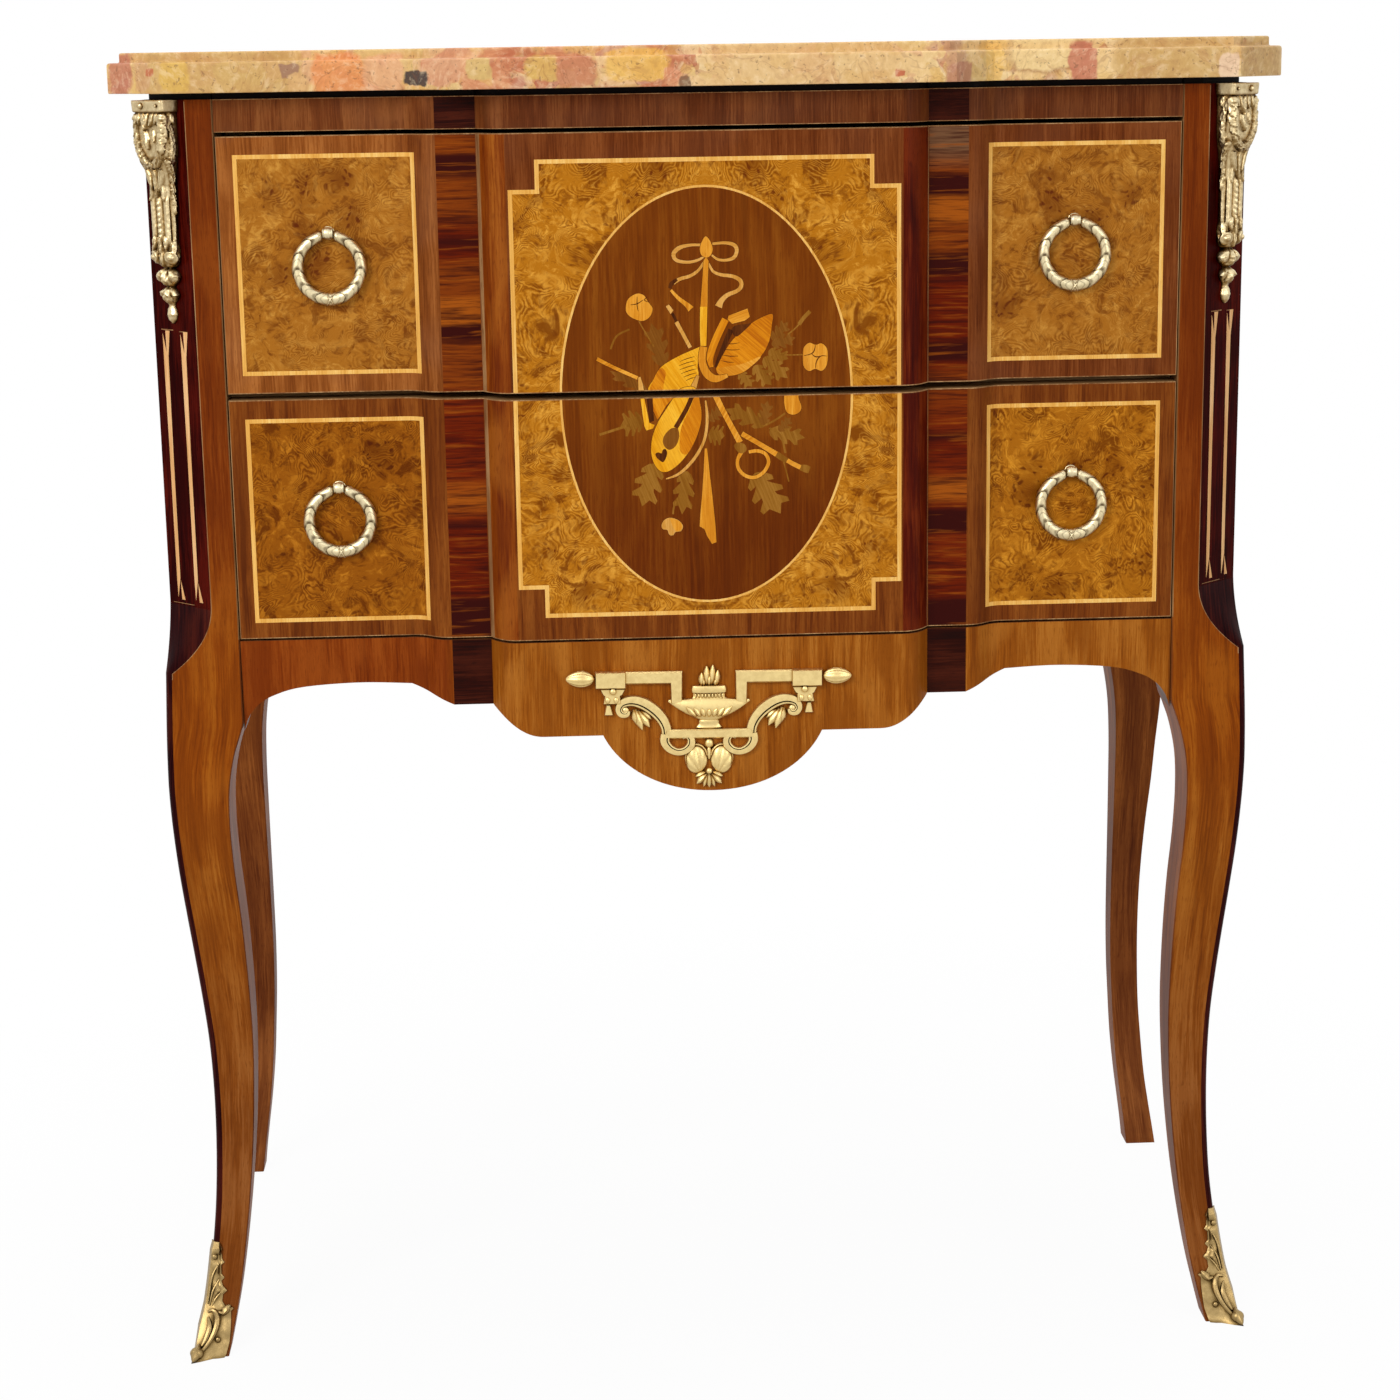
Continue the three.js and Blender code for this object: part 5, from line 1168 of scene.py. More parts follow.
def apron_outline():
    """Lower edge of the apron from the right end to the left end, with its straight top."""
    arch = [(1, 1.34), (0.975, 1.13), (0.93, 0.96), (0.86, 0.83), (0.72, 0.71), (0.45, 0.66), (0.2, 0.69)]
    rise, cusp, drop, shoulder = 44.0, 19.0, 38.0, 32.0
    half = 300.2
    right = smooth([(STRIP_EDGE + (half - STRIP_EDGE) * across, APRON_TOP - rise * down) for across,
                    down in arch], 28)
    flat_z = APRON_TOP - rise + 1.5
    shoulder_z = flat_z - cusp
    lobe_z = shoulder_z - drop
    right += [(STRIP_EDGE, flat_z), (NOSING_EDGE, flat_z)]
    right += bezier((NOSING_EDGE, flat_z), (NOSING_EDGE - shoulder * 0.42, flat_z - cusp * 0.6),
                    (NOSING_EDGE - shoulder * 0.62, shoulder_z), (NOSING_EDGE - shoulder, shoulder_z),
                    14)[1:]
    right += bezier((70.0, shoulder_z), (70 * 0.86, lobe_z + drop * 0.45), (35.0, lobe_z), (0.0, lobe_z), 20)
    left = [(-x, z) for x, z in right[:-1]][::-1]
    return [(-half, APRON_TOP), (half, APRON_TOP)] + right + left


def add_apron(m):
    outline = apron_outline()[::-1]
    low = min(z for _, z in outline) - 2
    layers = plain_front("apron", 3, low, APRON_TOP - 0.3, (1.0, 2.0), 299.9)

    def surface(x, z, lift):
        return place(x, 22.0, z) if lift < 0 else front_point(x, z, lift)

    veneer("front_apron_veneered", outline, layers, surface, m, FRONT_CUTS, 0.3, 1.0, "under",
           nodes=("front_apron",))


def add_fillet(m):
    """The black moulding under the marble, on the front rail's recess."""
    def surface(x, z, lift):
        return front_point(x, z, lift) + Vector((0, RECESS_DEPTH * MM, 0))

    outline = box_outline(-FRIEZE_HALF, FRIEZE_HALF, RECESS_Z + 0.1, CASE_TOP - 0.05)
    veneer("front_fillet", outline, [region(outline, "fillet")], surface, m, FRONT_CUTS, edge="fillet")


# Legs


def leg_section(z, flare_x, flare_y, width, arris):
    """The left front leg's section as outer x, outer y, width, inner y and arris."""
    outer_x, outer_y = -CASE_HALF - flare_x, -flare_y
    return z, outer_x, outer_y, width, outer_y + min(width, POST_WIDTH + flare_y), arris


def leg_sections(shares, cant, arris):
    """Sections of the left front post and leg from the floor up. The wide cant stops above the knee."""
    steps, stop_steps = 84, 26
    sections = [leg_section(z, -RECESS_DEPTH, -RECESS_DEPTH, POST_WIDTH - RECESS_DEPTH, cant)
                for z in (CASE_TOP, RECESS_Z)]
    sections += [leg_section(RECESS_Z - drop, 0, 0, POST_WIDTH, cant) for drop in (0.01, 1.0)]
    _, top_x, top_y, _ = shares[0]
    for step in range(stop_steps):
        share = 1 - step / stop_steps
        bevel = arris + (cant - arris) * (1 - (1 - share) ** STOP_POWER)
        flare_x, flare_y = (flare * POST_WIDTH * (1 - share) for flare in (top_x, top_y))
        sections.append(leg_section(KNEE_Z + STOP_HEIGHT * share, flare_x, flare_y, POST_WIDTH + flare_x,
                                    bevel))
    for height, flare_x, flare_y, inner in smooth(shares, steps):
        sections.append(leg_section(KNEE_Z * height, flare_x * POST_WIDTH, flare_y * POST_WIDTH,
                                    POST_WIDTH * (1 + flare_x - inner), arris))
    return sections[::-1]


# Sides of a leg's ring, starting at the inner front corner and going round by the inner side
LEG_SIDES = ("inner", "inner", "back", "back", "outer", "edge", "edge", "edge", "edge", "wear", "front")


def leg_ring(section, turn_y, side):
    z, outer_x, outer_y, width, inner_y, arris = section
    soft = 0.7
    right, left = outer_x + width, outer_x
    bulge = arris * ARRIS_BULGE * (1 - arris / POST_CANT)
    ring = [(right - soft, outer_y), (right, outer_y + soft), (right, inner_y - soft),
            (right - soft, inner_y),
            (left, inner_y), (left, outer_y + arris)]
    for share in (0.25, 0.5, 0.75):
        push = bulge * math.sin(math.pi * share)
        ring.append((left + arris * share - push, outer_y + arris * (1 - share) - push))
    ring += [(left + arris, outer_y), (left + arris + 0.5, outer_y)]
    return [place(x * side, CASE_DEPTH - y if turn_y else y, z) for x, y in ring]


# Woods of a leg's faces, and the heights where the post's dark veneer ends and where its arris is worn
LEG_WOODS = ("leg", "leg_side", "post_dark", "tongue_dark", "inside_post", "fillet", "worn")

POST_FOOT = 503.0

WORN_HEIGHTS = (457.0, 506.0)


def leg_wood(kind, z, dark_edge):
    """The wood of one face, from its side of the ring and its height."""
    if z >= RECESS_Z - 0.5:
        return "fillet"
    if kind == "wear" and dark_edge and WORN_HEIGHTS[0] < z < WORN_HEIGHTS[1]:
        return "worn"
    if kind == "edge" and dark_edge:
        return "post_dark" if z > POST_FOOT else "tongue_dark"
    if kind in ("inner", "back"):
        return "inside_post" if z > BARE_POST_Z else "leg_side"
    return "leg"


def make_leg(name, node, shares, cant, arris, turn_y, side, m, dark_edge):
    """A corner post and its cabriole leg. side is 1 for the left leg and -1 for the right one."""
    sections = leg_sections(shares, cant, arris)
    rings = [leg_ring(section, turn_y, side) for section in sections]
    count = len(LEG_SIDES)
    sides = list(LEG_SIDES)
    if (side < 0) != turn_y:
        rings = [ring[::-1] for ring in rings]
        sides = [sides[(count - 2 - k) % count] for k in range(count)]

    def slot(level, k):
        return LEG_WOODS.index(leg_wood(sides[k], sections[level][0], dark_edge))

    def uv(level, corner, k):
        point = rings[level][corner % count]
        z, outer_x, _, width = sections[level][:4]
        across = point.x / MM * side - (outer_x + width / 2)
        if sides[k] in ("inner", "outer"):
            across += point.y / MM
        return (across * MM + 0.31 * side, z * MM)

    skin = Skin()
    loft(skin, rings, True, uv, slot, LEG_WOODS.index("leg_side"))
    finish_piece(skin.make(name, [m[w] for w in LEG_WOODS], 30.0), "case", "veneered_wood", node)


def cant_point(side):
    """Maps across (from the middle of the cant, to the right as seen) and z to the canted face of a post."""
    middle = Vector((side * (CASE_HALF - POST_CANT / 2), POST_CANT / 2))
    right = Vector((1.0, side)).normalized()
    out = Vector((side, -1.0)).normalized()

    def surface(x, z, lift):
        return place(*(middle + right * x + out * lift), z)

    return surface


# One pale strip from the left of its foot: a forked top, a slanting foot and a wedge beside it
FLUTE = [(0.6, 508.0), (0.2, 520.0), (0.0, 600.0), (-0.5, 677.5), (2.7, 665.0), (2.5, 679.3), (6.7, 679.3),
         (4.2, 663.0), (3.6, 600.0), (3.5, 521.0)]
FLUTE_WEDGE = [(4.4, 507.0), (7.6, 507.0), (3.8, 519.5)]


# Fine lines above and below the flutes: left and right end, low and high edge, and wood
POST_LINES = ((-14.0, -2.0, 679.6, 680.2, "worn"), (4.0, 11.0, 679.0, 679.5, "worn"),
              (-20.0, 20.0, 503.6, 504.2, "post_dark"), (-17.0, 4.0, 504.4, 504.8, "worn"))

FLUTE_STARTS = {"left": (-12.4, 5.6), "right": (-12.8, 5.2)}


def add_flutes(m):
    """Pale strips let into the canted posts, with fine lines above and below them."""
    for side, word in ((-1, "left"), (1, "right")):
        for index, (*edges, wood) in enumerate(POST_LINES):
            outline = box_outline(*edges)
            veneer(f"{word}_post_line_{index + 1}", outline, [region(outline, wood)], cant_point(side), m,
                   (), 0.08,
                   0.12)
        for index, start in enumerate(FLUTE_STARTS[word]):
            for part, shape in (("flute", FLUTE), ("wedge", FLUTE_WEDGE)):
                outline = [(start + x, z) for x, z in shape]
                veneer(f"{word}_{part}_{index + 1}", outline, [region(outline, "flute")], cant_point(side),
                       m, (), 0.16,
                       0.2, "flute")


def add_legs(m):
    for side, word in ((1, "left"), (-1, "right")):
        make_leg(f"front_{word}_post_and_leg", f"front_{word}_leg", FRONT_LEG_SHARES, POST_CANT, FRONT_ARRIS,
                 False,
                 side, m, True)
        make_leg(f"rear_{word}_post_and_leg", f"rear_{word}_leg", REAR_LEG_SHARES, REAR_ARRIS, REAR_ARRIS,
                 True, side,
                 m, False)
    add_flutes(m)


# Case sides


# Side veneer: its two upright edges in depth, and its arched lower edge as distances in from them and down
SIDE_EDGES = (46.9, 269.1)

SIDE_ARCH = [(0.0, 48.3), (11.1, 37.8), (44.5, 29.9)]

SIDE_X = 345.5


def add_side_veneers(m):
    """A burr panel in a stringing line and a border on each side of the case."""
    y0, y1 = SIDE_EDGES
    low, high = APRON_TOP + 6.0, RECESS_Z - 0.1
    arch = [(y1 - into, APRON_TOP - down) for into, down in SIDE_ARCH] + [((y0 + y1) / 2, APRON_TOP - 26.4)]
    arch += [(y0 + into, APRON_TOP - down) for into, down in SIDE_ARCH[::-1]]
    outline = [(y0, high), (y1, high)] + smooth(arch, 30)
    for side, word in ((-1, "left"), (1, "right")):
        def surface(y, z, lift, side=side):
            return place(side * (SIDE_X + lift), y, z)

        layers = [region([(y0, high), (y1, high), (y1, low - 60), (y0, low - 60)], "border", 0.0,
                         4.0 + side),
                  region(box_outline(y0 + 26, y1 - 26, low, high - 22), "stringing"),
                  region(box_outline(y0 + 28.5, y1 - 28.5, low + 2.5, high - 24.5), "burl_upper", 0.0,
                         8.0 + side)]
        veneer(f"{word}_side_veneer", outline, layers, surface, m, lift=0.4, depth=0.45, flip=side < 0)


# Marble


def corner_directions(before, corner, after):
    """Unit directions from the corner back to the point before it and on to the point after it."""
    return (Vector(before) - Vector(corner)).normalized(), (Vector(after) - Vector(corner)).normalized()


def marble_plan(inset):
    side, front = MARBLE_SIDE, MARBLE_FRONT
    corners = [(side, MARBLE_BACK), (side, front + MARBLE_CANT), (side - MARBLE_CANT, front),
               (MARBLE_BREAK_X + MARBLE_BREAK_SLOPE, front), (MARBLE_BREAK_X, front - BREAK_FORWARD)]
    outline = corners + [(-x, y) for x, y in corners][::-1]
    out = []
    for index, corner in enumerate(outline):
        back, away = corner_directions(outline[index - 1], corner, outline[(index + 1) % len(outline)])
        normal_in, normal_out = Vector((-back.y, back.x)), Vector((away.y, -away.x))
        middle = (normal_in + normal_out).normalized()
        out.append(Vector(corner) + middle * (inset / middle.dot(normal_in)))
    return out


# The marble's edge from below, as heights and insets, and the radius at each of its inner points
MARBLE_EDGE = [(MARBLE_BASE, 3.0), (MARBLE_BASE, 0.0), (MARBLE_TIER, 0.0), (MARBLE_TIER, MARBLE_TIER_INSET),
               (MARBLE_HEIGHT, MARBLE_TIER_INSET), (MARBLE_HEIGHT, MARBLE_TIER_INSET + 4.0)]

MARBLE_RADII = (1.0, 2.2, 1.4, 1.6)

MARBLE_STEP = 9.0


def add_marble(m):
    """The slab with its stepped edge, softened at every arris."""
    base = marble_plan(0.0)
    counts = [max(1, int((b - a).length / MARBLE_STEP)) for a, b in zip(base, base[1:] + base[:1])]
    rings = []
    for z, inset in rounded_profile(MARBLE_EDGE, MARBLE_RADII):
        plan = marble_plan(inset)
        ring = []
        for a, b, count in zip(plan, plan[1:] + plan[:1], counts):
            ring += [place(*(a + (b - a) * (k / count)), z) for k in range(count)]
        rings.append(ring[::-1])
    skin = Skin()
    loft(skin, rings)
    finish_piece(skin.make("marble_slab", [m["marble"]], 30.0), "case", "breccia_marble", "marble_top")


def rounded_profile(points, radii):
    """The profile with each inner corner turned into a small round."""
    out = [points[0]]
    for a, b, c, radius in zip(points, points[1:], points[2:], radii):
        before, after = corner_directions(a, b, c)
        start, end = Vector(b) + before * radius, Vector(b) + after * radius
        for step in range(5):
            t = step / 4
            out.append(tuple(start * (1 - t) ** 2 + Vector(b) * (2 * t * (1 - t)) + end * t * t))
    return out + [points[-1]]


# Gilt mounts


PULLS = [("upper_drawer", 739.5), ("lower_drawer", 580.6)]
PULL_X = 232.75
PULL_SET_OFF = 4.3
RING_RADIUS = 19.5
PIN_RADIUS = 21.1


RING_THICKNESS = 3.3
RING_NECK = 1.8

RING_LEAVES = 6.0
LEAF_SLANT = 1.25


def cast(skin, name, material, sharp, body, node):
    finish_piece(skin.make(name, [material], sharp, True), body, "gilt_bronze", node)


def add_ring(name, node, x, z, m):
    """A laurel wreath of overlapping leaves, tied at the foot, with a thin top for the eye."""
    centre = place(x, -PULL_SET_OFF, z - PIN_RADIUS)
    steps, sides = 168, 18
    rings = []
    for step in range(steps + 1):
        angle = -math.pi + 2 * math.pi * step / steps
        away = abs(angle)
        neck = min(1.0, max(0.0, (away - 0.15) / 0.09))
        size = RING_NECK + (RING_THICKNESS - RING_NECK) * neck
        wide = 1.0 + 0.16 * neck * away / math.pi
        tie = math.exp(-((math.pi - away) / 0.055) ** 2)
        reach = RING_RADIUS + 1.6 * max(0.0, 1 - away / 0.6) ** 2
        radial = Vector((math.sin(angle), 0, math.cos(angle)))
        middle = centre + radial * reach * MM
        ring = []
        for turned in turns(sides):
            spread = abs((turned / math.pi + 0.5) % 2.0 - 1.0)
            phase = ((1 - away / math.pi) * RING_LEAVES + spread * LEAF_SLANT) % 1.0
            relief = neck * (0.62 * min(phase / 0.14,
                                        1.0) * (1 - 0.55 * phase) - 0.34) * (1 - tie) + 0.2 * tie
            radius = (size + relief) * MM
            ring.append(middle + radial * (math.cos(turned) * radius * wide)
                        - Vector((0, math.sin(turned) * radius, 0)))
        rings.append(ring)

    def uv(level, corner, side):
        away = abs(-1 + 2 * level / steps)
        return ((1 - away) * RING_LEAVES, abs((2 * corner / sides + 0.5) % 2.0 - 1.0))

    skin = Skin()
    loft(skin, rings, False, uv)
    for tilt in (-0.55, 0.55):
        path = [centre + Vector((math.sin(tilt) * s * 4.0, -3.6 * math.sqrt(1 - (s * 0.95) ** 2),
                                 math.cos(tilt) * s * 4.0 - RING_RADIUS)) * MM
                                 for s in np.linspace(-1, 1, 9)]
        tube(skin, path, 0.6 * MM, 6)
    finish_piece(skin.make(name, [m["ring_gilt"]], 60.0), node, "gilt_bronze", node)


def disc(centre, reach, depth, sides=24):
    """A ring of points round the depth axis, in millimetres from a centre in the frame."""
    return [centre + Vector((math.cos(a) * reach, depth, math.sin(a) * reach)) * MM for a in turns(sides)]


def add_pull_post(name, body, node, x, z, m):
    """The post's bead with its collar, the eye through it and the plain stem."""
    skin = Skin()
    barrel = []
    for share in np.linspace(-1, 1, 11):
        reach = 3.3 + 0.5 * math.sqrt(max(0.0, 1 - share * share)) - (0.35 if 0.6 < abs(share) < 0.9
                                                                      else 0.0)
        middle = place(x + 3.0 * share, -PULL_SET_OFF, z)
        barrel.append([middle + Vector((0, math.cos(a), math.sin(a))) * reach * MM for a in turns(24)])
    loft(skin, barrel)
    for offset, radius in ((2.6, 4.1), (3.6, 3.4)):
        centre = place(x, -PULL_SET_OFF + offset, z)
        steps = ((0.0, radius - 0.4), (0.25, radius), (0.7, radius))
        loft(skin, [disc(centre, reach, depth) for depth, reach in steps])
    loft(skin, [disc(place(x, y, z), 2.5, 0, 16) for y in (0.0, 25.9)])
    cast(skin, name, m["bead_gilt"], 40.0, body, node)


def add_pulls(m):
    for body, z in PULLS:
        for word, x in (("left", -PULL_X), ("right", PULL_X)):
            pull = f"{body}_{word}"
            add_ring(pull + "_laurel_ring", pull + "_ring", x, z, m)
            add_pull_post(pull + "_bead", body, pull + "_pull_post", x, z, m)


class Local:
    """A small set of axes on the case: across, up, and out of the wood, with lengths in millimetres."""

    def __init__(self, origin, across, out):
        self.origin = origin
        self.across = Vector(across).normalized()
        self.out = Vector(out).normalized()
        self.up = self.out.cross(self.across).normalized()
        if self.up.z < 0:
            self.up.negate()

    def at(self, x, z, out=0.0):
        return self.origin + (self.across * x + self.up * z + self.out * out) * MM

    def leaf(self, skin, start, end, width, thickness, *options):
        leaf(skin, self.at(*start), self.at(*end), self.out, width, thickness, *options)


def extrude_outline(skin, local, outline, thickness, bevel):
    """A flat cast piece with a bevelled edge, standing out of the wood."""
    if signed_area(outline) < 0:
        outline = outline[::-1]
    inner = grown(outline, -bevel)
    handed = local.across.cross(local.up).dot(local.out)
    rings = [[local.at(x, z, 0.0) for x, z in outline],
             [local.at(x, z, thickness - bevel) for x, z in outline],
             [local.at(x, z, thickness) for x, z in inner]]
    if handed < 0:
        rings = [ring[::-1] for ring in rings]
        inner = inner[::-1]
    count = len(outline)
    faces = []
    for low in (0, count):
        for k in range(count):
            far = low + (k + 1) % count
            faces.append([low + k, far, far + count, low + k + count])
    flat = [Vector((x, z, 0.0)) for x, z in inner]
    for a, b, c in geometry.tessellate_polygon([flat]):
        normal = (flat[b] - flat[a]).cross(flat[c] - flat[a]).z
        order = (a, b, c) if (normal > 0) == (handed > 0) else (a, c, b)
        faces.append([2 * count + k for k in order])
    faces.append(list(range(count - 1, -1, -1)))
    skin.add([p for ring in rings for p in ring], faces)


# Heights across a cast band and a rib, from edge to edge. The band has a line cut near its inner edge
BAND_PROFILE = [(-1.0, 0.0), (-1.0, 0.66), (-0.84, 0.96), (-0.56, 1.0), (-0.44, 0.62), (-0.32, 0.98),
                (0.4, 1.0),
                (0.84, 0.94), (1.0, 0.66), (1.0, 0.0)]
RIB_PROFILE = [(-1.0, 0.0), (-0.8, 0.55), (-0.4, 0.9), (0.0, 1.0), (0.4, 0.9), (0.8, 0.55), (1.0, 0.0)]


def band(skin, local, points, widths, height, profile, steps):
    """A cast strip along a smooth path in the mount's plane, with a moulded section."""
    path = smooth(points, steps)
    rings = []
    for (x, z), (nx, nz), (width,) in zip(path, directions_across(path),
                                          smooth([(w,) for w in widths], steps)):
        half = width / 2
        rings.append([local.at(x + nx * half * across, z + nz * half * across, height * rise + 0.01)
                      for across, rise in profile])
    loft(skin, rings)


# Flat parts of an arm: thickness, bevel and outline
ARM_PLATES = (
    (3.8, 0.9, ((16.8, 55.6), (16.8, 76.6), (53.6, 76.6), (53.6, 68.6), (24.4, 68.6), (24.4, 55.6))),
    (5.0, 1.0, ((52.8, 65.8), (52.8, 76.8), (72.2, 76.8), (72.2, 65.8))),
    (3.8, 0.8,
     ((53.4, 66.0), (68.8, 66.0), (67.6, 61.6), (66.6, 61.2), (67.2, 55.6), (56.2, 55.6), (56.0, 61.2),
                (54.8, 61.6))),
    (2.8, 0.6, ((62.6, 55.2), (65.4, 55.2), (66.6, 48.4), (61.0, 48.4))),
)

APRON_MOUNT_AT = (-2.9, 385.9)

APRON_MOUNT_TILT = math.radians(0.6)


def add_apron_mount(m):
    """Urn between two stepped arms with acorn ends, on scrolls that meet over a shell."""
    x, z = APRON_MOUNT_AT
    local = Local(place(x, -BREAK_FORWARD - 0.35, z),
                  (math.cos(APRON_MOUNT_TILT), 0, -math.sin(APRON_MOUNT_TILT)),
                  (0, -1, 0))
    skin = Skin()
    for side in (-1, 1):
        for thickness, bevel, outline in ARM_PLATES:
            extrude_outline(skin, local, [(side * x, z) for x, z in outline], thickness, bevel)
        for x in (59.0, 64.4):
            blob(skin, local.at(side * x, 58.4, 3.4), 1.7, 1.2, 2.2)
        blob(skin, local.at(side * 61.0, 64.2, 4.2), 2.1, 1.4, 2.1)
        acorn(skin, local, side)
        scroll(skin, local, side)
    urn(skin, local)
    shell(skin, local)
    cast(skin, "apron_mount_urn_and_scrolls", m["gilt"], 42.0, "case", "apron_mount")


def acorn(skin, local, side):
    """The reeded end of an arm, lying along it."""
    rings = []
    for share in np.linspace(0.02, 0.98, 22):
        swell = math.sin(math.pi * share ** 0.9) ** 0.6
        ring = []
        for turned in turns(40):
            reach = swell * (1 - 0.1 * (0.5 + 0.5 * math.cos(turned * 10)) ** 3)
            ring.append(local.at(side * (72.6 + 18.4 * share), 72.4 + 5.3 * reach * math.cos(turned),
                                 3.2 + 3.6 * reach * math.sin(turned)))
        rings.append(ring)
    loft(skin, rings)


# Paths of a scroll and of the lobe below it, each with its widths, and the leaves that hang from it
SCROLL_TOP = [(27.0, 35.0), (27.6, 40.4), (30.6, 46.4), (36.0, 52.0), (42.8, 56.2), (49.4, 57.6),
              (55.2, 56.0),
              (57.4, 52.2), (55.8, 49.0), (52.4, 48.8), (51.2, 51.2)]
SCROLL_LOBE = [(27.8, 35.6), (28.2, 30.8), (25.4, 26.4), (20.4, 24.0), (15.4, 24.8), (11.8, 28.2),
               (11.6, 32.4),
               (14.2, 34.8), (17.2, 33.4)]


SCROLL_BANDS = ((SCROLL_TOP, (6.8, 7.0, 7.6, 8.0, 7.8, 7.0, 5.8, 4.8, 4.4, 3.6, 2.4), 3.4),
                (SCROLL_LOBE, (6.6, 6.6, 6.0, 5.2, 5.2, 5.6, 5.2, 4.2, 2.6), 3.6))

SCROLL_LEAVES = ((47, 52, 42.6, 38.6, 6.6), (45, 51, 38.0, 40.4, 6.4), (48, 52, 46.4, 42.6, 5.4),
                 (43, 51, 36.6, 45.4, 5.0))


def scroll(skin, local, side):
    """A broad scroll from the bridge up to its curl, the eyed lobe below it and its hanging leaf."""
    profile = [(across * side, rise) for across, rise in BAND_PROFILE]
    for points, widths, height in SCROLL_BANDS:
        band(skin, local, [(side * x, z) for x, z in points], widths, height, profile, 60)
    blob(skin, local.at(side * 53.2, 51.6, 2.0), 2.4, 1.6, 2.4)
    for ax, az, bx, bz, wide in SCROLL_LEAVES:
        local.leaf(skin, (side * ax, az, 0.8), (side * bx, bz, 1.0), wide, 1.9, 0.05, 3)


# The urn from its foot: half width, height and how far it stands out
URN_ROWS = [(7.6, 38.6, 2.6), (8.2, 39.8, 3.4), (7.2, 41.0, 3.0), (6.2, 42.4, 3.2), (6.6, 43.8, 3.6),
            (6.0, 44.6, 3.2),
            (9.8, 46.4, 4.0), (15.4, 49.2, 5.0), (20.4, 52.4, 5.4), (24.0, 55.2, 5.2), (26.0, 56.6, 4.4),
            (25.6, 57.8, 4.0), (12.0, 58.4, 3.6), (10.2, 59.2, 3.2), (10.0, 62.0, 3.2), (10.8, 62.6, 4.4),
            (11.0, 64.6, 4.9), (10.4, 66.8, 4.4), (6.0, 67.4, 2.6)]

# Leaves above it: foot, tip and width
URN_LEAVES = ((-4.4, -4.6, 75.2, 4.6), (-1.4, -1.4, 79.6, 5.0), (1.6, 2.6, 80.2, 5.0), (4.4, 5.8, 76.8, 4.6),
              (0.0, 0.4, 73.4, 4.6), (-3.2, -3.6, 71.6, 4.0), (4.0, 4.2, 71.4, 4.0))


def urn(skin, local):
    section(skin, local, URN_ROWS, 18)
    for x in np.linspace(-8.6, 8.6, 9):
        blob(skin, local.at(x, 60.6, 3.6 - abs(x) * 0.1), 0.75, 1.0, 1.6)
    for k in range(-3, 4):
        x = k * 4.4
        local.leaf(skin, (x * 0.6, 47.2, 4.0), (x * 1.1, 52.2 + abs(k) * 0.5, 5.4 - abs(k) * 0.25), 3.6, 1.1)
    for foot, x, z, wide in URN_LEAVES:
        local.leaf(skin, (foot, 66.4, 1.0), (x, z, 1.6), wide, 1.9)
    extrude_outline(skin, local, [(-28.4, 32.6), (28.4, 32.6), (27.0, 38.6), (-27.0, 38.6)], 3.6, 0.8)


# Small leaves below the shells: start, end, width and thickness
SHELL_LEAVES = (((1.6, 9.0), (8.0, 2.6), 5.0, 2.0), ((2.4, 10.0), (8.8, 7.2), 4.0, 1.8),
                ((0.8, 9.0), (3.6, 0.6), 4.0, 2.0))
SHELL_X = 8.1
SHELL_Z = 18.4


def shell(skin, local):
    """Palmette at the foot: two rounded ribbed shells, a bud above them and a small leaf below."""
    blob(skin, local.at(0, 29.4, 1.8), 2.9, 2.6, 3.2)
    blob(skin, local.at(0, 23.0, 1.0), 1.6, 1.8, 5.0)
    for side in (-1, 1):
        rings = []
        for lift, share in [(0.0, 1.0)] + [(0.4, share) for share in np.linspace(1.0, 0.04, 12)]:
            ring = []
            for turned in turns(72):
                x, z = 7.4 * share * math.sin(turned), 9.6 * share * math.cos(turned)
                fan = math.atan2(x + 3.4, z + 9.6)
                dome = 3.6 * math.sqrt(max(0.0, 1 - share * share)) * (0.84 + 0.2 * abs(math.cos(fan * 7.5)))
                ring.append(local.at(side * (SHELL_X + x), SHELL_Z + z, dome + lift))
            rings.append(ring)
        loft(skin, rings)
        rim_path = [(side * (SHELL_X - 7.0 * math.cos(t)), SHELL_Z + 1.0 + 9.0 * math.sin(t))
                    for t in np.linspace(0.2, 3.6, 9)]
        band(skin, local, rim_path, (2.0, 2.2, 2.2, 2.2, 2.2, 2.2, 2.0, 1.6, 1.0), 2.6, RIB_PROFILE, 30)
        for (ax, az), (bx, bz), width, thickness in SHELL_LEAVES:
            local.leaf(skin, (side * ax, az, 1.0), (side * bx, bz, 1.0), width, thickness)
    local.leaf(skin, (0, 10.0, 1.4), (0, 0.2, 1.2), 4.6, 2.2)
    blob(skin, local.at(0, 11.0, 2.6), 2.0, 1.5, 2.0)


CHUTE_SET_OFF = 0.3


def add_chutes(m):
    for side, word in ((-1, "left"), (1, "right")):
        local = Local(place(side * (CASE_HALF - POST_CANT / 2), POST_CANT / 2, RECESS_Z), (1, side, 0),
                      (side, -1, 0))
        local.origin = local.at(0, 0, CHUTE_SET_OFF)
        skin = Skin()
        chute(skin, local)
        cast(skin, f"{word}_corner_mount_husks", m["chute_gilt"], 50.0, "case", f"{word}_corner_mount")


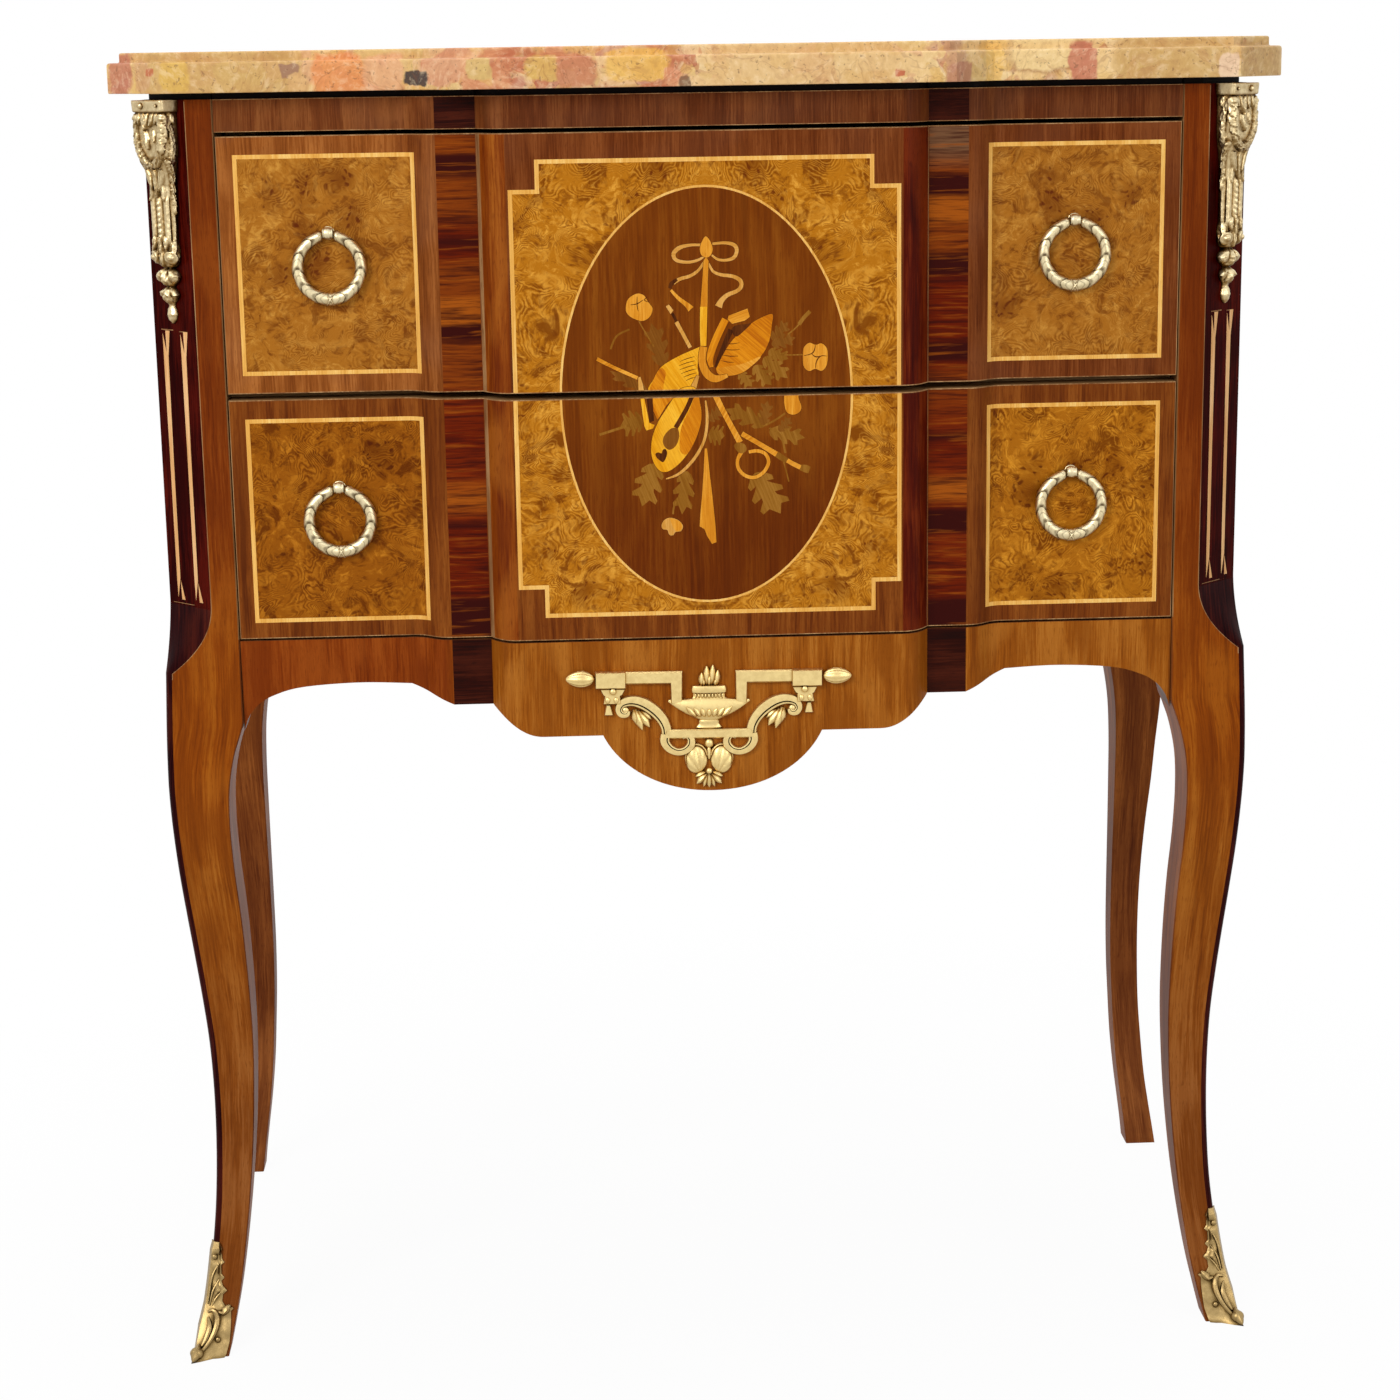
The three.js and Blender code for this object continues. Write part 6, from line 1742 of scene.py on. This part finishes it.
# Corner mount from its top: height below the recess, half width, how far it stands out, how boxed it is
CHUTE_ROWS = [(0, 15.2, 13.0, 14), (-0.8, 15.2, 13.4, 14), (-6.8, 14.9, 13.0, 14), (-7.4, 14.0, 11.8, 10),
              (-8.4, 13.6, 11.2, 9), (-26, 13.6, 11.6, 9), (-33, 13.2, 11.0, 8), (-39, 12.0, 9.6, 7),
              (-45, 10.8, 8.2, 6), (-52, 9.8, 7.2, 6), (-60, 9.4, 6.6, 7), (-86, 9.2, 6.4, 7),
              (-88, 9.8, 6.4, 5),
              (-92, 10.6, 6.4, 3.6), (-98, 10.2, 6.0, 2.6), (-101.5, 7.4, 4.6, 2.2), (-102.6, 4.4, 3.0, 2),
              (-104.4, 7.8, 4.6, 2), (-107.4, 10.0, 6.0, 2), (-110.6, 9.0, 5.6, 2), (-113, 5.2, 4.0, 2),
              (-114.6, 3.6, 2.8, 2), (-116.4, 6.2, 4.0, 2), (-119.2, 8.0, 5.0, 2), (-122.2, 6.0, 4.2, 2),
              (-124.6, 3.2, 2.8, 2), (-126.2, 2.5, 2.4, 2), (-128.2, 3.7, 3.2, 2), (-131.6, 4.6, 3.8, 2),
              (-135.0, 3.4, 3.0, 2), (-137.2, 1.0, 1.2, 2)]
# Laurel garlands on it, by distance round the mount from its middle, and height
GARLANDS = [
    ([(-12.4, -11), (-12.8, -20), (-11.2, -29), (-7.0, -36), (-2.0, -39.4), (3.0, -39.4), (7.4, -36),
      (11.4, -29),
      (12.8, -20), (12.4, -11)], 2.5, 2.8, 6.4),
    ([(-15.4, -12), (-18.4, -19), (-19.4, -27), (-18.0, -34), (-15.4, -38)], 2.2, 1.7, 6.0),
    ([(15.4, -12), (18.4, -19), (19.4, -27), (18.0, -34), (15.4, -38)], 2.2, 1.7, 6.0),
    ([(-13.6, -38), (-13.4, -48), (-12.6, -56), (-13.4, -64)], 1.9, 2.2, 6.0),
    ([(13.6, -38), (13.4, -48), (12.6, -56), (13.4, -68)], 1.9, 2.4, 6.0),
]
# Single leaves on it: where each starts and ends, its width and its rise
CHUTE_LEAVES = [(-5.5, -8, -3.0, -17, 4.6, 2.4), (-0.5, -8, -2.6, -19, 4.6, 2.8),
                (4.4, -8, 2.5, -16, 4.4, 2.2),
                (-3.2, -19, -0.2, -30, 4.4, 2.6), (8.4, -8, 8.0, -15, 4.0, 2.2),
                (-9.4, -8, -8.4, -15, 4.0, 2.2),
                (4.5, -18, 6.0, -26, 3.0, 1.6), (18.5, -8, 20.0, -15, 4.4, 2.2),
                (-18.5, -8, -20.0, -15, 4.4, 2.2),
                (-7.4, -42, -3.4, -55, 5.0, 2.2), (7.2, -42, 2.6, -56, 5.0, 2.4),
                (0.0, -42, 0.5, -59, 5.0, 2.4),
                (-5.0, -52, -6.6, -61, 4.0, 1.6), (4.4, -50, 6.4, -61, 4.0, 1.8),
                (0.0, -84, 0.0, -94, 4.6, 2.6),
                (-4.2, -83, -6.0, -91, 4.4, 2.6), (4.2, -83, 6.0, -91, 4.4, 2.4),
                (0.0, -92, 0.0, -102, 4.6, 2.2),
                (-11.0, -86, -10.0, -95, 4.0, 2.0), (11.0, -86, 10.0, -95, 4.0, 2.0)]
CHUTE_KNOBS = [(-12.6, -11, 3.2, 2.6), (12.6, -11, 3.2, 2.6), (-7.6, -96, 4.4, 3.0), (7.6, -96, 4.4, 3.0),
               (-15.0, -97, 3.4, 2.2), (15.0, -97, 3.4, 2.2), (-13.8, -37.5, 2.6, 2.2),
               (13.8, -37.5, 2.6, 2.2)]


def from_line(x, z, ax, az, bx, bz):
    """Where a point lies beside a line: share of its length, distance to the right of it, and the length."""
    dx, dz = bx - ax, bz - az
    length = math.hypot(dx, dz)
    return ((x - ax) * dx + (z - az) * dz) / length ** 2, ((x - ax) * dz - (z - az) * dx) / length, length


def rope(x, z, points, width, height, leaf_length):
    """Relief of a laurel garland along a line of points: a rounded ridge of uneven leaves."""
    best, along, travelled, turn = 1e9, 0.0, 0.0, 1.0
    for (ax, az), (bx, bz) in zip(points, points[1:]):
        share, off, length = from_line(x, z, ax, az, bx, bz)
        t = min(1.0, max(0.0, share))
        gap = math.hypot(x - ax - (bx - ax) * t, z - az - (bz - az) * t)
        if gap < best:
            best, along, turn = gap, travelled + length * t, off
        travelled += length
    wavering = noise.noise(Vector((x * 0.35, z * 0.35, 1.0)))
    if best > width * (1 + 0.3 * wavering):
        return 0.0
    body = math.sqrt(max(0.0, 1 - (best / (width * 1.35)) ** 2))
    phase = (along / leaf_length + best / width * 0.9 + (0.35 if turn > 0 else 0.0) + 0.5 * wavering) % 1.0
    return height * body * (0.58 + 0.42 * phase ** 0.7)


def single_leaf(x, z, ax, az, bx, bz, width, rise):
    share, off, _ = from_line(x, z, ax, az, bx, bz)
    if not 0 < share < 1:
        return 0.0
    off = abs(off) / (width / 2 * math.sin(math.pi * (0.2 + 0.78 * share)))
    if off >= 1:
        return 0.0
    return rise * (1 - off * off) ** 0.5 * (0.6 + 0.5 * share) * (0.72 + 0.28 * min(1.0, off / 0.2))


# Ribbed bells at the foot: upper and lower edge, and ribs
CHUTE_BELLS = ((-102.6, -113.4, 4.5), (-114.6, -124.6, 4.0))


def chute_relief(x, z):
    """Height of the cast pattern at a point of the corner mount."""
    if z > -7.6:
        return 0.0
    height = noise.noise(Vector((x * 0.5, z * 0.5, 3.0))) * 0.25
    height += max([0.0] + [single_leaf(x, z, *row) for row in CHUTE_LEAVES])
    if z > -72:
        height = max([height] + [rope(x, z, *garland) for garland in GARLANDS])
    if -88 < z < -58:
        fade = min(1.0, (z + 88) / 3, (-58 - z) / 3)
        height += fade * 2.4 * (abs(math.cos(math.pi * x / 6.6)) ** 0.5 - 0.64)
        if abs(x) < 1.6:
            height += fade * 0.8 * math.sqrt(1 - (x / 1.6) ** 2) * abs(math.sin(math.pi * z / 3.4)) ** 0.6
    for cx, cz, radius, rise in CHUTE_KNOBS:
        away = math.hypot(x - cx, z - cz) / radius
        if away < 1:
            height = max(height, rise * math.sqrt(1 - away * away) + 0.5 * math.sin(away * 9))
    for top, low, ribs in CHUTE_BELLS:
        if low < z < top:
            share = (top - z) / (top - low)
            rib = abs(math.cos(math.atan2(x, top + 4.0 - z) * ribs)) ** 0.7
            height += math.sin(math.pi * min(share * 0.8 + 0.12, 1.0)) * (2.4 * rib - 0.5)
            height += 0.9 * noise.noise(Vector((x * 0.6, z * 0.6, 7.0)))
    return height


def even_section(half, out, power, count):
    """Even points round a boxed section, with each one's distance from the middle and its normal."""
    angles = np.linspace(0, math.pi, 240)
    across = half * np.sign(np.cos(angles)) * np.abs(np.cos(angles)) ** (2 / power)
    height = out * np.abs(np.sin(angles)) ** (2 / power)
    length = np.concatenate([[0.0], np.cumsum(np.hypot(np.diff(across), np.diff(height)))])
    wanted = np.linspace(0, length[-1], count + 1)
    a, h = np.interp(wanted, length, across), np.interp(wanted, length, height)
    da, dh = np.gradient(a), np.gradient(h)
    scale = np.hypot(da, dh)
    return zip(a, h, length[-1] / 2 - wanted, dh / scale, -da / scale)


def chute(skin, local):
    """A corner mount cast in one: abacus, garlanded corbel, flutes, leaves and a drop."""
    rings = []
    levels = np.concatenate([np.linspace(0, -8.4, 12)[:-1], np.linspace(-8.4, -137.2, 210)])
    table = np.array(CHUTE_ROWS[::-1], dtype=float)
    for z in levels:
        half, out, power = (float(np.interp(z, table[:, 0], table[:, k])) for k in (1, 2, 3))
        ring = []
        for across, height, around, lean, face in even_section(half, out, power, 76):
            relief = chute_relief(around, z) * min(1.0, height / 2.5)
            ring.append(local.at(across + lean * relief, z, max(height + face * relief, 0.0)))
        rings.append(ring)
    loft(skin, rings)
    outer = 1 if local.out.x > 0 else -1
    for across, size in ((4.0 * outer, 1.9), (11.0 * -outer, 0.9)):
        blob(skin, local.at(across, -3.4, 13.6), size, 1.2, size)


def section(skin, local, rows, columns):
    """A body with a domed front: each row is half width, height and how far it stands out."""
    rings = []
    for half, z, out in rows:
        ring = [local.at(half, z, 0.0)]
        for k in range(columns + 1):
            angle = math.pi * k / columns
            ring.append(local.at(half * math.cos(angle), z, out * (0.55 + 0.45 * math.sin(angle))))
        rings.append((ring + [local.at(-half, z, 0.0)])[::-1])
    loft(skin, rings)


# Inner edge of a shoe from its top: height, and how far it reaches past the leg's arris
SABOT_TOP = 70.2
SABOT_EDGE = [(70.2, 0.1), (69, 0.9), (66, 2.6), (64.6, 2.0), (59.4, 2.8), (57.4, 4.6), (55.6, 2.6),
              (50, 3.4),
              (47.6, 5.8), (45.6, 3.8), (42.4, 5.4), (39.6, 8.6), (37.2, 6.2), (33, 6.2), (30.2, 8.6),
              (28.8, 14.8),
              (26.8, 13.2), (22, 14.2), (15, 15.4), (8, 16.2), (2, 15.8), (0, 15.2)]


def add_sabots(m):
    """Gilt shoes on the front feet: a lobed leaf up the corner, a broad scroll and a pointed toe."""
    sections = np.array(leg_sections(FRONT_LEG_SHARES, POST_CANT, FRONT_ARRIS))
    edge = np.array(SABOT_EDGE[::-1])

    def at(z):
        outer_x, outer_y, arris = (float(np.interp(z, sections[:, 0], sections[:, k])) for k in (1, 2, 5))
        return outer_x, outer_y, arris

    for side, word in ((1, "left"), (-1, "right")):
        rings = []
        for share in (step / 110 for step in range(111)):
            z = SABOT_TOP * share
            span = float(np.interp(z, edge[:, 0], edge[:, 1]))
            toe = 9.0 * (1 - share) ** 7
            thin_top = min(1.0, 0.35 + (SABOT_TOP - z) / 9)
            thick = (1.7 + 1.0 * max(0.0, 1 - abs(z - 18) / 14)) * thin_top
            rings.append(sabot_ring(*at(z), span, toe, z, side, thick))
        skin = Skin()
        loft(skin, rings)
        sabot_scroll(skin, at, side)
        cast(skin, f"{word}_sabot_leaf", m["shoe_gilt"], 42.0, "case", f"{word}_sabot")


def sabot_ring(outer_x, outer_y, arris, span, toe, z, side, thickness):
    gap = 0.3
    corner = (outer_x + arris * 0.32 - gap, outer_y + arris * 0.32 - gap)
    inner = [(outer_x - gap, outer_y + arris + span), (outer_x - gap, outer_y + arris), corner,
             (outer_x + arris, outer_y - gap)]
    inner += [(outer_x + arris + span * share, outer_y - gap) for share in (0.25, 0.5, 0.75, 1.0)]
    swell = 1.0 + 0.35 * math.sin(z * 0.5)
    outer = [(inner[0][0] - 0.9, inner[0][1]), (inner[1][0] - thickness, inner[1][1] - toe * 0.2),
             (corner[0] - thickness * 0.8 - toe * 0.14, corner[1] - thickness * 0.8 - toe),
             (inner[3][0], inner[3][1] - thickness - toe * 0.55)]
    outer += [(inner[4 + k][0], inner[4 + k][1] - rise * swell - toe * fall)
              for k, (rise, fall) in enumerate(((2.0, 0.3), (1.1, 0.18), (1.5, 0.1), (0.9, 0.05)))]
    ring = [place(x * side, y, z) for x, y in outer + inner[::-1]]
    return ring if side > 0 else ring[::-1]


# Raised lines of a shoe: points as distance past its arris, height and set-off, then thickness and swell
SABOT_ROPES = (
    ([(2.4, 27.6, 2.6), (6.0, 28.4, 3.2), (9.0, 25.0, 3.4), (9.8, 19.4, 3.4), (8.4, 13.2, 3.8),
      (5.4, 8.0, 5.0), (1.6, 4.0, 7.0)], 1.5, 1.1),
    ([(16.0, 29.4, 1.6), (13.0, 26.4, 2.4), (9.4, 27.2, 3.0)], 1.1, 0.7),
    ([(3.2, 24.4, 2.8), (5.4, 19.0, 3.4), (4.6, 12.8, 4.4), (2.6, 8.4, 6.0)], 1.0, 1.4),
    ([(4.6, 30.6, 2.2), (6.0, 35.0, 2.2), (9.6, 39.4, 1.6)], 0.5, 0.4),
    ([(2.8, 31.0, 2.2), (3.6, 40.0, 2.2), (7.0, 47.2, 1.6)], 0.5, 0.4),
    ([(1.4, 32.0, 2.2), (1.8, 48.0, 2.0), (5.4, 57.0, 1.4)], 0.5, 0.35),
)


def sabot_scroll(skin, at, side):
    """The broad C scroll, the ribs of the leaf above it, the ear, the toe's bead and the screws."""
    def on_front(across, z, out):
        outer_x, outer_y, _ = at(z)
        return place((outer_x + across) * side, outer_y - out, z)

    for points, thin, more in SABOT_ROPES:
        path = [on_front(*point) for point in smooth(points, 24)]
        tube(skin, path, lambda s, thin=thin, more=more: (thin * 0.6 + more * math.sin(math.pi * s)) * MM, 8)
    leaf(skin, on_front(12.0, 24.6, 1.6), on_front(16.6, 30.8, 1.6), Vector((0, -1, 0)), 5.6, 1.8)
    leaf(skin, on_front(1.0, 9.0, 5.6), on_front(-0.6, 1.4, 11.0), Vector((0, -1, 0.6)), 6.4, 2.6)
    blob(skin, on_front(0.6, 4.8, 6.6), 4.6, 4.2, 4.2)
    for across, z in ((2.2, 61.6), (12.6, 10.6)):
        blob(skin, on_front(across, z, 2.8), 1.9, 1.2, 1.9)


# Carried-over nodes


# Materials of the CAD nodes that show as they are: a part of the name, and the first one that fits counts
NODE_LOOKS = (("screw", "steel"), ("nut", "steel"), ("_drawer_front", "oak_x"), ("top_front_rail", "under"),
              ("back_panel", "back"), ("side_panel", "under"), ("runner", "oak_y"), ("kicker", "oak_y"),
              ("_side", "oak_y"), ("", "oak_x"))


def dress_nodes(m):
    for name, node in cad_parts.items():
        wood = next(look for word, look in NODE_LOOKS if word in name)
        for slot in range(len(node.material_slots)):
            node.material_slots[slot].material = m[wood]


# Stage


FLOOR_SIZE = 14.0


def add_stage():
    mesh = bpy.data.meshes.new("floor")
    corners = [(x * FLOOR_SIZE, y * FLOOR_SIZE, 0) for x, y in ((-1, -1), (1, -1), (1, 1), (-1, 1))]
    mesh.from_pydata(corners, [], [(0, 1, 2, 3)])
    floor = bpy.data.objects.new("floor", mesh)
    bpy.context.scene.collection.objects.link(floor)
    mesh.materials.append(floor_material())


def background_rays(n):
    """1 for rays that should see the plain white background."""
    rays = n.new("LightPath").outputs
    seen = n.math("MAXIMUM", rays["Is Camera Ray"], rays["Is Glossy Ray"])
    return n.math("MAXIMUM", seen, rays["Is Transmission Ray"])


def floor_material():
    """White: it glows as the background does, apart from a faint shadow near the feet."""
    material = bpy.data.materials.new("white_floor")
    n = Nodes(material)
    n.tree.nodes.clear()
    away = n.vector("LENGTH", {0: n.coords("Object")}).outputs["Value"]
    near, far = FLOOR_SHADOW
    share = n.new("MapRange",
                  {"Value": away, "From Min": near, "From Max": far, "To Min": FLOOR_GLOW, "To Max": 1.0})
    diffuse = n.new("BsdfDiffuse", {"Color": (0.9, 0.9, 0.9, 1)})
    glow = n.new("Emission", {"Strength": 1.0})
    factor = n.times(background_rays(n), share.outputs["Result"])
    mixer = n.new("MixShader", {"Fac": factor, 1: diffuse.outputs[0], 2: glow.outputs[0]})
    n.new("OutputMaterial", {"Surface": mixer.outputs[0]})
    return material


# How strongly the world lights the part, beside the plain white that the camera sees
WORLD_LIGHT = 0.42


def add_world():
    world = bpy.data.worlds.new("studio")
    n = Nodes(world)
    n.feed(n.tree.nodes["Background"], {"Color": (1, 1, 1, 1),
                                        "Strength": n.spread(background_rays(n), WORLD_LIGHT, 1.0)})
    bpy.context.scene.world = world


# Lamps: place, the point that they look at, size and power in watts
LAMPS = {
    "key_lamp": ((-1.7, -2.5, 2.0), (0, 0, 0.5), (1.3, 1.1), 50),
    "fill_lamp": ((2.2, -2.6, 1.3), (0, 0, 0.45), (1.4, 1.4), 18),
    "top_lamp": ((0.0, 0.2, 2.6), (0, 0, 0.8), (1.8, 1.2), 22),
}


def add_lights():
    for name, (location, target, size, power) in LAMPS.items():
        data = bpy.data.lights.new(name, "AREA")
        data.shape = "RECTANGLE"
        data.size, data.size_y = size
        data.energy = power
        lamp = bpy.data.objects.new(name, data)
        lamp.location = location
        lamp.rotation_euler = (Vector(target) - Vector(location)).to_track_quat("-Z", "Y").to_euler()
        bpy.context.scene.collection.objects.link(lamp)


# The photograph's own camera, fitted to the corners of the panels and the marble and to the outlines of
# the legs: yaw, pitch and roll in degrees, its place in case millimetres, and its focal length and the
# frame's width in pixels
CAMERA_TURN = (2.628, 12.908, -0.879)
CAMERA_AT = (-88.63, -1787.56, 846.59)
CAMERA_FOCAL = 2836.31
CAMERA_WIDTH = 1400.0


def add_camera():
    yaw, pitch, roll = (math.radians(angle) for angle in CAMERA_TURN)
    ahead = Vector((math.sin(yaw) * math.cos(pitch), math.cos(yaw) * math.cos(pitch), -math.sin(pitch)))
    level = Vector((math.cos(yaw), -math.sin(yaw), 0))
    above = level.cross(ahead)
    right = level * math.cos(roll) + above * math.sin(roll)
    up = -level * math.sin(roll) + above * math.cos(roll)
    data = bpy.data.cameras.new("camera")
    data.sensor_width = 36.0
    data.lens = data.sensor_width * CAMERA_FOCAL / CAMERA_WIDTH
    data.clip_end = 60.0
    camera = bpy.data.objects.new("camera", data)
    turn = Matrix((right, up, -ahead)).transposed().to_4x4()
    camera.matrix_world = Matrix.Translation(place(*CAMERA_AT)) @ turn
    bpy.context.scene.collection.objects.link(camera)
    bpy.context.scene.camera = camera


def main():
    add_camera()
    add_world()
    add_lights()
    add_stage()
    materials = make_materials()
    for add_part in (dress_nodes, add_marble, add_legs, add_drawer_fronts, add_frieze, add_fillet, add_apron,
                     add_side_veneers, add_pulls, add_apron_mount, add_chutes, add_sabots):
        add_part(materials)
    bpy.context.scene.view_settings.view_transform = "Standard"


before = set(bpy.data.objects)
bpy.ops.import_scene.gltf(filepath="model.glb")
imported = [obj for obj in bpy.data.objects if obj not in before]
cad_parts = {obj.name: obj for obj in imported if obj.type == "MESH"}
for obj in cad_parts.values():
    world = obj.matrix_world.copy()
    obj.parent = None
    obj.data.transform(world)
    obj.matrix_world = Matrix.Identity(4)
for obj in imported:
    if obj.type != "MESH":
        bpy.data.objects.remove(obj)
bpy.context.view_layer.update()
main()
